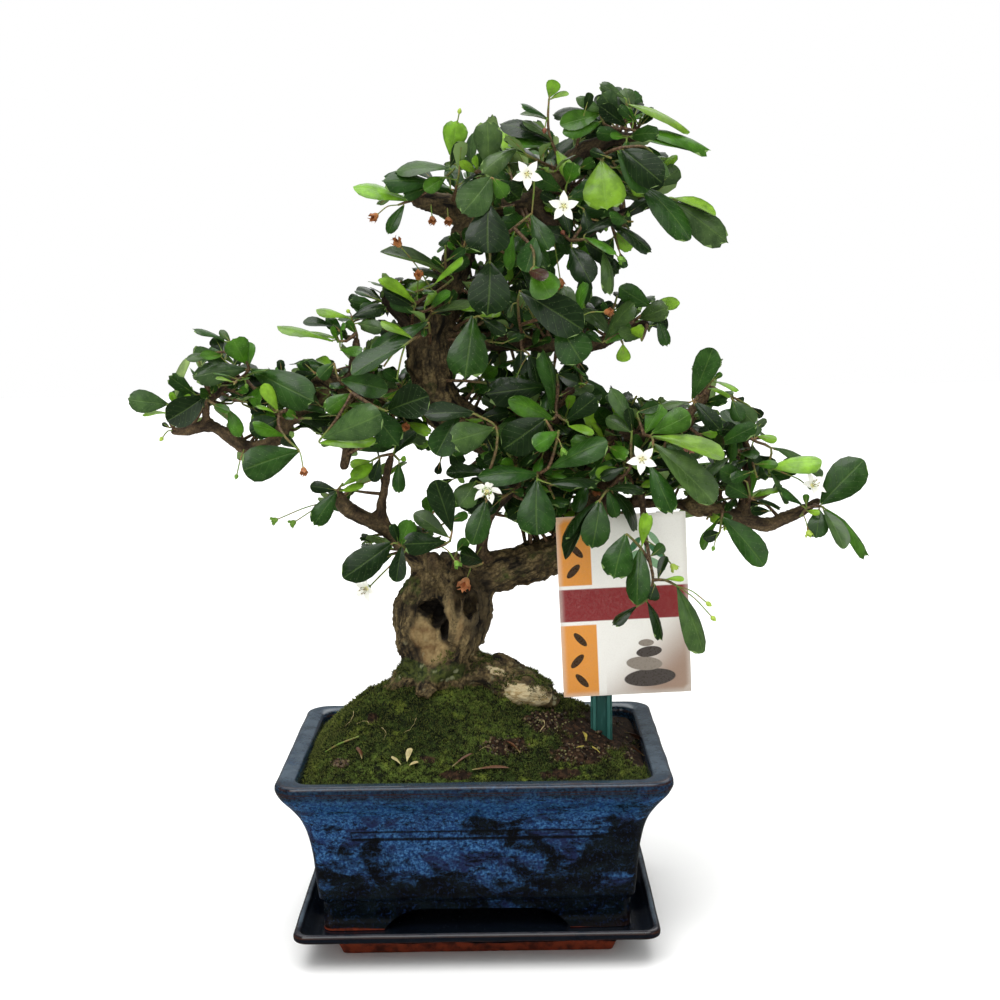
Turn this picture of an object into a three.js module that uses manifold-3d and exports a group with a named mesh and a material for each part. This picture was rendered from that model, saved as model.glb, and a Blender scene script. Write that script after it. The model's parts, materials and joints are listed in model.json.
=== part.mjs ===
// A fukien tea bonsai in its glazed pot and drip tray, with a plant label.
// Millimetres, +Z up, X to the right and Y away from the front. The origin is on the table,
// at the centre of the tray's flat foot.
import * as THREE from 'three';
import { mergeVertices } from 'three/addons/utils/BufferGeometryUtils.js';
import Module from 'manifold-3d';

const wasm = await Module();
wasm.setup();

// Driving sizes of the pot and the tray
const rimWidth = 200;
const rimDepth = 148;
const rimHeight = 97;
const rimCorner = 12;
const lipHeight = 3.6;
const wallTop = 11;
const potFloorTop = 32;
const potFloorUnder = 25;
const footBottom = 14;
const cavityInset = 24;
const drainRadius = 7;
const drainOffset = 42;
const trayWidth = 186;
const trayDepth = 147;
const trayHeight = 20;
const trayLip = 4;
const trayFloorTop = 13.7;
const trayFloorInset = 13;
const trayCorner = 7;
const plinthInset = 21;
const plinthHeight = 8;
const plinthTaper = 2;
const gap = 0.3;
const crumbVolume = 0.4;
const smallestEdge = 0.12;
const problems = [];

// Outside of the pot: how far each level is set in from the rim, how far it is below the rim
const potProfile = [
  [0, 0], [0, lipHeight], [2.3, 8.8], [7.3, 15.1], [11.1, 21.3], [13.6, 27.5],
  [15.4, 35], [17, 46], [17.6, 57], [18.5, 66.5], [20.5, 67.5],
];

// Inside of the pot: how far each level is set in from the rim, how high it is over the table
const cavityProfile = [
  [cavityInset, potFloorTop], [cavityInset - 2, potFloorTop + 8], [cavityInset - 3, rimHeight - 30],
  [wallTop + 4, rimHeight - 14], [wallTop, rimHeight - 5],
];

// Feet, arches between them, and how far a cut runs past what it cuts
const footInset = 20.5;
const footWidth = 7;
const footTaper = 1;
const archWidth = 96;
const sideArchWidth = 54;
const archShoulder = 22;
const archSegments = 4;
const archReach = 20;
const archOverrun = 5;
const cutOverrun = 5;
const drainCutDepth = 30;
const drainSides = 16;

// Shallow panel step on the front and back walls
const panelWidth = 126;
const panelTop = 69;
const panelBottom = 64.8;
const panelWallInset = 14.2;
const grooveDepth = 0.8;
const panelCutDepth = 6;

// Outside and hollow of the tray: how far each level is set in, how high it is over the table
const trayProfile = [
  [plinthInset + plinthTaper, 0], [plinthInset, plinthHeight - 2], [plinthInset - 2, plinthHeight],
  [2, trayHeight - trayLip - 1], [0, trayHeight - trayLip], [0, trayHeight - 1], [1, trayHeight],
];
const trayHollow = [
  [trayFloorInset, trayFloorTop], [trayFloorInset - 3, trayFloorTop + 0.8], [4, trayHeight - 1.2],
  [3, trayHeight], [3, trayHeight + cutOverrun],
];

// Soil and moss
const soilEdge = rimHeight - 6;
const moundHeight = 36;
const moundX = -20;
const moundY = 12;
const moundCurveX = 2.4;
const moundCurveY = 2.2;
const moundCellsX = 14;
const moundCellsY = 10;
const broadLump = 1.1;
const smallLump = 0.7;
const mossThickness = 3.5;
const meshSize = 22;
const meshThickness = 1.2;
const meshPitch = meshSize / 4;
const meshHole = 0.6 * meshPitch;

// Label
const cardWidth = 68;
const cardHeight = 97;
const cardThickness = 0.8;
const cardTilt = THREE.MathUtils.degToRad(-2);
const cardCentre = [624, 605, -12];
const stakeWidth = 11.5;
const stakeThickness = 1.4;
const stakeRib = 1;
const stakeLength = 84;
const stakePoint = 14;
const stakeTop = [601, 676];

// Wood
const trunkSides = 12;
const trunkStep = 13;
const limbSides = 6;
const limbStep = 12;

// Leaves and twigs
const leafThickness = 0.9;
const leafClearance = 0.3;
const leafLengths = [1, 0.85, 0.7];
const leafSwings = [0, 3, -3, 6, -6, 10, -10, 14, -14];
const petioleWidth = 1.1;
const slenderness = 0.44;
const leafBend = 0.09;
const widestPlace = 0.6;
const tipWidth = 0.45;
const twigStart = 1.2;
const twigEnd = 0.8;
const twigSides = 4;
const twigStep = 16;
const backTwigLength = 15;
const backTwigCount = 3;
const backTwigAhead = 0.5;
const backStalkIn = 2;
const backStalkOut = 6;
const backPetiole = 1.5;
const backLeafLean = 0.45;
const backLeafLength = 21;
const backLeafWidth = 9.5;
const backLight = new THREE.Vector3(0, 700, 900);
const petalLength = 7;
const petalThickness = 0.6;
const calyxLength = 3.4;
const calyxTop = 1.5;
const calyxFoot = 0.7;
const calyxSides = 6;
const petals = 5;
const petalOutline = [[0.3, 0], [0.66, 0.16], [1, 0.5], [0.66, 0.84]];
const pedicelRadius = 0.45;
const pedicelStep = 8;
const pedicelSides = 4;

// Where the photograph was taken from, and the pixel frame that the plant's places are read in
const view = {
  eye: new THREE.Vector3(19.43, -773.13, 342.13),
  pitch: THREE.MathUtils.degToRad(8.325),
  yaw: THREE.MathUtils.degToRad(-0.318),
  roll: THREE.MathUtils.degToRad(-0.988),
  focal: 1475,
  centre: 500,
};
view.forward = new THREE.Vector3(
  Math.sin(view.yaw) * Math.cos(view.pitch),
  Math.cos(view.yaw) * Math.cos(view.pitch),
  -Math.sin(view.pitch),
);
const level = new THREE.Vector3(Math.cos(view.yaw), -Math.sin(view.yaw), 0);
const plumb = new THREE.Vector3().crossVectors(level, view.forward);
view.right = level.clone().multiplyScalar(Math.cos(view.roll)).addScaledVector(plumb, Math.sin(view.roll));
view.up = plumb.clone().multiplyScalar(Math.cos(view.roll)).addScaledVector(level, -Math.sin(view.roll));

// The point seen at a pixel of the photograph, at a given depth Y
function fromPicture(x, y, depth) {
  const ray = view.forward.clone()
    .addScaledVector(view.right, (x - view.centre) / view.focal)
    .addScaledVector(view.up, (view.centre - y) / view.focal);
  return view.eye.clone().addScaledVector(ray, (depth - view.eye.y) / ray.y);
}

// The pixel at which a point is seen
function toPicture(point) {
  const offset = point.clone().sub(view.eye);
  const scale = view.focal / offset.dot(view.forward);
  return new THREE.Vector2(
    view.centre + scale * offset.dot(view.right),
    view.centre - scale * offset.dot(view.up),
  );
}

// Millimetres covered by one pixel at a point
function pixelSize(point) {
  return point.clone().sub(view.eye).dot(view.forward) / view.focal;
}

// Closed geometry to a solid that can be joined or cut, and back
function toSolid(geometry) {
  const bare = geometry.clone();
  for (const name of Object.keys(bare.attributes)) {
    if (name !== 'position') {
      bare.deleteAttribute(name);
    }
  }
  const merged = mergeVertices(bare, 1e-4);
  return new wasm.Manifold(new wasm.Mesh({
    numProp: 3,
    vertProperties: new Float32Array(merged.attributes.position.array),
    triVerts: new Uint32Array(merged.index.array),
  }));
}

function piecesBySize(solid) {
  return solid.decompose().sort((a, b) => b.volume() - a.volume());
}

// The one body of a part that may not fall apart; crumbs left by a cut are brushed off
function wholePiece(name, solid) {
  const pieces = piecesBySize(solid);
  if (pieces.length > 1 && pieces[1].volume() > crumbVolume) {
    const middles = pieces.slice(1).map((piece) => boxOf(piece).getCenter(new THREE.Vector3()));
    const places = middles.map((middle) => middle.round().toArray());
    problems.push(`${name} falls apart at ${places.join(' and ')}`);
  }
  return pieces[0].simplify(smallestEdge);
}

function toGeometry(solid) {
  const mesh = solid.getMesh();
  const geometry = new THREE.BufferGeometry();
  geometry.setAttribute('position', new THREE.BufferAttribute(new Float32Array(mesh.vertProperties), 3));
  geometry.setIndex(new THREE.BufferAttribute(new Uint32Array(mesh.triVerts), 1));
  return geometry;
}

// Skin over a stack of rings that all have the same number of points, closed by a fan at each end
function skin(rings) {
  const sides = rings[0].length;
  const points = rings.flat();
  const faces = [];
  for (let r = 0; r + 1 < rings.length; r++) {
    for (let s = 0; s < sides; s++) {
      const a = r * sides + s;
      const b = r * sides + (s + 1) % sides;
      faces.push(a, b, b + sides, a, b + sides, a + sides);
    }
  }
  const last = (rings.length - 1) * sides;
  for (let s = 1; s + 1 < sides; s++) {
    faces.push(0, s + 1, s);
    faces.push(last, last + s, last + s + 1);
  }
  const geometry = new THREE.BufferGeometry();
  const places = points.flatMap((point) => point.toArray());
  geometry.setAttribute('position', new THREE.Float32BufferAttribute(places, 3));
  geometry.setIndex(faces);
  return geometry;
}

// Rectangle with round corners at one height, anticlockwise from above
function roundedRing(width, depth, corner, z, steps = 3) {
  const ring = [];
  const signs = [[1, 1], [-1, 1], [-1, -1], [1, -1]];
  signs.forEach(([sx, sy], quarter) => {
    for (let i = 0; i <= steps; i++) {
      const angle = (quarter + i / steps) * Math.PI / 2;
      ring.push(new THREE.Vector3(
        sx * (width / 2 - corner) + corner * Math.cos(angle),
        sy * (depth / 2 - corner) + corner * Math.sin(angle),
        z,
      ));
    }
  });
  return ring;
}

// Stack of rounded rectangles, each set in from the first by its own distance
function steppedBox(width, depth, corner, levels) {
  return skin(levels.map(([inset, z]) => roundedRing(
    width - 2 * inset,
    depth - 2 * inset,
    Math.max(corner - inset / 3, 2),
    z,
  )));
}

// Stations along a smooth curve through points that each have a place and a radius.
// Every point is a station, and the ring frame turns as little as it can from one to the next.
function stationsAlong(points, stepLength) {
  const curve = new THREE.CatmullRomCurve3(points.map((p) => p.place));
  const stations = [{ position: 0, radius: points[0].radius }];
  for (let i = 0; i + 1 < points.length; i++) {
    const parts = Math.max(1, Math.round(points[i].place.distanceTo(points[i + 1].place) / stepLength));
    for (let k = 1; k <= parts; k++) {
      const radius = THREE.MathUtils.lerp(points[i].radius, points[i + 1].radius, k / parts);
      stations.push({ position: i + k / parts, radius });
    }
  }
  let tangent = curve.getTangent(0);
  const aside = Math.abs(tangent.z) < 0.8 ? new THREE.Vector3(0, 0, 1) : new THREE.Vector3(1, 0, 0);
  const normal = new THREE.Vector3().crossVectors(tangent, aside).normalize();
  for (const station of stations) {
    const time = station.position / (points.length - 1);
    const nextTangent = curve.getTangent(time);
    normal.applyQuaternion(new THREE.Quaternion().setFromUnitVectors(tangent, nextTangent));
    tangent = nextTangent;
    station.place = curve.getPoint(time);
    station.normal = normal.clone();
    station.binormal = new THREE.Vector3().crossVectors(tangent, normal);
  }
  return stations;
}

// Tapering stem through its stations, made thicker all round where extra is given
function stem(stations, sides, extra = 0) {
  return skin(stations.map(({ place, radius, normal, binormal }) => {
    const ring = [];
    for (let s = 0; s < sides; s++) {
      const angle = (s / sides) * 2 * Math.PI;
      ring.push(place.clone()
        .addScaledVector(normal, (radius + extra) * Math.cos(angle))
        .addScaledVector(binormal, (radius + extra) * Math.sin(angle)));
    }
    return ring;
  }));
}

// Arch between two feet, cut through under the pot from one wall to the other
function archCutter(width, reach) {
  const shape = new THREE.Shape();
  const rise = potFloorUnder - footBottom;
  shape.moveTo(-width / 2, -archOverrun);
  shape.lineTo(-width / 2, 0);
  shape.quadraticCurveTo(-width / 2 + archShoulder / 3, rise, -width / 2 + archShoulder, rise);
  shape.lineTo(width / 2 - archShoulder, rise);
  shape.quadraticCurveTo(width / 2 - archShoulder / 3, rise, width / 2, 0);
  shape.lineTo(width / 2, -archOverrun);
  const options = { depth: reach, bevelEnabled: false, curveSegments: archSegments };
  const geometry = new THREE.ExtrudeGeometry(shape, options);
  geometry.translate(0, 0, -reach / 2);
  geometry.rotateX(Math.PI / 2);
  geometry.translate(0, 0, footBottom);
  return geometry;
}

// Room inside the pot, kept a little way off the walls, from its floor up to a given height
function potInside(clearance, top) {
  const levels = cavityProfile.map(([inset, z]) => [inset + clearance, z]);
  levels[0][1] += clearance;
  levels.push([wallTop + clearance, top]);
  return toSolid(steppedBox(rimWidth, rimDepth, rimCorner, levels));
}

function makePot() {
  const outside = potProfile.map(([inset, below]) => [inset, rimHeight - below]);
  outside.push([footInset, footBottom]);
  outside.reverse();
  let pot = toSolid(steppedBox(rimWidth, rimDepth, rimCorner, outside));
  pot = pot.subtract(potInside(0, rimHeight + cutOverrun));
  const under = steppedBox(rimWidth, rimDepth, rimCorner, [
    [footInset + footWidth, footBottom - cutOverrun],
    [footInset + footWidth + footTaper, potFloorUnder],
  ]);
  pot = pot.subtract(toSolid(under));
  pot = pot.subtract(toSolid(archCutter(archWidth, rimDepth + archReach)));
  const side = archCutter(sideArchWidth, rimWidth + archReach);
  side.rotateZ(Math.PI / 2);
  pot = pot.subtract(toSolid(side));
  for (const x of [-drainOffset, drainOffset]) {
    const drain = new THREE.CylinderGeometry(drainRadius, drainRadius, drainCutDepth, drainSides);
    drain.rotateX(Math.PI / 2);
    drain.translate(x, 0, potFloorTop - cutOverrun);
    pot = pot.subtract(toSolid(drain));
  }
  return toGeometry(pot.subtract(panelGrooves()));
}

// Long shallow step that runs across the front and back walls
function panelGrooves() {
  const grooves = [-1, 1].map((side) => {
    const groove = new THREE.BoxGeometry(panelWidth, panelCutDepth, panelTop - panelBottom);
    const wall = rimDepth / 2 - panelWallInset - grooveDepth;
    groove.translate(0, side * (wall + panelCutDepth / 2), (panelTop + panelBottom) / 2);
    return toSolid(groove);
  });
  return grooves[0].add(grooves[1]);
}

// Plastic mesh squares over the drain holes
function makeDrainMesh(x) {
  const plate = new THREE.BoxGeometry(meshSize, meshSize, meshThickness);
  plate.translate(x, 0, potFloorTop + gap + meshThickness / 2);
  let mesh = toSolid(plate);
  for (let i = -1; i <= 1; i++) {
    for (let j = -1; j <= 1; j++) {
      const hole = new THREE.BoxGeometry(meshHole, meshHole, 3 * meshThickness);
      hole.translate(x + i * meshPitch, j * meshPitch, potFloorTop + gap + meshThickness / 2);
      mesh = mesh.subtract(toSolid(hole));
    }
  }
  return toGeometry(mesh);
}

// Height of the planted mound over the table
function moundTop(x, y) {
  const halfX = rimWidth / 2 - wallTop;
  const halfY = rimDepth / 2 - wallTop;
  const reachX = x < moundX ? halfX + moundX : halfX - moundX;
  const reachY = y < moundY ? halfY + moundY : halfY - moundY;
  const acrossX = Math.max(0, 1 - Math.abs((x - moundX) / reachX) ** moundCurveX);
  const acrossY = Math.max(0, 1 - Math.abs((y - moundY) / reachY) ** moundCurveY);
  const broadLumps = broadLump * Math.sin(x / 9 + 1) * Math.cos(y / 8);
  const lumps = broadLumps + smallLump * Math.sin((x + y) / 6);
  const share = acrossX * acrossY;
  return soilEdge + moundHeight * share + lumps * Math.min(1, 3 * share);
}

// Block over the whole planting area between two height functions
function moundLayer(bottom, top) {
  const cellsX = moundCellsX;
  const cellsY = moundCellsY;
  const points = [];
  const faces = [];
  const layerSize = (cellsX + 1) * (cellsY + 1);
  for (const height of [bottom, top]) {
    for (let j = 0; j <= cellsY; j++) {
      for (let i = 0; i <= cellsX; i++) {
        const x = (i / cellsX - 0.5) * rimWidth;
        const y = (j / cellsY - 0.5) * rimDepth;
        points.push(x, y, height(x, y));
      }
    }
  }
  const at = (i, j, layer) => layer * layerSize + j * (cellsX + 1) + i;
  for (let j = 0; j < cellsY; j++) {
    for (let i = 0; i < cellsX; i++) {
      faces.push(at(i, j, 1), at(i + 1, j, 1), at(i + 1, j + 1, 1));
      faces.push(at(i, j, 1), at(i + 1, j + 1, 1), at(i, j + 1, 1));
      faces.push(at(i, j, 0), at(i + 1, j + 1, 0), at(i + 1, j, 0));
      faces.push(at(i, j, 0), at(i, j + 1, 0), at(i + 1, j + 1, 0));
    }
  }
  const border = [];
  for (let i = 0; i < cellsX; i++) {
    border.push([i, 0]);
  }
  for (let j = 0; j < cellsY; j++) {
    border.push([cellsX, j]);
  }
  for (let i = cellsX; i > 0; i--) {
    border.push([i, cellsY]);
  }
  for (let j = cellsY; j > 0; j--) {
    border.push([0, j]);
  }
  border.forEach(([i, j], k) => {
    const [ni, nj] = border[(k + 1) % border.length];
    faces.push(at(i, j, 0), at(ni, nj, 0), at(ni, nj, 1));
    faces.push(at(i, j, 0), at(ni, nj, 1), at(i, j, 1));
  });
  const geometry = new THREE.BufferGeometry();
  geometry.setAttribute('position', new THREE.Float32BufferAttribute(points, 3));
  geometry.setIndex(faces);
  return toSolid(geometry);
}

// Drip tray: a shallow dish with a broad lip on a flat foot
function makeTray() {
  const outer = steppedBox(trayWidth, trayDepth, trayCorner, trayProfile);
  const hollow = steppedBox(trayWidth, trayDepth, trayCorner, trayHollow);
  return toGeometry(toSolid(outer).subtract(toSolid(hollow)));
}

// Soil fills the pot around the wood, the stake and the drain meshes; the moss is a rug over it
function makeSoil(keepClear) {
  const reach = rimHeight + 2 * moundHeight;
  const top = (x, y) => moundTop(x, y) - mossThickness - gap;
  let soil = potInside(gap, reach).intersect(moundLayer(() => 0, top));
  for (const x of [-drainOffset, drainOffset]) {
    const side = meshSize + 2 * gap;
    const room = new THREE.BoxGeometry(side, side, 2 * (meshThickness + 2 * gap));
    room.translate(x, 0, potFloorTop);
    soil = soil.subtract(toSolid(room));
  }
  return piecesBySize(soil.subtract(keepClear))[0];
}

function makeMoss(keepClear) {
  const reach = rimHeight + 2 * moundHeight;
  const bottom = (x, y) => moundTop(x, y) - mossThickness;
  const moss = potInside(gap, reach).intersect(moundLayer(bottom, moundTop));
  return piecesBySize(moss.subtract(keepClear))[0];
}

// Wood. Each limb is a list of [picture x, picture y, depth, radius]; it starts inside the limb
// that it grows from
const trunkRun = [
  [446, 712, 14, 26], [443, 684, 14, 23], [440, 655, 13, 20], [439, 625, 12, 21], [441, 600, 12, 21],
  [450, 582, 13, 16], [476, 577, 15, 12], [510, 568, 17, 11.5], [545, 558, 19, 11], [578, 542, 21, 11],
  [598, 515, 22, 11], [594, 484, 21, 11], [568, 462, 20, 11], [532, 450, 18, 11], [495, 438, 15, 11],
  [460, 422, 12, 12], [438, 400, 9, 12], [429, 372, 8, 12], [428, 345, 8, 11.5], [435, 315, 9, 10.5],
  [447, 285, 11, 9], [458, 258, 12, 8.5], [467, 230, 13, 8], [476, 205, 12, 6.5],
];
const limbs = {
  surfaceRoot: [
    [462, 668, 10, 13], [488, 672, 4, 11], [512, 682, 1, 11], [538, 689, 0, 10], [562, 698, 1, 8],
    [586, 712, 2, 5],
  ],
  leftRoot: [[420, 672, 6, 12], [398, 690, 0, 8], [384, 708, -4, 5]],
  hollowRim: [[452, 668, 0, 7], [462, 635, -6, 7], [464, 600, -5, 7], [452, 576, 2, 6]],
  trunkKnot: [[418, 640, 2, 12], [413, 610, 2, 11], [424, 582, 6, 9]],
  lumpStub: [[436, 580, 8, 8], [436, 563, 5, 5], [434, 555, 3, 3]],
  crownLeft: [[470, 222, 13, 6], [448, 206, 4, 6.5], [430, 202, -2, 6], [416, 199, -6, 4]],
  crownRight: [
    [476, 208, 12, 6], [505, 205, 8, 5.5], [530, 202, 4, 5.5], [545, 190, 2, 5.5], [560, 176, 0, 5.5],
    [575, 158, -1, 5.5], [595, 146, 0, 4.5], [618, 139, 3, 3.4], [636, 137, 4, 2.6],
  ],
  crownLowRight: [
    [532, 204, 3, 4.5], [545, 218, 0, 3.6], [560, 230, -3, 3.4], [580, 236, -5, 3],
    [605, 222, -4, 2.6], [628, 211, -3, 2.6], [650, 205, -2, 2.4],
  ],
  middleRight: [
    [438, 330, 9, 6], [470, 338, 13, 5], [500, 343, 16, 4.5], [530, 344, 16, 4.2], [562, 345, 14, 4],
    [594, 345, 10, 3.8], [620, 333, 6, 3], [646, 323, 2, 2.6],
  ],
  middleLeft: [[428, 345, 8, 5], [412, 330, 3, 4], [398, 314, -2, 3.4], [386, 300, -6, 3]],
  left: [
    [430, 398, 9, 9], [400, 396, 2, 7], [370, 393, -4, 6.5], [342, 388, -9, 6.5], [322, 382, -12, 6.5],
    [309, 371, -13, 4],
  ],
  leftFar: [
    [336, 388, -9, 5], [320, 403, -13, 5], [300, 414, -15, 4.2], [285, 421, -16, 4.2], [280, 436, -18, 4],
    [262, 447, -18, 4], [243, 446, -16, 3.8], [226, 434, -14, 3.6], [208, 426, -12, 3.4],
    [190, 430, -12, 3.2],
    [173, 431, -12, 2.4],
  ],
  leftTip: [
    [208, 428, -12, 2.6], [206, 412, -12, 2.4], [207, 400, -12, 2.2], [218, 395, -12, 2.2],
    [226, 384, -13, 2], [244, 377, -14, 1.8],
  ],
  leftRiser: [[352, 388, -7, 4], [353, 368, -12, 3], [356, 352, -14, 2.6], [357, 339, -14, 2.2]],
  leftDrop: [[378, 396, -2, 5], [362, 425, -7, 3.4], [348, 450, -11, 3.2], [344, 467, -13, 2.6]],
  lowLeft: [
    [428, 578, 10, 9], [420, 560, 7, 6.5], [404, 545, 2, 5], [386, 529, -4, 4.4], [366, 519, -8, 4.2],
    [348, 509, -10, 4.2], [339, 498, -12, 4],
  ],
  lowLeftRiser: [
    [385, 527, -4, 4], [381, 510, -6, 3.2], [384, 490, -8, 2.6], [388, 468, -8, 2.4], [391, 456, -9, 2],
  ],
  lowMiddle: [
    [480, 568, 14, 4], [483, 540, 12, 3.4], [489, 516, 8, 3.2], [505, 497, 2, 3], [522, 482, -4, 2.8],
    [537, 468, -8, 2.4],
  ],
  centreRiser: [
    [540, 455, 18, 5], [548, 440, 14, 4], [553, 424, 8, 3.2], [556, 405, 3, 2.6], [555, 387, 0, 2.2],
  ],
  right: [
    [596, 508, 22, 7], [620, 503, 17, 3.4], [650, 503, 11, 2.8], [680, 504, 5, 3], [695, 506, 2, 6],
    [712, 509, -1, 5.5], [730, 515, -2, 4], [748, 520, -2, 4.2], [767, 525, 0, 4.2], [785, 518, 0, 3.8],
    [803, 510, 0, 3.2], [818, 501, 0, 2.4],
  ],
  rightRiser: [
    [745, 520, -2, 4], [745, 500, 0, 3.4], [748, 475, 2, 2.8], [748, 452, 2, 2.6], [743, 436, 0, 2.2],
  ],
  rightHigh: [
    [592, 484, 20, 6], [602, 458, 13, 4], [613, 437, 5, 3.4], [640, 437, -1, 3], [668, 434, -5, 2.8],
    [688, 426, -8, 2.6], [692, 409, -9, 2.4], [704, 400, -9, 2.4], [709, 386, -9, 2.2],
  ],
  rightInner: [[598, 500, 22, 4.5], [610, 486, 10, 3.4], [620, 474, 2, 2.8], [629, 466, -5, 2.2]],
  labelDrop: [
    [636, 502, 13, 2.8], [638, 492, 0, 2.4], [640, 491, -14, 2.2], [643, 512, -24, 2],
    [647, 546, -31, 1.8],
  ],
  backCrown: [[468, 228, 13, 5], [486, 216, 34, 3.4], [500, 200, 54, 2.4]],
  backCrownRight: [[560, 176, 2, 4], [566, 184, 24, 3], [572, 186, 44, 2.2]],
  backMiddle: [[440, 318, 10, 6], [466, 305, 34, 4], [500, 296, 58, 2.6]],
  backLeft: [[420, 398, 8, 6], [392, 392, 32, 4], [356, 398, 56, 2.6]],
  backRight: [[598, 500, 22, 6], [626, 474, 44, 4], [660, 450, 64, 2.6]],
  backLow: [[540, 452, 18, 6], [536, 452, 44, 4], [530, 450, 68, 2.6]],
};

function makeWood(extra) {
  const read = ([x, y, depth, radius]) => ({ place: fromPicture(x, y, depth), radius });
  let wood = toSolid(stem(stationsAlong(trunkRun.map(read), trunkStep), trunkSides, extra));
  for (const limb of Object.values(limbs)) {
    const sides = limb[0][3] > limbSides ? limbSides + 2 : limbSides;
    wood = wood.add(toSolid(stem(stationsAlong(limb.map(read), limbStep), sides, extra)));
  }
  return wood;
}

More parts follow.
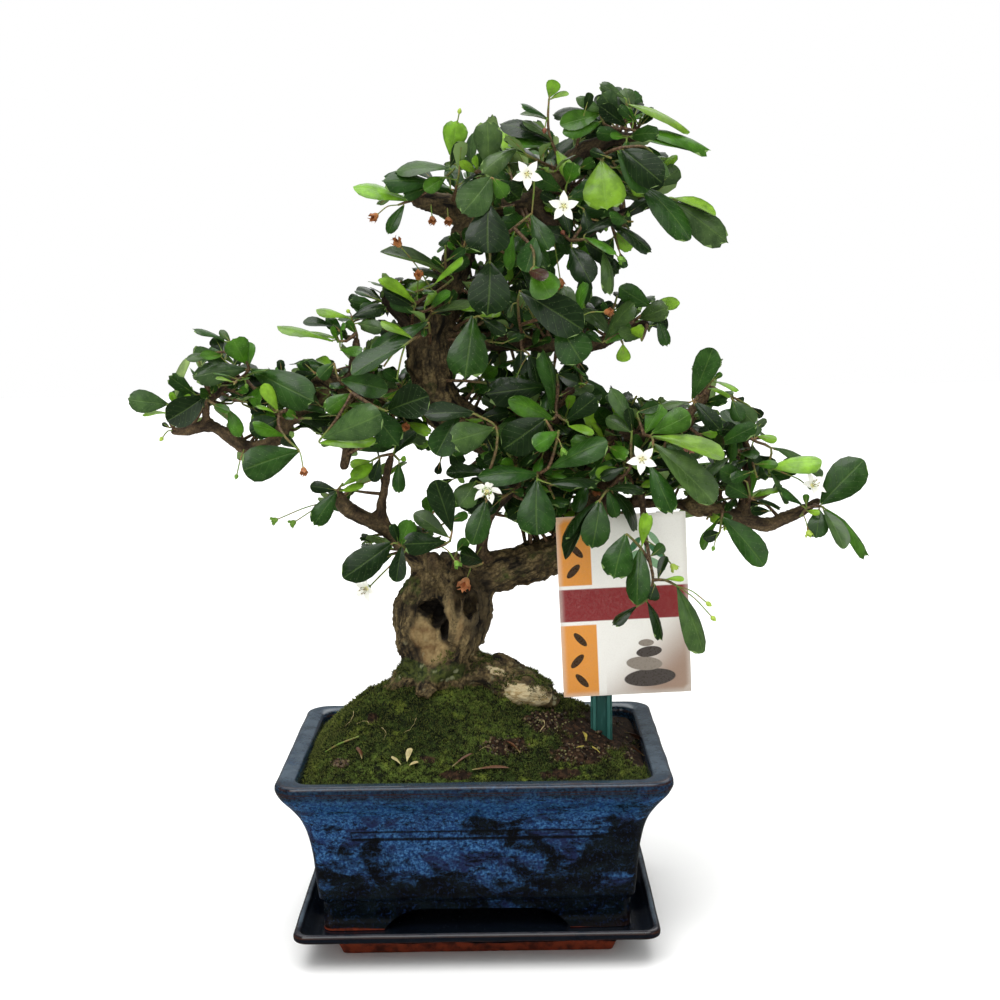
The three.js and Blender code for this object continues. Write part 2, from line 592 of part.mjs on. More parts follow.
// Leafy sprays. Twigs are paths of [picture x, picture y, depth], the later ones starting on an
// earlier one. Each leaf is [base x, base y, tip x, tip y, width, how far its tip lies behind its base]:
// the first five in picture pixels, the last in millimetres.
const sprays = {
  crown_sprout: {
    twigs: [[[566, 170, 0], [556, 152, -9], [549, 133, -12], [548, 117, -12], [549, 99, -12]]],
    leaves: [
      [549, 98, 555, 80, 15, -2], [549, 98, 526, 81, 5, 0], [550, 99, 569, 94, 6, -3],
      [547, 118, 521, 104, 6, -6],
      [548, 119, 520, 114, 5, 4], [552, 141, 522, 121, 8, -6], [556, 150, 572, 179, 16, -8],
      [556, 148, 508, 146, 11, -6], [552, 142, 500, 124, 18, 4],
    ],
  },
  crown_top_right: {
    twigs: [
      [[612, 141, 2], [622, 128, -4], [627, 108, -6], [626, 99, -6]],
      [[622, 128, -4], [636, 131, -7], [650, 139, -8]],
      [[620, 130, -4], [604, 124, -6], [600, 112, -6]],
    ],
    leaves: [
      [618, 115, 602, 93, 22, -4], [626, 126, 600, 106, 17, -7], [625, 98, 600, 84, 12, -2],
      [634, 121, 619, 106, 10, -5], [628, 104, 690, 132, 8, 6], [634, 131, 709, 150, 12, 8],
      [634, 137, 700, 147, 12, -4], [645, 139, 695, 155, 10, 2], [603, 112, 576, 98, 12, -4],
      [600, 114, 560, 125, 20, -8], [600, 122, 563, 134, 17, -12], [595, 112, 553, 115, 12, 3],
    ],
  },
  crown_shoulder: {
    twigs: [
      [[598, 148, 0], [603, 155, -14], [611, 158, -24]],
      [[603, 155, -14], [620, 148, -22], [645, 147, -23], [652, 152, -23]],
    ],
    leaves: [
      [622, 149, 662, 183, 34, -8], [618, 152, 648, 192, 25, -13], [652, 152, 669, 177, 9, -2],
      [602, 161, 607, 209, 44, -10], [608, 157, 590, 151, 10, 4],
    ],
  },
  crown_hanging: {
    twigs: [[[648, 206, -2], [655, 196, -10], [668, 199, -13]], [[655, 196, -10], [641, 185, -15]]],
    leaves: [
      [641, 185, 690, 240, 27, -8], [668, 200, 727, 242, 32, -10], [672, 198, 716, 215, 10, 6],
      [664, 199, 678, 200, 6, -5],
    ],
  },
  crown_left_tip: {
    twigs: [
      [[420, 201, -4], [410, 201, -10], [398, 205, -13]],
      [[416, 199, -7], [432, 187, -11], [447, 176, -13], [455, 168, -13]],
    ],
    leaves: [
      [408, 200, 353, 187, 15, -6], [436, 183, 383, 181, 22, -6], [450, 168, 395, 172, 14, 4],
      [446, 177, 424, 190, 16, -9], [404, 205, 388, 234, 13, -4], [427, 188, 404, 197, 14, -5],
    ],
  },
  crown_left_upper: {
    twigs: [
      [[478, 205, 9], [478, 187, -6], [476, 172, -16], [462, 167, -18], [451, 163, -18]],
      [[476, 172, -16], [490, 168, -20], [512, 152, -22]],
    ],
    leaves: [
      [450, 155, 457, 121, 26, -4], [450, 167, 463, 142, 14, -2], [488, 168, 487, 121, 30, -4],
      [517, 149, 482, 173, 20, -10], [476, 172, 459, 162, 10, -6], [478, 170, 474, 156, 7, -7],
      [472, 168, 474, 132, 13, 5],
    ],
  },
  crown_front: {
    twigs: [[[484, 203, 6], [490, 192, -24], [492, 178, -36]], [[490, 192, -24], [490, 202, -40]]],
    leaves: [
      [491, 177, 462, 213, 36, -10], [493, 178, 506, 197, 18, 4], [489, 203, 488, 253, 46, -8],
      [500, 180, 520, 199, 22, -3],
    ],
  },
  crown_lower: {
    twigs: [
      [[470, 240, 12], [488, 250, -10], [490, 261, -36]],
      [[488, 250, -10], [514, 228, -24], [532, 213, -24]],
      [[514, 228, -24], [533, 250, -36], [534, 266, -40]],
    ],
    leaves: [
      [490, 262, 487, 315, 44, -8], [514, 232, 511, 270, 12, -6], [531, 214, 549, 250, 22, -8],
      [535, 238, 525, 272, 26, -4], [534, 266, 551, 297, 34, -8],
    ],
  },
  crown_inner_right: {
    twigs: [
      [[562, 231, -4], [572, 241, -16], [584, 239, -21], [603, 250, -22]],
      [[572, 241, -16], [582, 225, -16], [584, 209, -14]],
    ],
    leaves: [
      [584, 234, 612, 219, 10, 2], [606, 222, 651, 252, 13, -6], [585, 237, 616, 254, 8, -8],
      [585, 242, 613, 260, 22, -6], [571, 247, 591, 283, 28, -10], [603, 250, 610, 295, 14, -6],
      [584, 209, 588, 230, 12, -4], [570, 236, 562, 206, 16, 4],
    ],
  },
  middle_left: {
    twigs: [
      [[412, 328, 3], [413, 314, -8], [416, 303, -12]],
      [[413, 314, -8], [428, 310, -13], [440, 302, -15]],
      [[416, 303, -12], [436, 292, -6], [453, 279, 0]],
    ],
    leaves: [
      [415, 303, 378, 280, 12, -4], [413, 306, 384, 290, 15, -2], [416, 314, 391, 298, 17, -8],
      [430, 309, 451, 292, 10, -4], [432, 312, 470, 306, 10, -10], [424, 307, 436, 291, 10, 2],
      [452, 275, 380, 252, 10, -6], [449, 284, 412, 268, 8, 0],
    ],
  },
  middle_front: {
    twigs: [[[452, 330, 11], [468, 320, -18], [478, 316, -28]]],
    leaves: [[473, 316, 465, 377, 42, -10], [482, 318, 506, 334, 14, -4], [479, 316, 501, 314, 8, -6]],
  },
  middle_big: {
    twigs: [
      [[525, 344, 16], [520, 325, -10], [518, 300, -30], [520, 291, -36]],
      [[520, 325, -10], [545, 318, -32], [560, 318, -36], [577, 319, -34]],
      [[522, 333, 1], [522, 349, -4], [529, 354, -6]],
    ],
    leaves: [
      [520, 291, 583, 330, 40, -6], [557, 319, 582, 362, 38, -9], [513, 303, 510, 318, 7, -4],
      [575, 318, 564, 286, 17, 4], [579, 319, 583, 282, 13, 8], [521, 350, 520, 375, 16, -3],
      [529, 354, 538, 386, 14, -4],
    ],
  },
  middle_right_end: {
    twigs: [
      [[622, 332, 5], [634, 321, -4], [650, 311, -8], [657, 316, -8]],
      [[634, 321, -4], [618, 333, -8], [604, 341, -8]], [[618, 333, -8], [623, 344, -8]],
    ],
    leaves: [
      [650, 306, 619, 287, 21, -2], [638, 318, 668, 307, 22, -8], [652, 305, 680, 303, 14, 2],
      [657, 317, 667, 346, 13, -4], [604, 341, 634, 303, 18, -10], [606, 343, 630, 324, 18, -14],
      [612, 336, 583, 308, 16, -6], [623, 344, 624, 362, 15, -2], [603, 343, 586, 332, 10, 4],
    ],
  },
  left_tip: {
    twigs: [[[176, 431, -12], [169, 420, -18], [168, 406, -20], [179, 402, -20]]],
    leaves: [
      [168, 404, 128, 399, 24, -4], [176, 400, 188, 357, 10, 2], [177, 404, 170, 392, 7, -3],
      [180, 401, 191, 396, 6, -3], [167, 413, 142, 415, 5, -2], [170, 428, 162, 423, 5, 2],
    ],
  },
  left_upper: {
    twigs: [
      [[240, 379, -14], [249, 369, -17], [240, 353, -20], [229, 342, -20]],
      [[240, 353, -20], [222, 352, -22], [212, 353, -22]],
    ],
    leaves: [
      [247, 369, 194, 377, 24, -8], [246, 364, 233, 339, 26, -8], [249, 366, 249, 342, 13, 3],
      [222, 351, 214, 337, 16, 3], [226, 342, 193, 329, 5, -4], [231, 343, 220, 330, 8, 2],
      [213, 351, 194, 352, 12, 4], [213, 355, 186, 359, 9, -5], [222, 356, 200, 356, 10, -8],
      [250, 369, 313, 401, 36, -14],
    ],
  },
  left_ring: {
    twigs: [[[208, 414, -12], [207, 400, -22], [219, 407, -24], [229, 410, -24]]],
    leaves: [[206, 396, 167, 421, 30, -8], [212, 404, 229, 412, 9, -5], [229, 410, 240, 437, 15, -2]],
  },
  left_inner: {
    twigs: [
      [[286, 421, -16], [279, 413, -26], [277, 410, -28]],
      [[279, 413, -26], [279, 426, -32], [286, 438, -36], [299, 450, -38]],
      [[279, 413, -26], [292, 408, -26], [300, 407, -26]],
    ],
    leaves: [
      [278, 411, 263, 384, 14, -4], [275, 413, 256, 405, 4, -2], [278, 419, 250, 432, 24, -8],
      [284, 436, 253, 425, 13, -14], [299, 451, 243, 470, 36, -10], [298, 409, 326, 413, 7, 2],
      [298, 448, 282, 438, 12, 6],
    ],
  },
  left_shoulder: {
    twigs: [
      [[356, 346, -14], [357, 335, -16], [352, 320, -16]],
      [[356, 333, -16], [346, 341, -22], [339, 341, -21], [335, 330, -19]],
    ],
    leaves: [
      [333, 341, 277, 326, 8, -4], [335, 338, 286, 330, 6, 4], [335, 327, 303, 322, 10, 0],
      [350, 318, 316, 310, 9, -4], [351, 317, 386, 307, 15, 4], [357, 323, 382, 329, 15, -6],
      [338, 343, 332, 326, 6, -3], [342, 344, 343, 322, 5, 2], [355, 333, 347, 321, 9, -4],
      [340, 350, 362, 352, 11, -8],
    ],
  },
  left_long: {
    twigs: [
      [[430, 350, 8], [430, 335, -14], [429, 323, -22]],
      [[430, 335, -14], [415, 338, -28], [405, 345, -32]],
    ],
    leaves: [
      [428, 322, 370, 353, 22, -8], [405, 345, 352, 375, 20, -12], [412, 338, 381, 321, 9, 6],
      [424, 328, 424, 337, 7, -6],
    ],
  },
  left_fan: {
    twigs: [
      [[344, 388, -9], [347, 388, -26], [352, 393, -34]],
      [[347, 388, -26], [339, 380, -28], [334, 363, -26]],
      [[352, 393, -34], [336, 420, -40], [319, 441, -42]],
      [[352, 393, -34], [372, 405, -40], [386, 411, -42]],
    ],
    leaves: [
      [341, 380, 388, 390, 25, -8], [387, 411, 429, 396, 36, -8], [350, 394, 325, 411, 18, -6],
      [323, 438, 381, 414, 35, -12], [319, 443, 376, 440, 16, -10], [334, 363, 319, 378, 15, -4],
      [333, 368, 318, 358, 10, 3], [322, 442, 345, 458, 18, 6], [364, 402, 398, 445, 30, 8],
    ],
  },
  low_left_tip: {
    twigs: [[[340, 500, -12], [338, 490, -20], [343, 483, -20]]],
    leaves: [
      [337, 492, 314, 525, 21, -6], [336, 490, 310, 486, 13, 0], [341, 491, 364, 485, 8, -6],
      [342, 486, 359, 478, 6, 2],
    ],
  },
  low_left_riser: {
    twigs: [
      [[391, 460, -9], [393, 454, -16], [399, 460, -18]],
      [[393, 454, -16], [381, 456, -18], [371, 461, -18]],
    ],
    leaves: [
      [380, 458, 373, 482, 13, -2], [372, 461, 350, 465, 10, -3], [373, 463, 352, 478, 14, -8],
      [399, 463, 399, 493, 14, -4], [394, 454, 416, 432, 12, 4], [400, 460, 406, 458, 6, -3],
    ],
  },
  low_left_front: {
    twigs: [
      [[414, 553, 5], [408, 549, -18], [396, 543, -28]],
      [[408, 549, -18], [430, 549, -28], [450, 541, -32], [452, 532, -32]],
    ],
    leaves: [
      [392, 543, 343, 578, 32, -8], [402, 545, 396, 582, 18, -5], [401, 545, 411, 520, 20, -5],
      [398, 543, 392, 524, 10, 2], [446, 542, 404, 544, 24, -10], [448, 537, 414, 513, 18, 4],
      [452, 532, 435, 480, 27, -4],
    ],
  },
  heart: {
    twigs: [
      [[505, 497, 2], [492, 487, -18], [489, 474, -28], [496, 450, -30], [496, 427, -30], [475, 414, -30]],
      [[492, 487, -18], [487, 500, -30]],
      [[492, 487, -18], [476, 481, -26]],
    ],
    leaves: [
      [459, 414, 436, 455, 30, -6], [494, 428, 452, 441, 32, -12], [474, 413, 424, 414, 20, 4],
      [489, 474, 446, 473, 15, -2], [475, 482, 459, 506, 26, -6], [486, 501, 472, 545, 25, -8],
    ],
  },
  centre_front: {
    twigs: [
      [[535, 470, -8], [538, 474, -26], [537, 479, -34]],
      [[538, 474, -26], [548, 468, -32], [557, 440, -32], [559, 430, -32]],
      [[557, 440, -32], [546, 420, -28]],
    ],
    leaves: [
      [538, 474, 478, 477, 21, -8], [537, 480, 537, 535, 40, -10], [549, 468, 607, 441, 25, -6],
      [558, 432, 534, 447, 20, -8], [545, 419, 503, 449, 38, 3], [549, 484, 598, 482, 11, 4],
    ],
  },
  centre_top: {
    twigs: [
      [[556, 402, 2], [558, 386, -9], [557, 374, -10]],
      [[558, 386, -9], [557, 415, -16], [568, 422, -20]],
      [[557, 415, -16], [553, 419, -18]],
    ],
    leaves: [
      [552, 413, 543, 350, 16, -2], [556, 405, 554, 366, 13, 5], [551, 386, 487, 394, 30, -8],
      [553, 419, 508, 400, 20, -8], [554, 412, 532, 388, 12, 3], [557, 374, 578, 383, 14, -5],
      [560, 396, 575, 388, 9, 4], [566, 420, 596, 397, 23, -6], [568, 426, 594, 434, 9, -6],
      [562, 394, 594, 386, 14, 8],
    ],
  },
  centre_right: {
    twigs: [
      [[620, 475, 2], [616, 482, -18], [604, 494, -28], [600, 500, -30]],
      [[616, 482, -18], [630, 468, -24], [631, 445, -26], [632, 430, -26]],
    ],
    leaves: [
      [600, 501, 592, 548, 30, -8], [598, 503, 565, 559, 16, 5], [596, 502, 563, 538, 9, 0],
      [606, 489, 645, 492, 10, -4], [627, 467, 600, 478, 12, -2], [607, 488, 618, 523, 14, -8],
      [612, 490, 637, 530, 14, 4], [632, 432, 628, 408, 11, -4], [631, 425, 611, 388, 17, 4],
      [631, 432, 606, 418, 15, 6],
    ],
  },
  right_front: {
    twigs: [
      [[638, 437, -1], [644, 435, -24], [653, 440, -36], [650, 462, -38]],
      [[644, 435, -24], [637, 414, -22]],
    ],
    leaves: [
      [652, 433, 690, 414, 26, -4], [645, 433, 662, 405, 24, 3], [653, 436, 724, 458, 18, -10],
      [654, 444, 714, 503, 31, -12], [650, 465, 672, 513, 24, -8], [656, 434, 720, 433, 17, 8],
      [638, 412, 658, 405, 13, -2], [660, 452, 718, 478, 13, 3],
    ],
  },
  right_top: {
    twigs: [[[708, 392, -9], [699, 397, -16], [693, 401, -18]], [[699, 397, -16], [713, 380, -18]]],
    leaves: [
      [692, 399, 713, 348, 26, -4], [713, 380, 722, 373, 6, -2], [713, 381, 739, 391, 5, -6],
      [707, 388, 731, 396, 5, 2], [695, 402, 720, 430, 18, -6], [694, 404, 713, 422, 12, 4],
      [690, 402, 660, 406, 9, 2], [710, 383, 706, 369, 8, -6],
    ],
  },
  right_riser: {
    twigs: [
      [[746, 444, 1], [744, 428, -8], [735, 402, -10], [731, 398, -10]],
      [[744, 434, -5], [757, 442, -10], [771, 448, -12], [768, 467, -12]],
    ],
    leaves: [
      [732, 400, 741, 421, 16, -4], [735, 401, 755, 424, 19, -8], [743, 432, 722, 429, 17, -6],
      [735, 432, 731, 460, 10, -4], [757, 436, 777, 440, 9, -4], [754, 440, 757, 425, 12, 3],
      [768, 467, 822, 462, 19, -8], [772, 447, 823, 471, 12, 4], [765, 463, 758, 478, 14, -4],
      [752, 444, 758, 474, 16, -3], [769, 470, 789, 503, 6, 3],
    ],
  },
  right_stem: {
    twigs: [[[746, 504, 0], [750, 498, -10], [747, 482, -14]]],
    leaves: [
      [744, 480, 720, 470, 20, -6], [749, 497, 727, 485, 21, -8], [751, 496, 751, 462, 8, -8],
      [753, 497, 779, 490, 7, -4], [753, 499, 781, 508, 4, 0],
    ],
  },
  right_tip: {
    twigs: [
      [[813, 504, 0], [819, 506, -8], [823, 507, -9]],
      [[819, 506, -8], [807, 508, -10], [800, 517, -10]],
    ],
    leaves: [
      [821, 504, 864, 460, 38, -6], [824, 507, 868, 555, 13, 4], [823, 509, 844, 549, 17, -6],
      [819, 509, 816, 538, 22, -8], [806, 505, 806, 494, 7, -2], [807, 511, 820, 513, 7, -5],
      [803, 506, 780, 489, 8, 2],
    ],
  },
  right_low: {
    twigs: [[[722, 512, -2], [722, 514, -20], [720, 531, -22]]],
    leaves: [
      [722, 517, 764, 566, 27, -10], [720, 533, 703, 538, 13, -4], [718, 520, 702, 550, 10, 2],
      [722, 528, 730, 522, 5, -4],
    ],
  },
  label_front: {
    twigs: [
      [[647, 544, -30], [650, 562, -38], [653, 580, -40], [647, 599, -41], [637, 606, -41]],
      [[650, 562, -38], [640, 547, -41], [627, 534, -43]],
      [[653, 580, -40], [665, 580, -42], [677, 586, -42]],
    ],
    leaves: [
      [626, 534, 614, 578, 33, -6], [640, 549, 637, 605, 25, -10], [642, 546, 647, 513, 14, -4],
      [651, 556, 664, 545, 12, 2], [658, 579, 666, 556, 10, 4], [655, 584, 650, 600, 17, -3],
      [677, 586, 703, 653, 23, -6], [637, 606, 613, 625, 11, -4], [647, 601, 662, 640, 11, -3],
      [666, 579, 684, 580, 6, -4],
    ],
  },
  low_middle: {
    twigs: [
      [[452, 574, 6], [455, 557, -12], [457, 552, -16]],
      [[455, 557, -12], [470, 567, -18], [483, 563, -18]],
    ],
    leaves: [[483, 562, 460, 553, 18, -3], [457, 551, 468, 539, 12, -4]],
  },
};

// Foliage of the far side, which the photograph does not show, by the limb that carries it
const backSprays = {
  back_crown: 'backCrown',
  back_crown_right: 'backCrownRight',
  back_middle: 'backMiddle',
  back_left: 'backLeft',
  back_right: 'backRight',
  back_low: 'backLow',
};

// Leaves on a back twig: how far along it, how far to the side, how much they rise
const backLeafPattern = [[0.35, -0.9, 0.15], [0.55, 0.9, 0.1], [0.8, -0.8, 0.4], [1, 0.1, 0.25]];

// Flowers: middle [picture x, picture y, depth], turn of the first petal, and the stalk behind it
const flowers = {
  flower_crown_left: { middle: [527, 174, -50], turn: 0.35, stalk: [[530, 178, -40], [534, 182, -30]] },
  flower_crown_right: { middle: [564, 206, -40], turn: 0.9, stalk: [[563, 200, -30], [560, 196, -20]] },
  flower_right: { middle: [642, 459, -56], turn: 0.2, stalk: [[644, 454, -48]] },
  flower_centre: { middle: [487, 491, -48], turn: 0.6, stalk: [[490, 488, -40]] },
  flower_right_tip: { middle: [812, 486, -8], turn: 0, stalk: [[800, 480, -6], [784, 473, -8]] },
  flower_low_left: { middle: [367, 588, -26], turn: 0.5, stalk: [[376, 580, -22], [388, 568, -18]] },
};

// A leaf: a thin keeled blade on a short stalk, wide near its end and arched along its length.
// It turns about its own length until it looks as wide as it should from the viewer's place.
function makeLeaf(start, base, tip, width, viewer, extra = 0) {
  const along = tip.clone().sub(base);
  const length = along.length();
  along.normalize();
  const toViewer = viewer.clone().sub(base);
  toViewer.addScaledVector(along, -toViewer.dot(along)).normalize();
  const upward = new THREE.Vector3().crossVectors(along, toViewer);
  if (upward.z < 0) {
    upward.negate();
  }
  const fullWidth = Math.max(width, slenderness * length);
  const turn = Math.acos(Math.min(1, width / fullWidth));
  const normal = toViewer.multiplyScalar(Math.cos(turn)).addScaledVector(upward, Math.sin(turn));
  const across = new THREE.Vector3().crossVectors(normal, along);
  const sections = [
    [start, petioleWidth, 0],
    [base.clone().addScaledVector(along, widestPlace * length), fullWidth, leafBend],
    [tip, tipWidth * fullWidth, 0],
  ];
  const rings = sections.map(([centre, sectionWidth, bend]) => {
    const middle = centre.clone().addScaledVector(normal, bend * length);
    const halfWidth = sectionWidth / 2 + extra;
    return [
      middle.clone().addScaledVector(normal, -leafThickness - extra),
      middle.clone().addScaledVector(across, halfWidth).addScaledVector(normal, extra),
      middle.clone().addScaledVector(across, -halfWidth).addScaledVector(normal, extra),
    ];
  });
  return toSolid(skin(rings));
}

// Everything already in place, with the name of what it belongs to
const obstacles = [];

function boxOf(solid) {
  const { min, max } = solid.boundingBox();
  return new THREE.Box3(new THREE.Vector3(...min), new THREE.Vector3(...max));
}

function addObstacle(owner, solid) {
  obstacles.push({ owner, solid, box: boxOf(solid) });
}

function isBlocked(solid, ignored) {
  const box = boxOf(solid);
  return obstacles.some((other) => !ignored.includes(other.owner)
    && box.intersectsBox(other.box)
    && solid.intersect(other.solid).volume() > 1e-4);
}

// A leaf that would touch something swings back or forward, then shortens, until it is clear
function fitLeaf(owner, start, base, width, viewer, tipAt) {
  for (const share of leafLengths) {
    for (const swing of leafSwings) {
      const tip = tipAt(share, swing);
      const blade = makeLeaf(base, base, tip, width, viewer, leafClearance);
      const whole = makeLeaf(start, base, tip, width, viewer, leafClearance);
      if (!isBlocked(blade, [owner]) && !isBlocked(whole, [owner, 'wood'])) {
        return makeLeaf(start, base, tip, width, viewer);
      }
    }
  }
  problems.push(`${owner} has no room for a leaf at ${base.toArray().map(Math.round)}`);
  return makeLeaf(start, base, tipAt(1, 0), width, viewer);
}

// The point on a spray's twigs that looks nearest to a pixel
function nearestTwigPoint(twigs, x, y) {
  const pixel = new THREE.Vector2(x, y);
  let best = null;
  for (const stations of twigs) {
    for (let i = 0; i + 1 < stations.length; i++) {
      const from = toPicture(stations[i].place);
      const run = toPicture(stations[i + 1].place).sub(from);
      const share = THREE.MathUtils.clamp(pixel.clone().sub(from).dot(run) / run.lengthSq(), 0, 1);
      const distance = from.addScaledVector(run, share).distanceTo(pixel);
      if (!best || distance < best.distance) {
        best = { distance, place: stations[i].place.clone().lerp(stations[i + 1].place, share) };
      }
    }
  }
  return best.place;
}

function twigStations(places) {
  return stationsAlong(places.map((place, i) => ({
    place,
    radius: THREE.MathUtils.lerp(twigStart, twigEnd, i / (places.length - 1)),
  })), twigStep);
}

function joinTwigs(twigs) {
  const solids = twigs.map((stations) => toSolid(stem(stations, twigSides)));
  return solids.reduce((all, twig) => all.add(twig));
}

function makeSprayLeaves(name, spray, twigs) {
  return spray.leaves.map(([baseX, baseY, tipX, tipY, widthPixels, tipOffset]) => {
    const start = nearestTwigPoint(twigs, baseX, baseY);
    const base = fromPicture(baseX, baseY, start.y);
    const tipAt = (share, swing) => fromPicture(
      THREE.MathUtils.lerp(baseX, tipX, share),
      THREE.MathUtils.lerp(baseY, tipY, share),
      start.y + tipOffset + swing,
    );
    return fitLeaf(name, start, base, widthPixels * pixelSize(base), view.eye, tipAt);
  });
}

// A spray of the far side: a stalk that carries on from its limb, three twigs and their leaves
function backTwigPlaces(limb, firstTurn) {
  const [before, last] = limb.slice(-2).map(([x, y, depth]) => fromPicture(x, y, depth));
  const ahead = last.clone().sub(before).normalize();
  const stalkEnd = last.clone().addScaledVector(ahead, backStalkOut);
  const stalk = [last.clone().addScaledVector(ahead, -backStalkIn), stalkEnd];
  const sideways = new THREE.Vector3(0, 0, 1).cross(ahead).normalize();
  const upward = new THREE.Vector3().crossVectors(ahead, sideways);
  const twigs = Array.from({ length: backTwigCount }, (_, k) => {
    const turn = firstTurn + (k * 2 * Math.PI) / backTwigCount;
    const direction = ahead.clone().multiplyScalar(backTwigAhead)
      .addScaledVector(sideways, Math.cos(turn))
      .addScaledVector(upward, Math.sin(turn))
      .normalize();
    return [stalkEnd.clone(), stalkEnd.clone().addScaledVector(direction, backTwigLength)];
  });
  return [stalk, ...twigs];
}

function makeBackLeaves(name, twigs) {
  const leaves = [];
  for (const twig of twigs.slice(1)) {
    const along = twig[1].clone().sub(twig[0]).normalize();
    const beside = new THREE.Vector3().crossVectors(along, new THREE.Vector3(0, 0, 1)).normalize();
    backLeafPattern.forEach(([share, side, lift]) => {
      const start = twig[0].clone().lerp(twig[1], share);
      const direction = along.clone().multiplyScalar(1 - backLeafLean * Math.abs(side))
        .addScaledVector(beside, side)
        .addScaledVector(new THREE.Vector3(0, 0, 1), lift)
        .normalize();
      const base = start.clone().addScaledVector(direction, backPetiole);
      const tipAt = (length, swing) => base.clone()
        .addScaledVector(direction, length * backLeafLength)
        .add(new THREE.Vector3(0, swing, 0));
      leaves.push(fitLeaf(name, start, base, backLeafWidth, backLight, tipAt));
    });
  }
  return leaves;
}

// A white star of five pointed petals that faces the viewer, on a green calyx and a thin stalk
function makeFlower([x, y, depth], turn, stalk) {
  const shape = new THREE.Shape();
  const outline = [];
  for (let i = 0; i < petals; i++) {
    for (const [reach, share] of petalOutline) {
      const angle = turn + ((i + share) * 2 * Math.PI) / petals;
      const radius = reach * petalLength;
      outline.push(new THREE.Vector2(radius * Math.cos(angle), radius * Math.sin(angle)));
    }
  }
  shape.setFromPoints(outline);
  const star = new THREE.ExtrudeGeometry(shape, { depth: petalThickness, bevelEnabled: false });
  const calyx = new THREE.CylinderGeometry(calyxTop, calyxFoot, calyxLength, calyxSides);
  calyx.rotateX(Math.PI / 2);
  calyx.translate(0, 0, -calyxLength / 2 + petalThickness / 2);
  const centre = fromPicture(x, y, depth);
  const facing = new THREE.Quaternion().setFromUnitVectors(
    new THREE.Vector3(0, 0, 1),
    view.eye.clone().sub(centre).normalize(),
  );
  const heads = [star, calyx].map((geometry) => {
    geometry.applyQuaternion(facing);
    geometry.translate(...centre.toArray());
    return toSolid(geometry);
  });
  const places = [centre.clone().add(new THREE.Vector3(0, calyxLength - 0.6, 0))];
  places.push(...stalk.map((point) => fromPicture(...point)));
  const line = places.map((place) => ({ place, radius: pedicelRadius }));
  const pedicel = toSolid(stem(stationsAlong(line, pedicelStep), pedicelSides));
  return heads[0].add(heads[1]).add(pedicel);
}

// The stake that holds the card: a flat strip with two ribs and a point
function makeStake() {
  const half = stakeWidth / 2;
  const outline = new THREE.Shape();
  outline.moveTo(-half, 0);
  outline.lineTo(-half, stakePoint - stakeLength);
  outline.lineTo(0, -stakeLength);
  outline.lineTo(half, stakePoint - stakeLength);
  outline.lineTo(half, 0);
  const strip = new THREE.ExtrudeGeometry(outline, { depth: stakeThickness, bevelEnabled: false });
  let stake = toSolid(strip);
  for (const side of [-1, 1]) {
    const rib = new THREE.BoxGeometry(stakeWidth / 5, stakeLength - stakePoint, 2 * stakeRib);
    rib.translate(side * stakeWidth / 3, (stakePoint - stakeLength) / 2, stakeThickness);
    stake = stake.add(toSolid(rib));
  }
  const geometry = toGeometry(stake);
  geometry.rotateX(Math.PI / 2);
  return geometry;
}

const materials = {
  glaze: new THREE.MeshStandardMaterial({ color: 0x16264f, roughness: 0.22, metalness: 0 }),
  trayGlaze: new THREE.MeshStandardMaterial({ color: 0x12182c, roughness: 0.2, metalness: 0 }),
  plastic: new THREE.MeshStandardMaterial({ color: 0x1d1d1b, roughness: 0.6, metalness: 0 }),
  soil: new THREE.MeshStandardMaterial({ color: 0x3a2a1c, roughness: 0.95, metalness: 0 }),
  moss: new THREE.MeshStandardMaterial({ color: 0x4b5f1c, roughness: 0.95, metalness: 0 }),
  bark: new THREE.MeshStandardMaterial({ color: 0x6b5a44, roughness: 0.85, metalness: 0 }),
  leaf: new THREE.MeshStandardMaterial({ color: 0x2f5424, roughness: 0.4, metalness: 0 }),
  petal: new THREE.MeshStandardMaterial({ color: 0xf7f7f2, roughness: 0.55, metalness: 0 }),
  card: new THREE.MeshStandardMaterial({ color: 0xf3efe8, roughness: 0.35, metalness: 0 }),
  stake: new THREE.MeshStandardMaterial({ color: 0x1c4a44, roughness: 0.4, metalness: 0 }),
};

function addMesh(group, name, geometry, material) {
  const mesh = new THREE.Mesh(geometry, material);
  mesh.name = name;
  group.add(mesh);
  return mesh;
}

const holder = new THREE.Group();
holder.name = 'holder';
addMesh(holder, 'drip_tray', makeTray(), materials.trayGlaze);
addMesh(holder, 'pot', makePot(), materials.glaze);
addMesh(holder, 'drain_mesh_left', makeDrainMesh(-drainOffset), materials.plastic);
addMesh(holder, 'drain_mesh_right', makeDrainMesh(drainOffset), materials.plastic);

// The card stands in front of its stake, both turned a little in the plane of the card
const label = new THREE.Group();
label.name = 'label';
const card = addMesh(
  label,
  'label_card',
  new THREE.BoxGeometry(cardWidth, cardThickness, cardHeight),
  materials.card,
);
card.position.copy(fromPicture(...cardCentre));
card.rotation.y = cardTilt;
const stakeDepth = cardCentre[2] + cardThickness / 2 + gap + stakeRib + stakeThickness;
const stake = addMesh(label, 'label_stake', makeStake(), materials.stake);
stake.position.copy(fromPicture(...stakeTop, stakeDepth));
const stakeRoom = new THREE.BoxGeometry(
  stakeWidth + 2 * gap,
  stakeThickness + stakeRib + 2 * gap,
  stakeLength + 2 * gap,
);
stakeRoom.translate(0, -(stakeThickness + stakeRib) / 2, -stakeLength / 2);
stakeRoom.translate(...stake.position.toArray());
label.updateMatrixWorld(true);

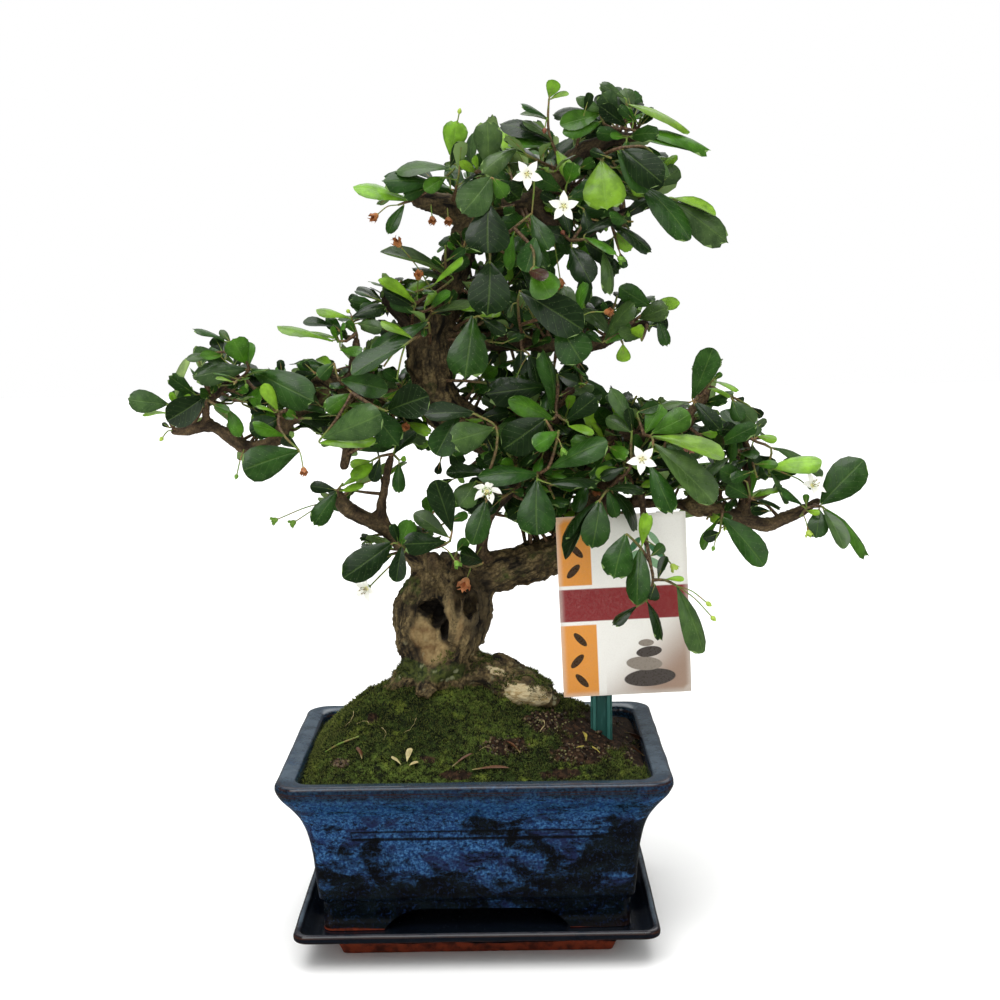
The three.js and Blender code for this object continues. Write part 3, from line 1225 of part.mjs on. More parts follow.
const wood = wholePiece('trunk_with_limbs', makeWood(0));
const woodRoom = makeWood(gap);
const keepClear = woodRoom.add(toSolid(stakeRoom));
const planting = new THREE.Group();
planting.name = 'planting';
addMesh(planting, 'soil', toGeometry(makeSoil(keepClear)), materials.soil);
addMesh(planting, 'moss', toGeometry(makeMoss(keepClear)), materials.moss);

// The tree: flowers first, then all twigs, then the leaves one spray at a time around them
const tree = new THREE.Group();
tree.name = 'tree';
addMesh(tree, 'trunk_with_limbs', toGeometry(wood), materials.bark);
addObstacle('wood', woodRoom);
for (const mesh of [card, stake]) {
  addObstacle('label', toSolid(mesh.geometry.clone().applyMatrix4(mesh.matrixWorld)));
}
for (const [name, flower] of Object.entries(flowers)) {
  const solid = makeFlower(flower.middle, flower.turn, flower.stalk);
  if (isBlocked(solid, [])) {
    problems.push(`${name} touches something`);
  }
  addMesh(tree, name, toGeometry(solid), materials.petal);
  addObstacle(name, solid);
}
const growth = [];
for (const [name, spray] of Object.entries(sprays)) {
  const twigs = spray.twigs.map((twig) => twigStations(twig.map((point) => fromPicture(...point))));
  growth.push({ name, twigs: joinTwigs(twigs), leaves: () => makeSprayLeaves(name, spray, twigs) });
}
Object.entries(backSprays).forEach(([name, limb], i) => {
  const places = backTwigPlaces(limbs[limb], i);
  const twigs = joinTwigs(places.map(twigStations));
  growth.push({ name, twigs, leaves: () => makeBackLeaves(name, places) });
});
for (const { name, twigs } of growth) {
  if (isBlocked(twigs, [name, 'wood'])) {
    problems.push(`${name} has a twig in the way`);
  }
  addObstacle(name, twigs);
}
for (const { name, twigs, leaves } of growth) {
  let spray = twigs;
  for (const leaf of leaves()) {
    addObstacle(name, leaf);
    spray = spray.add(leaf);
  }
  const foliage = wholePiece(name, spray.subtract(woodRoom));
  addMesh(tree, `spray_${name}`, toGeometry(foliage), materials.leaf);
}
if (problems.length) {
  throw new Error(problems.join('; '));
}

const bonsai = new THREE.Group();
bonsai.name = 'bonsai';
bonsai.add(holder, planting, tree, label);

export default bonsai;
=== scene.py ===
import json
import math
import random

import bmesh
import bpy
import numpy as np
from mathutils import Euler, Matrix, Vector, noise
from mathutils.bvhtree import BVHTree
from mathutils.kdtree import KDTree

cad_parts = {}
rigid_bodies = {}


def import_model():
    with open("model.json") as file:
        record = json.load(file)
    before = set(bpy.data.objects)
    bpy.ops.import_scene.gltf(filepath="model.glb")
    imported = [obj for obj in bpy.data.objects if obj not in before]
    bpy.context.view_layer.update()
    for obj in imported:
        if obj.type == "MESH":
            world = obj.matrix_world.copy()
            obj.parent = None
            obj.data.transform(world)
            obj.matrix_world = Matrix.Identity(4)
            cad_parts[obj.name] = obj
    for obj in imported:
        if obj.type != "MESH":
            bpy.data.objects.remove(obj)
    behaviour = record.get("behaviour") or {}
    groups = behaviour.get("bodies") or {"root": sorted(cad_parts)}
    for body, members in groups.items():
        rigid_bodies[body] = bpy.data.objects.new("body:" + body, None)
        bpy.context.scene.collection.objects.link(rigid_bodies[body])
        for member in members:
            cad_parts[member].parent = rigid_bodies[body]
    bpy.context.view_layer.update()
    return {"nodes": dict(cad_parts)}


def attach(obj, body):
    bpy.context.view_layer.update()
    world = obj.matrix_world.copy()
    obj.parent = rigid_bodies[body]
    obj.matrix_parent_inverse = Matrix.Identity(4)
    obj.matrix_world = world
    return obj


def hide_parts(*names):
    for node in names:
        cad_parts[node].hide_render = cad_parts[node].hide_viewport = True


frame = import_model()
scene = bpy.context.scene
mm = 0.001
print("frame loaded,", len(frame["nodes"]), "nodes")

# Camera: where the photograph was taken from
cameraSet = {
    "eye": (19.43, -773.13, 342.13),
    "pitchDown": 8.325,
    "yaw": -0.318,
    "roll": -0.988,
    "focalPixels": 1475,
    "pictureSize": 1000,
    "sensor": 36,
}


def cameraAxes():
    pitch, yaw, roll = (math.radians(cameraSet[k]) for k in ("pitchDown", "yaw", "roll"))
    ahead = Vector((math.sin(yaw) * math.cos(pitch), math.cos(yaw) * math.cos(pitch), -math.sin(pitch)))
    level = Vector((math.cos(yaw), -math.sin(yaw), 0))
    plumb = level.cross(ahead)
    right = level * math.cos(roll) + plumb * math.sin(roll)
    above = plumb * math.cos(roll) - level * math.sin(roll)
    return right, above, ahead


cameraRight, cameraUp, cameraAhead = cameraAxes()
eye = Vector(cameraSet["eye"]) * mm


def placeCamera():
    data = bpy.data.cameras.new("pictureCamera")
    data.sensor_width = cameraSet["sensor"]
    data.lens = cameraSet["focalPixels"] * cameraSet["sensor"] / cameraSet["pictureSize"]
    data.clip_start, data.clip_end = 0.05, 20
    camera = bpy.data.objects.new("pictureCamera", data)
    scene.collection.objects.link(camera)
    turn = Matrix((cameraRight, cameraUp, -cameraAhead)).transposed()
    camera.matrix_world = Matrix.Translation(eye) @ turn.to_4x4()
    scene.camera = camera


placeCamera()


# The point seen at a pixel of the picture, at a depth Y in millimetres
def seenAt(x, y, depth):
    middle = cameraSet["pictureSize"] / 2
    ray = cameraAhead + cameraRight * ((x - middle) / cameraSet["focalPixels"])
    ray += cameraUp * ((middle - y) / cameraSet["focalPixels"])
    return eye + ray * ((depth * mm - eye.y) / ray.y)


# The pixel at which a point is seen
def pixelOf(point):
    offset = point - eye
    scale = cameraSet["focalPixels"] / offset.dot(cameraAhead)
    middle = cameraSet["pictureSize"] / 2
    return Vector((middle + scale * offset.dot(cameraRight), middle - scale * offset.dot(cameraUp)))


def pixelSize(point):
    return (point - eye).dot(cameraAhead) / cameraSet["focalPixels"]


# Paint from a screen colour, such as "6f6657"
def paint(code):
    parts = [int(code[i:i + 2], 16) / 255 for i in (0, 2, 4)]
    return tuple([c / 12.92 if c <= 0.04045 else ((c + 0.055) / 1.055) ** 2.4 for c in parts] + [1.0])


# Nodes. A socket takes a link, a value or a screen colour, and each helper finds its tree from its sockets
def fill(entry, value):
    if isinstance(value, bpy.types.NodeSocket):
        entry.id_data.links.new(value, entry)
    else:
        entry.default_value = paint(value) if entry.type == "RGBA" and isinstance(value, str) else value


def addNode(tree, kind, sockets=None, **options):
    node = tree.nodes.new(kind)
    for key, value in options.items():
        setattr(node, key, value)
    for key, value in (sockets or {}).items():
        fill(node.inputs[key], value)
    return node


def nodeOn(kind, sockets, **options):
    tree = next(value.id_data for value in sockets.values() if isinstance(value, bpy.types.NodeSocket))
    return addNode(tree, kind, sockets, **options)


def calc(operation, *values):
    return nodeOn("ShaderNodeMath", dict(enumerate(values)), operation=operation).outputs[0]


def plus(first, second):
    return calc("ADD", first, second)


def minus(first, second):
    return calc("SUBTRACT", first, second)


def times(first, *others):
    for other in others:
        first = calc("MULTIPLY", first, other)
    return first


def mixPaint(share, first, second, blend="MIX"):
    sockets = {0: share, 6: first, 7: second}
    return nodeOn("ShaderNodeMix", sockets, data_type="RGBA", blend_type=blend).outputs[2]


def fade(value, low, high, outLow=0.0, outHigh=1.0):
    sockets = {"Value": value, "From Min": low, "From Max": high, "To Min": outLow, "To Max": outHigh}
    return nodeOn("ShaderNodeMapRange", sockets, interpolation_type="SMOOTHSTEP").outputs[0]


def grain(place, size, detail=4.0, roughness=0.55, distortion=0.0):
    sockets = {"Vector": place, "Scale": 1 / (size * mm), "Detail": detail, "Roughness": roughness,
               "Distortion": distortion}
    return nodeOn("ShaderNodeTexNoise", sockets).outputs["Fac"]


def cells(place, size, randomness=1.0, output="Distance", feature="F1"):
    sockets = {"Vector": place, "Scale": 1 / (size * mm), "Randomness": randomness}
    return nodeOn("ShaderNodeTexVoronoi", sockets, feature=feature).outputs[output]


def stretched(place, factors):
    return nodeOn("ShaderNodeVectorMath", {0: place, 1: factors}, operation="MULTIPLY").outputs[0]


def axisOf(vector, axis):
    return nodeOn("ShaderNodeSeparateXYZ", {0: vector}).outputs[axis]


def bumpOf(height, distance, strength=1.0):
    return nodeOn("ShaderNodeBump", {"Height": height, "Distance": distance * mm, "Strength": strength}).outputs[0]


# A value made ragged by a pattern that swings round one half
def ragged(value, pattern, amount):
    return plus(value, times(minus(pattern, 0.5), amount))


def objectPlace(tree):
    return addNode(tree, "ShaderNodeTexCoord").outputs["Object"]


def upwardness(tree):
    return axisOf(addNode(tree, "ShaderNodeNewGeometry").outputs["Normal"], "Z")


def storedValue(tree, name, output="Fac"):
    return addNode(tree, "ShaderNodeAttribute", attribute_name=name).outputs[output]


# A group's inputs are given by their default number, or by the word for their kind
def newGroup(name, inputs, outputs, kind="ShaderNodeTree"):
    group = bpy.data.node_groups.new(name, kind)
    words = {float: "Float", int: "Int"}
    for label, value in inputs.items():
        word = words.get(type(value), value)
        made = group.interface.new_socket(label, in_out="INPUT", socket_type="NodeSocket" + word)
        if word != value:
            made.default_value = value
    for label, word in outputs.items():
        group.interface.new_socket(label, in_out="OUTPUT", socket_type="NodeSocket" + word)
    return group, group.nodes.new("NodeGroupInput").outputs, group.nodes.new("NodeGroupOutput")


def useGroup(group, **values):
    tree = next(value.id_data for value in values.values() if isinstance(value, bpy.types.NodeSocket))
    node = tree.nodes.new("ShaderNodeGroup")
    node.node_tree = group
    for label, value in values.items():
        fill(node.inputs[label.replace("_", " ")], value)
    return node.outputs


def newMaterial(name, **plain):
    material = bpy.data.materials.new(name)
    material.use_nodes = True
    surface = material.node_tree.nodes["Principled BSDF"]
    for label, value in plain.items():
        surface.inputs[label.replace("_", " ")].default_value = value
    return material, material.node_tree, surface


def feed(node, **sockets):
    for label, socket in sockets.items():
        fill(node.inputs[label.replace("_", " ")], socket)


# Mottling group: two paints broken up by soft noise
def makeMottle():
    group, given, out = newGroup(
        "mottle", {"Place": "Vector", "Size": 1.0, "Amount": 0.5, "Softness": 0.1, "Ground": "Color",
                   "Spots": "Color"}, {"Color": "Color"})
    pattern = nodeOn("ShaderNodeTexNoise", {
        "Vector": given["Place"], "Scale": calc("DIVIDE", 1.0, given["Size"]), "Detail": 5.0,
        "Roughness": 0.62}).outputs["Fac"]
    edge = minus(0.78, times(given["Amount"], 0.56))
    mask = fade(pattern, minus(edge, given["Softness"]), plus(edge, given["Softness"]))
    feed(out, Color=mixPaint(mask, given["Ground"], given["Spots"]))
    return group


mottle = makeMottle()


def mottled(place, size, amount, softness, ground, spots):
    return useGroup(mottle, Place=place, Size=size * mm, Amount=amount, Softness=softness, Ground=ground,
                    Spots=spots)["Color"]


# Bark. barkPlace holds coordinates along and round each limb, girth the limb's radius in metres
barkSet = {
    "old": "54472f", "pale": "857654", "dark": "15110c", "young": "2c211a", "youngPale": "65543f",
    "moss": "4d5524", "mossDark": "222b12", "lichen": "a8aa86", "tan": "a08a5e", "cream": "c6b791",
    "rust": "6a4e2e", "hollow": "15100b", "shade": "3c342c", "light": "d8cdb8",
}


def makeBark():
    b = barkSet
    material, tree, surface = newMaterial("bark", Roughness=0.8, Specular_IOR_Level=0.25)
    place, world = storedValue(tree, "barkPlace", "Vector"), objectPlace(tree)
    height = axisOf(world, "Z")
    along = stretched(place, (1.0, 1.0, 0.3))
    streaks = grain(along, 5.0, 6.0, 0.65, 0.3)
    fine = grain(place, 1.1, 3.0, 0.7)
    old = mixPaint(fade(streaks, 0.47, 0.64), mottled(place, 9, 0.55, 0.12, b["old"], b["pale"]), b["dark"])
    age = fade(storedValue(tree, "girth"), 2.6 * mm, 7.0 * mm)
    wood = mixPaint(age, mottled(along, 4, 0.5, 0.15, b["young"], b["youngPale"]), old)
    wood = mixPaint(fade(height, 270 * mm, 350 * mm, 0.0, 0.45), wood, b["dark"])  # painted shade: darker in the crown, under the leaves
    wood = mixPaint(0.6, wood, mixPaint(fade(fine, 0.3, 0.7), b["shade"], b["light"]), "OVERLAY")
    # fissures darkened: partly darker bark in the cracks, partly painted shade in them
    wood = mixPaint(times(storedValue(tree, "fissure"), 0.8), wood, b["dark"])
    # weathered wood without bark: tan on the old wound, cream rings on the cut root
    bare = ragged(storedValue(tree, "bareWood"), streaks, 1.1)
    wood = mixPaint(fade(bare, 0.3, 0.95, 0.0, 0.8), wood, mottled(world, 5, 0.5, 0.2, b["tan"], b["rust"]))
    cutWood = storedValue(tree, "cutWood")
    rings = grain(stretched(world, (0.5, 1.0, 1.6)), 3.0, 4.0, 0.6, 1.2)
    creamTone = mixPaint(fade(rings, 0.42, 0.62), b["cream"], b["tan"])
    wood = mixPaint(fade(ragged(cutWood, grain(world, 5.0), 1.4), 0.4, 0.7, 0.0, 0.92), wood, creamTone)
    # painted shade: the wound's hollows and the lump's right side darken to the hollow paint
    shade = ragged(storedValue(tree, "hollowShade"), fine, 0.6)
    wood = mixPaint(fade(shade, 0.15, 0.95, 0.0, 0.94), wood, b["hollow"])
    # moss and lichen grow over the foot of the trunk and on the upper side of the surface root
    damp = fade(height, 168 * mm, 128 * mm)
    growth = times(damp, plus(0.2, times(fade(upwardness(tree), 0.15, 0.75), 0.36)))
    growth = minus(calc("MAXIMUM", growth, storedValue(tree, "mossiness")), times(cutWood, 0.7))
    reach = grain(world, 7.0, 5.0, 0.65)
    green = fade(plus(growth, minus(reach, 0.5)), 0.45, 0.7)
    coloured = mixPaint(green, wood, mottled(world, 3, 0.5, 0.15, b["moss"], b["mossDark"]))
    lichen = times(fade(cells(world, 6.0), 0.32, 0.2), damp, fade(reach, 0.45, 0.6))
    coloured = mixPaint(times(lichen, 0.6), coloured, b["lichen"])
    feed(surface, Base_Color=coloured, Roughness=plus(0.62, times(streaks, 0.35)),
         Normal=bumpOf(plus(streaks, times(fine, 0.5)), 1.0, 0.6))
    return material


# Leaves. leafPlace is (across, along), leafSide 1 on the underside, leafTint the leaf's green, with painted sheen and
# shade in some of them
leafLook = {"underside": "84a05c", "vein": "7fa048", "speck": "c8d4a8", "shade": "555a3c", "light": "c4bf92",
            "edge": "1c2f14"}


def makeLeafMaterial():
    look = leafLook
    material, tree, surface = newMaterial("leafSkin", Specular_IOR_Level=0.22, Coat_Roughness=0.12)
    place = storedValue(tree, "leafPlace", "Vector")
    along, side, world = axisOf(place, "Y"), storedValue(tree, "leafSide"), objectPlace(tree)
    fromRib = calc("ABSOLUTE", minus(axisOf(place, "X"), 0.5))
    # side veins leave the midrib and sweep towards the tip
    sweep = minus(times(along, 7.0), times(fromRib, 4.0))
    veins = fade(calc("ABSOLUTE", minus(calc("FRACT", sweep), 0.5)), 0.07, 0.0)
    rib = fade(fromRib, 0.036, 0.01)
    cloudy = grain(world, 7.0, 3.0)
    colour = mixPaint(0.5, storedValue(tree, "leafTint", "Color"),
                      mixPaint(fade(cloudy, 0.35, 0.68), look["shade"], look["light"]), "OVERLAY")
    colour = mixPaint(times(fade(fromRib, 0.34, 0.5), 0.3), colour, look["edge"])
    colour = mixPaint(times(veins, 0.07), colour, look["vein"])
    colour = mixPaint(times(rib, 0.12), colour, look["vein"])
    colour = mixPaint(times(fade(cells(world, 1.5), 0.16, 0.09), 0.12), colour, look["speck"])
    colour = mixPaint(side, colour, mixPaint(0.6, colour, look["underside"]))
    relief = plus(times(plus(veins, times(rib, 2.0)), -1.0), times(grain(world, 1.8, 2.0), 0.7))
    feed(surface, Base_Color=colour, Roughness=plus(times(side, 0.22), fade(cloudy, 0.3, 0.7, 0.27, 0.42)),
         Coat_Weight=minus(0.22, times(side, 0.22)), Normal=bumpOf(relief, 0.25, 0.35))
    return material


# Twigs and stalks: green where thin, reddish brown where thick
twigLook = {"green": "64822f", "ripe": "8a6a45", "brown": "44301f", "pale": "755c40"}


def makeTwigMaterial():
    look = twigLook
    material, tree, surface = newMaterial("twig", Specular_IOR_Level=0.35)
    world = objectPlace(tree)
    fine = grain(world, 1.2, 3.0, 0.65)
    brown = mixPaint(fade(fine, 0.42, 0.66), look["brown"], look["pale"])
    green = mixPaint(fade(grain(world, 4.0, 3.0), 0.4, 0.7), look["green"], look["ripe"])
    woody = fade(storedValue(tree, "girth"), 0.45 * mm, 0.85 * mm)
    feed(surface, Base_Color=mixPaint(woody, green, brown), Roughness=plus(0.45, times(fine, 0.3)),
         Normal=bumpOf(fine, 0.3, 0.5))
    return material


# Petals, calyxes and buds take the tint stored on each of them
petalLook = {"throat": "c9cf7e", "shade": "6c6a60", "light": "c4c4c0"}


def makePetalMaterial():
    material, tree, surface = newMaterial("petal", Roughness=0.5, Specular_IOR_Level=0.35)
    tint, world = storedValue(tree, "leafTint", "Color"), objectPlace(tree)
    throat = fade(axisOf(storedValue(tree, "leafPlace", "Vector"), "Y"), 0.35, 0.0)
    coloured = mixPaint(times(throat, 0.5), tint, mixPaint(0.5, tint, petalLook["throat"]))
    soft = mixPaint(fade(grain(world, 1.6, 3.0), 0.35, 0.65), petalLook["shade"], petalLook["light"])
    feed(surface, Base_Color=mixPaint(0.35, coloured, soft, "OVERLAY"),
         Roughness=fade(grain(world, 1.0), 0.3, 0.7, 0.42, 0.62), Normal=bumpOf(grain(world, 0.8, 2.0), 0.15, 0.3))
    return material


# Glaze: cobalt over a near-black ground, breaking to red-brown on edges; bare clay below a given height
glazeSet = {
    "cobalt": "142c54", "light": "3f74a4", "violet": "171b38", "ink": "030406", "teal": "0b1316", "brown": "2b1811",
    "clay": "7d331b", "clayDark": "43190e", "rim": "52606c", "lip": "0b1018", "dull": "1d3a4e",
}
glazeInputs = {"Blue": 0.0, "Rim Height": 0.097, "Clay Height": 0.0154, "Edge Wear": 0.8, "Dullness": 0.5,
               "Line Height": 0.069}


def lineAt(z, height):
    return fade(calc("ABSOLUTE", minus(z, height)), 1.1 * mm, 0.4 * mm, 0.0, 0.85)


def makeGlazeGroup():
    paints = glazeSet
    group, given, out = newGroup("breakingGlaze", glazeInputs,
                                 {"Color": "Color", "Roughness": "Float", "Height": "Float", "Clay": "Float"})
    world = objectPlace(group)
    x, y, z = (axisOf(world, axis) for axis in "XYZ")
    flowing = stretched(world, (0.6, 0.6, 1.0))
    broad = grain(flowing, 30.0, 2.0, 0.5, 0.5)
    middle = grain(flowing, 7.0, 6.0, 0.68, 0.3)
    speckle = grain(world, 1.5, 4.0, 0.75)
    # cobalt covers most of the wall below the lip and gives way to ink towards the foot and the ends, most at the
    # right end
    body = times(fade(z, 22 * mm, 54 * mm), fade(x, 106 * mm, 40 * mm, 0.15, 1.0),
                 fade(x, -104 * mm, -76 * mm, 0.4, 1.0))
    cover = plus(plus(times(body, 0.42), times(broad, 0.95)), times(middle, 0.8))
    cover = ragged(cover, grain(stretched(world, (0.7, 0.7, 1.1)), 15.0, 3.0, 0.55, 0.6), 1.15)
    cover = plus(cover, plus(given["Blue"], fade(z, 72 * mm, 82 * mm, 0.0, 0.22)))
    ink = mixPaint(fade(middle, 0.4, 0.62), paints["ink"], paints["teal"])
    ink = mixPaint(fade(speckle, 0.5, 0.72, 0.0, 0.5), ink, paints["cobalt"])
    cobalt = mixPaint(fade(speckle, 0.4, 0.74), paints["cobalt"], paints["light"])
    clouds = grain(flowing, 13.0, 6.0, 0.68, 0.5)
    cobalt = mixPaint(fade(clouds, 0.5, 0.62, 0.0, 0.85), cobalt, paints["violet"])
    runs = grain(stretched(world, (0.25, 0.25, 1.0)), 4.0, 5.0, 0.7, 0.3)
    cobalt = mixPaint(fade(runs, 0.54, 0.66, 0.0, 0.85), cobalt, paints["ink"])
    cobalt = mixPaint(times(fade(grain(world, 3.2, 6.0, 0.8), 0.5, 0.62), 0.8), cobalt, paints["ink"])
    colour = mixPaint(fade(cover, 1.1, 1.36), ink, cobalt)
    # the glaze thins to a dark line round the lip and dulls just below it
    below = minus(given["Rim Height"], z)
    lip = times(fade(below, 8.5 * mm, 6.0 * mm, 0.0, 0.85), fade(middle, 0.34, 0.52, 0.5, 1.0))
    colour = mixPaint(lip, colour, paints["lip"])
    dull = times(fade(below, 24 * mm, 13 * mm, 0.0, given["Dullness"]), fade(speckle, 0.4, 0.6))
    colour = mixPaint(dull, colour, paints["dull"])
    # painted shade: two dark lines in the creases of the long panel's step
    lines = calc("MAXIMUM", lineAt(z, given["Line Height"]), lineAt(z, minus(given["Line Height"], 4.2 * mm)))
    colour = mixPaint(times(lines, fade(calc("ABSOLUTE", x), 64 * mm, 62 * mm)), colour, paints["ink"])
    worn = times(fade(storedValue(group, "edgeWear"), 0.25, 0.9), given["Edge Wear"], fade(middle, 0.34, 0.5))
    colour = mixPaint(worn, colour, paints["brown"])
    # slate on top of the rim, fainter on its front strip: partly the glaze's colour, partly a painted sheen on the
    # faces that look up
    rim = times(fade(upwardness(group), 0.75, 0.97), fade(below, 3 * mm, 0.0), fade(y, -64 * mm, -52 * mm, 0.35, 1.0))
    colour = mixPaint(times(rim, fade(middle, 0.36, 0.6, 0.45, 0.9)), colour, paints["rim"])
    foot = given["Clay Height"]
    clay = fade(ragged(z, broad, 9 * mm), plus(foot, 0.6 * mm), minus(foot, 0.6 * mm))
    colour = mixPaint(clay, colour, mottled(world, 5, 0.45, 0.15, paints["clay"], paints["clayDark"]))
    feed(out, Color=colour, Roughness=plus(fade(speckle, 0.3, 0.8, 0.1, 0.3), times(clay, 0.55)),
         Height=plus(times(middle, 0.8), times(speckle, 0.2)), Clay=clay)
    return group


breakingGlaze = makeGlazeGroup()


def makeGlaze(name, **changes):
    material, tree, surface = newMaterial(name, Specular_IOR_Level=0.22, Coat_Roughness=0.05)
    node = addNode(tree, "ShaderNodeGroup", node_tree=breakingGlaze)
    feed(node, **changes)
    glaze = node.outputs
    feed(surface, Base_Color=glaze["Color"], Roughness=glaze["Roughness"],
         Coat_Weight=fade(glaze["Clay"], 0.0, 1.0, 0.3, 0.0), Normal=bumpOf(glaze["Height"], 0.5, 0.35))
    return material


# Moss and soil. tuftHeight runs from 0 at a tuft's foot to 1 at its tip, mossCover from bare soil to green
mossLook = {
    "deep": "0c1206", "green": "2b3a14", "bright": "56682a", "tip": "93994f", "lime": "7b8832", "soil": "1f160f",
    "soilPale": "443122", "bit": "7d6647",
}


def makeMossMaterial():
    look = mossLook
    material, tree, surface = newMaterial("moss", Roughness=0.9, Specular_IOR_Level=0.15)
    world, tall = objectPlace(tree), storedValue(tree, "tuftHeight")
    green = mixPaint(fade(grain(world, 26.0, 3.0), 0.38, 0.66), look["green"], look["bright"])
    blotches = grain(world, 11.0, 5.0, 0.7)
    green = mixPaint(fade(blotches, 0.54, 0.64, 0.0, 0.5), green, look["lime"])
    green = mixPaint(fade(blotches, 0.47, 0.37, 0.0, 0.7), green, look["deep"])
    green = mixPaint(fade(grain(world, 3.2, 6.0, 0.8), 0.44, 0.58), green, look["deep"])
    # painted light in each tuft: the tips lighter, partly paler young moss and partly painted highlight, the feet
    # darker as painted shade between tufts
    green = mixPaint(times(fade(tall, 0.35, 1.0), 0.55), green, look["tip"])
    green = mixPaint(fade(tall, 0.5, 0.0, 0.0, 0.6), green, look["deep"])
    cover = ragged(storedValue(tree, "mossCover"), grain(world, 4.0), 0.7)
    soil = mottled(world, 2.4, 0.4, 0.12, look["soil"], look["soilPale"])
    feed(surface, Base_Color=mixPaint(fade(cover, 0.35, 0.6), soil, green),
         Normal=bumpOf(grain(world, 1.4, 4.0, 0.7), 1.2, 0.8))
    return material


def makeSoilMaterial():
    look = mossLook
    material, tree, surface = newMaterial("soil", Roughness=0.93, Specular_IOR_Level=0.12)
    world = objectPlace(tree)
    bits = fade(cells(world, 3.0, output="Color"), 0.2, 0.9, 0.0, 0.4)
    ground = mottled(world, 2.2, 0.45, 0.1, look["soil"], look["soilPale"])
    feed(surface, Base_Color=mixPaint(bits, ground, look["bit"]), Normal=bumpOf(cells(world, 2.0), 1.5, 0.9))
    return material


# Plastic of the stake and the drain meshes: ribbed teal or black, slightly scuffed
def makePlastic(name, ground, worn, roughness):
    material, tree, surface = newMaterial(name, Specular_IOR_Level=0.45)
    scuffs = grain(stretched(objectPlace(tree), (1.0, 1.0, 0.15)), 1.6, 5.0, 0.7)
    colour = mixPaint(fade(scuffs, 0.5, 0.75, 0.0, 0.6), ground, worn)
    colour = mixPaint(fade(storedValue(tree, "edgeWear"), 0.3, 1.0, 0.0, 0.4), colour, worn)
    feed(surface, Base_Color=colour, Roughness=fade(scuffs, 0.3, 0.8, roughness, roughness + 0.2),
         Normal=bumpOf(scuffs, 0.2, 0.25))
    return material


barkMaterial = makeBark()
leafMaterial = makeLeafMaterial()
twigMaterial = makeTwigMaterial()
petalMaterial = makePetalMaterial()
potGlaze = makeGlaze("potGlaze")
trayGlaze = makeGlaze("trayGlaze", Blue=-0.2, Rim_Height=20 * mm, Clay_Height=6.5 * mm, Edge_Wear=1.0, Dullness=0.0)
mossMaterial = makeMossMaterial()
soilMaterial = makeSoilMaterial()
stakePlastic = makePlastic("stakePlastic", "17463f", "3f7a70", 0.32)
drainPlastic = makePlastic("drainPlastic", "161615", "3a3a38", 0.5)
print("materials made")


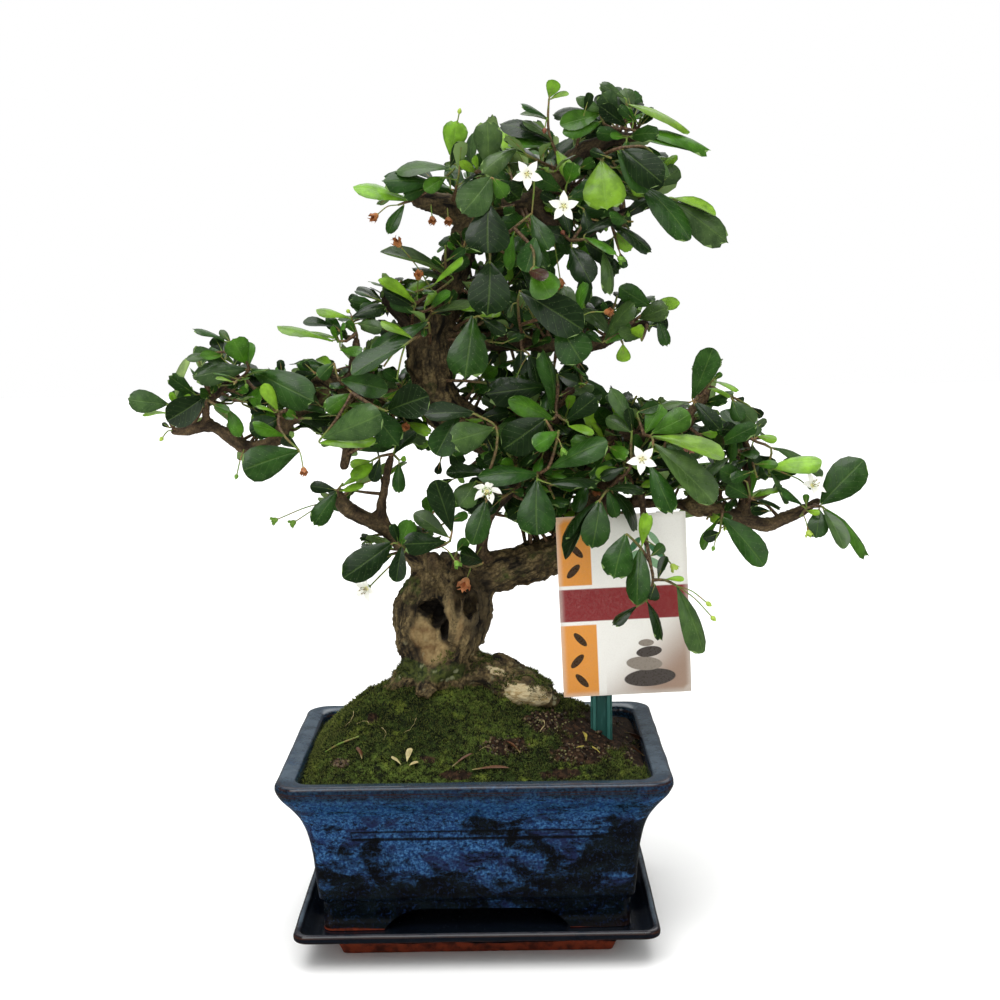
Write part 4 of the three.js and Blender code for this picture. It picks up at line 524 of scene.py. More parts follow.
# Wood. Each run of points is (picture x, picture y, depth, radius)
trunkRun = [(446, 712, 14, 26), (443, 684, 14, 23), (440, 655, 13, 20), (439, 625, 12, 21), (441, 600, 12, 21),
    (450, 582, 13, 16), (476, 577, 15, 12), (510, 568, 17, 11.5), (545, 558, 19, 11), (578, 542, 21, 11),
    (598, 515, 22, 11), (594, 484, 21, 11), (568, 462, 20, 11), (532, 450, 18, 11), (495, 438, 15, 11),
    (460, 422, 12, 12), (438, 400, 9, 12), (429, 372, 8, 12), (428, 345, 8, 11.5), (435, 315, 9, 10.5),
    (447, 285, 11, 9), (458, 258, 12, 8.5), (467, 230, 13, 8), (476, 205, 12, 6.5)]
limbs = {
    "surfaceRoot": [(462, 668, 10, 13), (486, 675, 6, 10.5), (506, 678, 3, 10.6), (524, 686, 0, 10.4),
        (541, 694, -1, 9), (551, 700, 0, 6)],
    "leftRoot": [(420, 672, 6, 12), (398, 690, 0, 8), (384, 708, -4, 5)],
    "hollowRim": [(452, 668, 0, 7), (462, 635, -6, 7), (464, 600, -5, 7), (452, 576, 2, 6)],
    "trunkKnot": [(418, 640, 2, 12), (413, 610, 2, 11), (424, 582, 6, 9)],
    "lumpStub": [(436, 580, 8, 8), (436, 563, 5, 5), (434, 555, 3, 3)],
    "crownLeft": [(470, 222, 13, 6), (448, 206, 4, 6.5), (430, 202, -2, 6), (416, 199, -6, 4)],
    "crownRight": [(476, 208, 12, 6), (505, 205, 8, 5.5), (530, 202, 4, 5.5), (545, 190, 2, 5.5), (560, 176, 0, 5.5),
        (575, 158, -1, 5.5), (595, 146, 0, 4.5), (618, 139, 3, 3.4), (636, 137, 4, 2.6)],
    "crownLowRight": [(532, 204, 3, 4.5), (545, 218, 0, 3.6), (560, 230, -3, 3.4), (580, 236, -5, 3),
        (605, 222, -4, 2.6), (628, 211, -3, 2.6), (650, 205, -2, 2.4)],
    "middleRight": [(438, 330, 9, 6), (470, 338, 13, 5), (500, 343, 16, 4.5), (530, 344, 16, 4.2), (562, 345, 14, 4),
        (594, 345, 10, 3.8), (620, 333, 6, 3), (646, 323, 2, 2.6)],
    "middleLeft": [(428, 345, 8, 5), (412, 330, 3, 4), (398, 314, -2, 3.4), (386, 300, -6, 3)],
    "left": [(430, 398, 9, 9), (400, 396, 2, 7), (370, 393, -4, 6.5), (342, 388, -9, 6.5), (322, 382, -12, 6.5),
        (309, 371, -13, 4)],
    "leftFar": [(336, 388, -9, 5), (320, 403, -13, 5), (300, 414, -15, 4.2), (285, 421, -16, 4.2), (280, 436, -18, 4),
        (262, 447, -18, 4), (243, 446, -16, 3.8), (226, 434, -14, 3.6), (208, 426, -12, 3.4), (190, 430, -12, 3.2),
        (173, 431, -12, 2.4)],
    "leftTip": [(208, 428, -12, 2.6), (206, 412, -12, 2.4), (207, 400, -12, 2.2), (218, 395, -12, 2.2),
        (226, 384, -13, 2), (244, 377, -14, 1.8)],
    "leftRiser": [(352, 388, -7, 4), (353, 368, -12, 3), (356, 352, -14, 2.6), (357, 339, -14, 2.2)],
    "leftDrop": [(378, 396, -2, 5), (362, 425, -7, 3.4), (348, 450, -11, 3.2), (344, 467, -13, 2.6)],
    "lowLeft": [(428, 578, 10, 9), (420, 560, 7, 6.5), (404, 545, 2, 5), (386, 529, -4, 4.4), (366, 519, -8, 4.2),
        (348, 509, -10, 4.2), (339, 498, -12, 4)],
    "lowLeftRiser": [(385, 527, -4, 4), (381, 510, -6, 3.2), (384, 490, -8, 2.6), (388, 468, -8, 2.4),
        (391, 456, -9, 2)],
    "lowMiddle": [(480, 568, 14, 4), (483, 540, 12, 3.4), (489, 516, 8, 3.2), (505, 497, 2, 3), (522, 482, -4, 2.8),
        (537, 468, -8, 2.4)],
    "centreRiser": [(540, 455, 18, 5), (548, 440, 14, 4), (553, 424, 8, 3.2), (556, 405, 3, 2.6), (555, 387, 0, 2.2)],
    "right": [(596, 508, 22, 7), (620, 503, 17, 3.4), (650, 503, 11, 2.8), (680, 504, 5, 3), (695, 506, 2, 6),
        (712, 509, -1, 5.5), (730, 515, -2, 4), (748, 520, -2, 4.2), (767, 525, 0, 4.2), (785, 518, 0, 3.8),
        (803, 510, 0, 3.2), (818, 501, 0, 2.4)],
    "rightRiser": [(745, 520, -2, 4), (745, 500, 0, 3.4), (748, 475, 2, 2.8), (748, 452, 2, 2.6), (743, 436, 0, 2.2)],
    "rightHigh": [(592, 484, 20, 6), (602, 458, 13, 4), (613, 437, 5, 3.4), (640, 437, -1, 3), (668, 434, -5, 2.8),
        (688, 426, -8, 2.6), (692, 409, -9, 2.4), (704, 400, -9, 2.4), (709, 386, -9, 2.2)],
    "rightInner": [(598, 500, 22, 4.5), (610, 486, 10, 3.4), (620, 474, 2, 2.8), (629, 466, -5, 2.2)],
    "labelDrop": [(636, 502, 13, 2.8), (638, 492, 0, 2.4), (640, 491, -14, 2.2), (643, 512, -24, 2),
        (647, 546, -31, 1.8)],
    "backCrown": [(468, 228, 13, 5), (486, 216, 34, 3.4), (500, 200, 54, 2.4)],
    "backCrownRight": [(560, 176, 2, 4), (566, 184, 24, 3), (572, 186, 44, 2.2)],
    "backMiddle": [(440, 318, 10, 6), (466, 305, 34, 4), (500, 296, 58, 2.6)],
    "backLeft": [(420, 398, 8, 6), (392, 392, 32, 4), (356, 398, 56, 2.6)],
    "backRight": [(598, 500, 22, 6), (626, 474, 44, 4), (660, 450, 64, 2.6)],
    "backLow": [(540, 452, 18, 6), (536, 452, 44, 4), (530, 450, 68, 2.6)],
}
# Sprays of leaves in front: tones of the leaves, twigs as (picture x, picture y, depth), and leaves as
# (base x, base y, tip x, tip y, width, how far the tip stands behind the base)
sprays = {
    "crown_sprout": ("lllmgglbd", [[(566, 170, 0), (556, 152, -9), (549, 133, -12), (548, 117, -12),
        (549, 99, -12)]], [(549, 98, 555, 80, 15, -2), (549, 98, 526, 81, 5, 0), (550, 99, 569, 94, 6, -3),
        (547, 118, 521, 104, 6, -6), (548, 119, 520, 114, 5, 4), (552, 141, 522, 121, 8, -6),
        (556, 150, 572, 179, 16, -8), (556, 148, 508, 146, 11, -6), (552, 142, 500, 124, 18, 4)]),
    "crown_top_right": ("gdgmlbbbgbbd", [[(612, 141, 2), (622, 128, -4), (627, 108, -6), (626, 99, -6)],
        [(622, 128, -4), (636, 131, -7), (650, 139, -8)], [(620, 130, -4), (604, 124, -6), (600, 112, -6)]], [
        (618, 115, 602, 93, 22, -4), (626, 126, 600, 106, 17, -7), (625, 98, 600, 84, 12, -2),
        (634, 121, 619, 106, 10, -5), (628, 104, 690, 132, 8, 6), (634, 131, 709, 150, 12, 8),
        (634, 137, 700, 147, 12, -4), (645, 139, 695, 155, 10, 2), (603, 112, 576, 98, 12, -4),
        (600, 114, 560, 125, 20, -8), (600, 122, 563, 134, 17, -12), (595, 112, 553, 115, 12, 3)]),
    "crown_shoulder": ("dmgld", [[(598, 148, 0), (603, 155, -14), (611, 158, -24)], [(603, 155, -14), (620, 148, -22),
        (645, 147, -23), (652, 152, -23)]], [(622, 149, 662, 183, 34, -8), (618, 152, 648, 192, 25, -13),
        (652, 152, 669, 177, 9, -2), (602, 161, 607, 209, 44, -10), (608, 157, 590, 151, 10, 4)]),
    "crown_hanging": ("mgll", [[(648, 206, -2), (655, 196, -10), (668, 199, -13)], [(655, 196, -10),
        (641, 185, -15)]], [(641, 185, 690, 240, 27, -8), (668, 200, 727, 242, 32, -10), (672, 198, 716, 215, 10, 6),
        (664, 199, 678, 200, 6, -5)]),
    "crown_left_tip": ("lmgbmm", [[(420, 201, -4), (410, 201, -10), (398, 205, -13)], [(416, 199, -7),
        (432, 187, -11), (447, 176, -13), (455, 168, -13)]], [(408, 200, 353, 187, 15, -6),
        (436, 183, 383, 181, 22, -6), (450, 168, 395, 172, 14, 4), (446, 177, 424, 190, 16, -9),
        (404, 205, 388, 234, 13, -4), (427, 188, 404, 197, 14, -5)]),
    "crown_left_upper": ("ldggllg", [[(478, 205, 9), (478, 187, -6), (476, 172, -16), (462, 167, -18),
        (451, 163, -18)], [(476, 172, -16), (490, 168, -20), (512, 152, -22)]], [(450, 155, 457, 121, 26, -4),
        (450, 167, 463, 142, 14, -2), (488, 168, 487, 121, 30, -4), (517, 149, 482, 173, 20, -10),
        (476, 172, 459, 162, 10, -6), (478, 170, 474, 156, 7, -7), (472, 168, 474, 132, 13, 5)]),
    "crown_front": ("gbdd", [[(484, 203, 6), (490, 192, -24), (492, 178, -36)], [(490, 192, -24), (490, 202, -40)]], [
        (491, 177, 462, 213, 36, -10), (493, 178, 506, 197, 18, 4), (489, 203, 488, 253, 46, -8),
        (500, 180, 520, 199, 22, -3)]),
    "crown_lower": ("dbmmbr", [[(470, 240, 12), (488, 250, -10), (490, 261, -36)], [(488, 250, -10), (514, 228, -24),
        (532, 213, -24)], [(514, 228, -24), (533, 250, -36), (534, 266, -40)]], [(490, 262, 487, 315, 44, -8),
        (514, 232, 511, 270, 12, -6), (531, 214, 549, 250, 22, -8), (535, 238, 525, 272, 26, -4),
        (534, 266, 551, 297, 32, -8), (529, 271, 550, 280, 13, -14)]),
    "crown_inner_right": ("ddbddgdd", [[(562, 231, -4), (572, 241, -16), (584, 239, -21), (603, 250, -22)],
        [(572, 241, -16), (582, 225, -16), (584, 209, -14)]], [(584, 234, 612, 219, 10, 2),
        (606, 222, 651, 252, 13, -6), (585, 237, 616, 254, 8, -8), (585, 242, 613, 260, 22, -6),
        (571, 247, 591, 283, 28, -10), (603, 250, 610, 295, 14, -6), (584, 209, 588, 230, 12, -4),
        (570, 236, 562, 206, 16, 4)]),
    "middle_left": ("ldmbglgg", [[(412, 328, 3), (413, 314, -8), (416, 303, -12)], [(413, 314, -8), (428, 310, -13),
        (440, 302, -15)], [(416, 303, -12), (436, 292, -6), (453, 279, 0)]], [(415, 303, 378, 280, 12, -4),
        (413, 306, 384, 290, 15, -2), (416, 314, 391, 298, 17, -8), (430, 309, 451, 292, 10, -4),
        (432, 312, 470, 306, 10, -10), (424, 307, 436, 291, 10, 2), (452, 275, 380, 252, 10, -6),
        (449, 284, 412, 268, 8, 0)]),
    "middle_front": ("mdl", [[(452, 330, 11), (468, 320, -18), (478, 316, -28)]], [(473, 316, 465, 377, 42, -10),
        (482, 318, 506, 334, 14, -4), (479, 316, 501, 314, 8, -6)]),
    "middle_big": ("dmggbdd", [[(525, 344, 16), (520, 325, -10), (518, 300, -30), (520, 291, -36)], [(520, 325, -10),
        (545, 318, -32), (560, 318, -36), (577, 319, -34)], [(522, 333, 1), (522, 349, -4), (529, 354, -6)]], [
        (520, 291, 583, 330, 40, -6), (557, 319, 582, 362, 38, -9), (513, 303, 510, 318, 7, -4),
        (575, 318, 564, 286, 17, 4), (579, 319, 583, 282, 13, 8), (521, 350, 520, 375, 16, -3),
        (529, 354, 538, 386, 14, -4)]),
    "middle_right_end": ("mglmgbglm", [[(622, 332, 5), (634, 321, -4), (650, 311, -8), (657, 316, -8)],
        [(634, 321, -4), (618, 333, -8), (604, 341, -8)], [(618, 333, -8), (623, 344, -8)]], [
        (650, 306, 619, 287, 21, -2), (638, 318, 668, 307, 22, -8), (652, 305, 680, 303, 14, 2),
        (657, 317, 667, 346, 13, -4), (604, 341, 634, 303, 18, -10), (606, 343, 630, 324, 18, -14),
        (612, 336, 583, 308, 16, -6), (623, 344, 624, 362, 15, -2), (603, 343, 586, 332, 10, 4)]),
    "left_tip": ("gpllld", [[(176, 431, -12), (169, 420, -18), (168, 406, -20), (179, 402, -20)]], [
        (168, 404, 128, 399, 24, -4), (176, 400, 188, 357, 10, 2), (177, 404, 170, 392, 7, -3),
        (180, 401, 191, 396, 6, -3), (167, 413, 142, 415, 5, -2), (170, 428, 162, 423, 5, 2)]),
    "left_upper": ("gbbdmgggbm", [[(240, 379, -14), (249, 369, -17), (240, 353, -20), (229, 342, -20)],
        [(240, 353, -20), (222, 352, -22), (212, 353, -22)]], [(247, 369, 194, 377, 24, -8),
        (246, 364, 233, 339, 26, -8), (249, 366, 249, 342, 13, 3), (222, 351, 214, 337, 16, 3),
        (226, 342, 193, 329, 5, -4), (231, 343, 220, 330, 8, 2), (213, 351, 194, 352, 12, 4),
        (213, 355, 186, 359, 9, -5), (222, 356, 200, 356, 10, -8), (250, 369, 313, 401, 36, -14)]),
    "left_ring": ("dbb", [[(208, 414, -12), (207, 400, -22), (219, 407, -24), (229, 410, -24)]], [
        (206, 396, 167, 421, 30, -8), (212, 404, 229, 412, 9, -5), (229, 410, 240, 437, 15, -2)]),
    "left_inner": ("lldbmmd", [[(286, 421, -16), (279, 413, -26), (277, 410, -28)], [(279, 413, -26), (279, 426, -32),
        (286, 438, -36), (299, 450, -38)], [(279, 413, -26), (292, 408, -26), (300, 407, -26)]], [
        (278, 411, 263, 384, 14, -4), (275, 413, 256, 405, 4, -2), (278, 419, 250, 432, 24, -8),
        (284, 436, 253, 425, 13, -14), (299, 451, 243, 470, 36, -10), (298, 409, 326, 413, 7, 2),
        (298, 448, 282, 438, 12, 6)]),
    "left_shoulder": ("lldldgbbbb", [[(356, 346, -14), (357, 335, -16), (352, 320, -16)], [(356, 333, -16),
        (346, 341, -22), (339, 341, -21), (335, 330, -19)]], [(333, 341, 277, 326, 8, -4), (335, 338, 286, 330, 6, 4),
        (335, 327, 303, 322, 10, 0), (350, 318, 316, 310, 9, -4), (351, 317, 386, 307, 15, 4),
        (357, 323, 382, 329, 15, -6), (338, 343, 332, 326, 6, -3), (342, 344, 343, 322, 5, 2),
        (355, 333, 347, 321, 9, -4), (340, 350, 362, 352, 11, -8)]),
    "left_long": ("mmlm", [[(430, 350, 8), (430, 335, -14), (429, 323, -22)], [(430, 335, -14), (415, 338, -28),
        (405, 345, -32)]], [(428, 322, 370, 353, 22, -8), (405, 345, 352, 375, 20, -12), (412, 338, 381, 321, 9, 6),
        (424, 328, 424, 337, 7, -6)]),
    "left_fan": ("mdbglmldm", [[(344, 388, -9), (347, 388, -26), (352, 393, -34)], [(347, 388, -26), (339, 380, -28),
        (334, 363, -26)], [(352, 393, -34), (336, 420, -40), (319, 441, -42)], [(352, 393, -34), (372, 405, -40),
        (386, 411, -42)]], [(341, 380, 388, 390, 25, -8), (387, 411, 429, 396, 36, -8), (350, 394, 325, 411, 18, -6),
        (323, 438, 381, 414, 35, -12), (319, 443, 376, 440, 16, -10), (334, 363, 319, 378, 15, -4),
        (333, 368, 318, 358, 10, 3), (322, 442, 345, 458, 18, 6), (364, 402, 398, 445, 30, 8)]),
    "low_left_tip": ("mdll", [[(340, 500, -12), (338, 490, -20), (343, 483, -20)]], [(337, 492, 314, 525, 21, -6),
        (336, 490, 310, 486, 13, 0), (341, 491, 364, 485, 8, -6), (342, 486, 359, 478, 6, 2)]),
    "low_left_riser": ("dllmdl", [[(391, 460, -9), (393, 454, -16), (399, 460, -18)], [(393, 454, -16),
        (381, 456, -18), (371, 461, -18)]], [(380, 458, 373, 482, 13, -2), (372, 461, 350, 465, 10, -3),
        (373, 463, 352, 478, 14, -8), (399, 463, 399, 493, 14, -4), (394, 454, 416, 432, 12, 4),
        (400, 460, 406, 458, 6, -3)]),
    "low_left_front": ("ddbddgd", [[(414, 553, 5), (408, 549, -18), (396, 543, -28)], [(408, 549, -18),
        (430, 549, -28), (450, 541, -32), (452, 532, -32)]], [(392, 543, 343, 578, 32, -8),
        (402, 545, 396, 582, 18, -5), (401, 545, 411, 520, 20, -5), (398, 543, 392, 524, 10, 2),
        (446, 542, 404, 544, 24, -10), (448, 537, 414, 513, 18, 4), (452, 532, 435, 480, 27, -4)]),
    "heart": ("mgddgm", [[(505, 497, 2), (492, 487, -18), (489, 474, -28), (496, 450, -30), (496, 427, -30),
        (475, 414, -30)], [(492, 487, -18), (487, 500, -30)], [(492, 487, -18), (476, 481, -26)]], [
        (459, 414, 436, 455, 30, -6), (494, 428, 452, 441, 32, -12), (474, 413, 424, 414, 20, 4),
        (489, 474, 446, 473, 15, -2), (475, 482, 459, 506, 26, -6), (486, 501, 472, 545, 25, -8)]),
    "centre_front": ("mmmbdd", [[(535, 470, -8), (538, 474, -26), (537, 479, -34)], [(538, 474, -26), (548, 468, -32),
        (557, 440, -32), (559, 430, -32)], [(557, 440, -32), (546, 420, -28)]], [(538, 474, 478, 477, 21, -8),
        (537, 480, 537, 535, 40, -10), (549, 468, 607, 441, 25, -6), (558, 432, 534, 447, 20, -8),
        (545, 419, 503, 449, 38, 3), (549, 484, 598, 482, 11, 4)]),
    "centre_top": ("mddbldrdlg", [[(556, 402, 2), (558, 386, -9), (557, 374, -10)], [(558, 386, -9), (557, 415, -16),
        (568, 422, -20)], [(557, 415, -16), (553, 419, -18)]], [(552, 413, 543, 350, 16, -2),
        (556, 405, 554, 366, 13, 5), (551, 386, 487, 394, 30, -8), (553, 419, 508, 400, 20, -8),
        (554, 412, 532, 388, 12, 3), (557, 374, 578, 383, 14, -5), (560, 396, 575, 388, 9, 4),
        (566, 420, 596, 397, 23, -6), (568, 426, 594, 434, 9, -6), (562, 394, 594, 386, 14, 8)]),
    "centre_right": ("mddddmddgg", [[(620, 475, 2), (616, 482, -18), (604, 494, -28), (600, 500, -30)],
        [(616, 482, -18), (630, 468, -24), (631, 445, -26), (632, 430, -26)]], [(600, 501, 592, 548, 30, -8),
        (598, 503, 565, 559, 16, 5), (596, 502, 563, 538, 9, 0), (606, 489, 645, 492, 10, -4),
        (627, 467, 600, 478, 12, -2), (607, 488, 618, 523, 14, -8), (612, 490, 637, 530, 14, 4),
        (632, 432, 628, 408, 11, -4), (631, 425, 611, 388, 17, 4), (631, 432, 606, 418, 15, 6)]),
    "right_front": ("bblgmgmg", [[(638, 437, -1), (644, 435, -24), (653, 440, -36), (650, 462, -38)],
        [(644, 435, -24), (637, 414, -22)]], [(652, 433, 690, 414, 26, -4), (645, 433, 662, 405, 24, 3),
        (653, 436, 724, 458, 18, -10), (654, 444, 714, 503, 31, -12), (650, 465, 672, 513, 24, -8),
        (656, 434, 720, 433, 17, 8), (638, 412, 658, 405, 13, -2), (660, 452, 718, 478, 13, 3)]),
    "right_top": ("mblldggb", [[(708, 392, -9), (699, 397, -16), (693, 401, -18)], [(699, 397, -16),
        (713, 380, -18)]], [(692, 399, 713, 348, 26, -4), (713, 380, 722, 373, 6, -2), (713, 381, 739, 391, 5, -6),
        (707, 388, 731, 396, 5, 2), (695, 402, 720, 430, 18, -6), (694, 404, 713, 422, 12, 4),
        (690, 402, 660, 406, 9, 2), (710, 383, 706, 369, 8, -6)]),
    "right_riser": ("mgdmlglgddg", [[(746, 444, 1), (744, 428, -8), (735, 402, -10), (731, 398, -10)],
        [(744, 434, -5), (757, 442, -10), (771, 448, -12), (768, 467, -12)]], [(732, 400, 741, 421, 16, -4),
        (735, 401, 755, 424, 19, -8), (743, 432, 722, 429, 17, -6), (735, 432, 731, 460, 10, -4),
        (757, 436, 777, 440, 9, -4), (754, 440, 757, 425, 12, 3), (768, 467, 822, 462, 19, -8),
        (772, 447, 823, 471, 12, 4), (765, 463, 758, 478, 14, -4), (752, 444, 758, 474, 16, -3),
        (769, 470, 789, 503, 6, 3)]),
    "right_stem": ("mmbld", [[(746, 504, 0), (750, 498, -10), (747, 482, -14)]], [(744, 480, 720, 470, 20, -6),
        (749, 497, 727, 485, 21, -8), (751, 496, 751, 462, 8, -8), (753, 497, 779, 490, 7, -4),
        (753, 499, 781, 508, 4, 0)]),
    "right_tip": ("mbgmblm", [[(813, 504, 0), (819, 506, -8), (823, 507, -9)], [(819, 506, -8), (807, 508, -10),
        (800, 517, -10)]], [(821, 504, 864, 460, 38, -6), (824, 507, 868, 555, 13, 4), (823, 509, 844, 549, 17, -6),
        (819, 509, 816, 538, 22, -8), (806, 505, 806, 494, 7, -2), (807, 511, 820, 513, 7, -5),
        (803, 506, 780, 489, 8, 2)]),
    "right_low": ("mdbl", [[(722, 512, -2), (722, 514, -20), (720, 531, -22)]], [(722, 517, 764, 566, 27, -10),
        (720, 533, 703, 538, 13, -4), (718, 520, 702, 550, 10, 2), (722, 528, 730, 522, 5, -4)]),
    "label_front": ("mmlmddgddl", [[(647, 544, -30), (650, 562, -38), (653, 580, -40), (647, 599, -41),
        (637, 606, -41)], [(650, 562, -38), (640, 547, -41), (627, 534, -43)], [(653, 580, -40), (665, 580, -42),
        (677, 586, -42)]], [(626, 534, 614, 578, 33, -6), (640, 549, 637, 605, 25, -10), (642, 546, 647, 513, 14, -4),
        (651, 556, 664, 545, 12, 2), (658, 579, 666, 556, 10, 4), (655, 584, 650, 600, 17, -3),
        (677, 586, 703, 653, 23, -6), (637, 606, 613, 625, 11, -4), (647, 601, 662, 640, 11, -3),
        (666, 579, 684, 580, 6, -4)]),
    "low_middle": ("db", [[(452, 574, 6), (455, 557, -12), (457, 552, -16)], [(455, 557, -12), (470, 567, -18),
        (483, 563, -18)]], [(483, 562, 460, 553, 18, -3), (457, 551, 468, 539, 12, -4)]),
}


def inScene(name, data):
    made = bpy.data.objects.new(name, data)
    scene.collection.objects.link(made)
    return made


def smoothed(mesh, crease):
    mesh.polygons.foreach_set("use_smooth", [True] * len(mesh.polygons))
    mesh.set_sharp_from_angle(angle=math.radians(crease))


# Stores one number, vector or colour for each point or face of a mesh
def store(mesh, name, values, kind="FLOAT", domain="POINT"):
    entry = {"FLOAT_VECTOR": "vector", "FLOAT_COLOR": "color"}.get(kind, "value")
    numbers = np.asarray(values, np.int32 if kind == "INT" else np.float32).ravel()
    mesh.attributes.new(name, kind, domain).data.foreach_set(entry, numbers)


# Mesh from points in metres, smooth but for its creases past the given angle
def meshPiece(name, points, faces, material, crease=40.0, **fields):
    mesh = bpy.data.meshes.new(name)
    mesh.from_pydata([tuple(p) for p in points], [], faces)
    smoothed(mesh, crease)
    for label, numbers in fields.items():
        store(mesh, label, numbers)
    mesh.materials.append(material)
    return inScene(name, mesh)


def takePlace(piece, slotName, *nodes):
    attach(piece, "root")
    if nodes:
        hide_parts(*nodes)
    return piece


def applyModifiers(piece):
    graph = bpy.context.evaluated_depsgraph_get()
    made = bpy.data.meshes.new_from_object(piece.evaluated_get(graph), preserve_all_data_layers=True,
                                           depsgraph=graph)
    piece.modifiers.clear()
    old, piece.data = piece.data, made
    bpy.data.meshes.remove(old)


# Gives a modifier its tree and its inputs by socket identifier, then turns the result into a plain mesh
def growMesh(piece, group, **inputs):
    modifier = piece.modifiers.new("grow", "NODES")
    modifier.node_group = group
    for item in group.interface.items_tree:
        key = item.name.replace(" ", "")
        if item.in_out == "INPUT" and key in inputs:
            modifier[item.identifier] = inputs[key]
    applyModifiers(piece)


def tidyNormals(piece):
    work = bmesh.new()
    work.from_mesh(piece.data)
    bmesh.ops.remove_doubles(work, verts=work.verts, dist=1e-6)
    bmesh.ops.recalc_face_normals(work, faces=work.faces)
    work.to_mesh(piece.data)
    work.free()


# Walls and caps of a body made of rings, each with the same number of points
def tubeFaces(rings, sides):
    faces = []
    for r in range(rings - 1):
        for s in range(sides):
            a, b = r * sides + s, r * sides + (s + 1) % sides
            faces.append((a, b, b + sides, a + sides))
    return [*faces, tuple(reversed(range(sides))), tuple(range((rings - 1) * sides, rings * sides))]


# Faces of a closed sheet: a grid of points, the same grid on its other side, and the rim between them
def sheetFaces(columns, rows):
    wide, count, faces = columns + 1, (columns + 1) * (rows + 1), []
    for j in range(rows):
        for i in range(columns):
            a = j * wide + i
            faces.append((a, a + 1, a + wide + 1, a + wide))
            faces.append((a + count, a + wide + count, a + wide + 1 + count, a + 1 + count))
    rim = [*range(columns), *(j * wide + columns for j in range(rows))]
    rim += [*(rows * wide + i for i in range(columns, 0, -1)), *(j * wide for j in range(rows, 0, -1))]
    return faces + [(a, a + count, b + count, b) for a, b in zip(rim, rim[1:] + rim[:1])]


# Rounded rectangle, anticlockwise, with points along its straight sides; returns points and how far round a corner
def roundedRing(halfX, halfY, corner, z, sideSteps, cornerSteps):
    ring, bends = [], []
    corners = [Vector((sx * (halfX - corner), sy * (halfY - corner), z))
               for sx, sy in ((1, 1), (-1, 1), (-1, -1), (1, -1))]
    for quarter, centre in enumerate(corners):
        for i in range(cornerSteps + 1):
            angle = (quarter + i / cornerSteps) * math.pi / 2
            out = Vector((math.cos(angle), math.sin(angle), 0)) * corner
            ring.append(centre + out)
            bends.append(1 - abs(2 * i / cornerSteps - 1) * 0.6)
        start, end = ring[-1], corners[(quarter + 1) % 4] + out
        ring += [start.lerp(end, i / sideSteps) for i in range(1, sideSteps)]
        bends += [0.0] * (sideSteps - 1)
    return ring, bends


# Profile through corners given as (inset, height, radius, wear), each rounded off with its own radius
def roundedProfile(corners, steps=5):
    rows = []
    for i, (inset, z, radius, wear) in enumerate(corners):
        here = Vector((inset, z))
        if radius == 0 or i in (0, len(corners) - 1):
            rows.append((here, wear))
            continue
        before, after = (Vector(corner[:2]) - here for corner in (corners[i - 1], corners[i + 1]))
        reach = min(radius, before.length * 0.45, after.length * 0.45)
        first, last = here + before.normalized() * reach, here + after.normalized() * reach
        for k in range(steps + 1):
            t = k / steps
            rows.append((first.lerp(here, t).lerp(here.lerp(last, t), t), wear * (1 - abs(2 * t - 1) * 0.7)))
    return rows


# Closed body of stacked rounded rectangles, a little wavy as thrown and pressed clay is
def stackedBody(name, look, corners, material):
    halfWidth, halfDepth, wave = look["width"] / 2, look["depth"] / 2, look["waviness"]
    points, wears, rows = [], [], roundedProfile(corners)
    for (inset, z), wear in rows:
        ring, bends = roundedRing(halfWidth - inset, halfDepth - inset, max(look["corner"] - inset / 3, 2.0), z,
                                  look["sideSteps"], look["cornerSteps"])
        wears += [min(1.0, wear + 0.35 * bend * (0.3 + wear)) for bend in bends]
        for p in ring:
            away = Vector((p.x / halfWidth, p.y / halfDepth, 0))
            push = noise.noise(p * 0.05) * wave + noise.noise(p * 0.16 + Vector((7, 3, 1))) * wave * 0.4
            points.append((p + away.normalized() * push) * mm if away.length > 0.2 else p * mm)
    return meshPiece(name, points, tubeFaces(len(rows), len(ring)), material, 35, edgeWear=wears)


# Pot: a flared rim over a hollow-cheeked body, on four corner feet
potSet = {
    "width": 200, "depth": 148, "corner": 12, "waviness": 0.35, "sideSteps": 22, "cornerSteps": 8,
    "floorTop": 32, "floorUnder": 25, "foot": 14, "footInset": 27.5, "archWidth": 96, "sideArchWidth": 54,
    "archShoulder": 22, "archSteps": 8, "drainOffset": 42, "drainRadius": 7, "panelWidth": 126, "panelTop": 69,
    "panelBottom": 64.8, "panelWall": 14.2, "panelDepth": 0.9, "past": 10,
}
# Outline of the pot and of the tray, as (inset, height, radius, wear)
potOutline = [
    (20.5, 14, 1.6, 0.5), (20.5, 29.4, 1.0, 0.1), (18.6, 30.6, 1.2, 0.25), (17.6, 40, 8, 0.0), (17.0, 51, 6, 0.0),
    (15.4, 62, 8, 0.0), (13.6, 69.5, 5, 0.0), (11.1, 75.7, 5, 0.0), (7.3, 81.9, 5, 0.0), (2.3, 88.2, 3, 0.15),
    (0.4, 92.2, 1.0, 0.8), (0, 93.6, 0.8, 0.9), (0.1, 96.2, 1.6, 0.7), (1.8, 97.2, 1.8, 1.0), (6, 97.1, 2, 0.1),
    (9.6, 96.4, 1.4, 0.2), (11, 94.4, 1.4, 0.6), (11, 91, 2, 0.0), (15, 83, 3, 0.0), (21, 67, 4, 0.0),
    (22, 40, 4, 0.0), (24, 32, 1.5, 0.0), (40, 32, 0, 0.0),
]
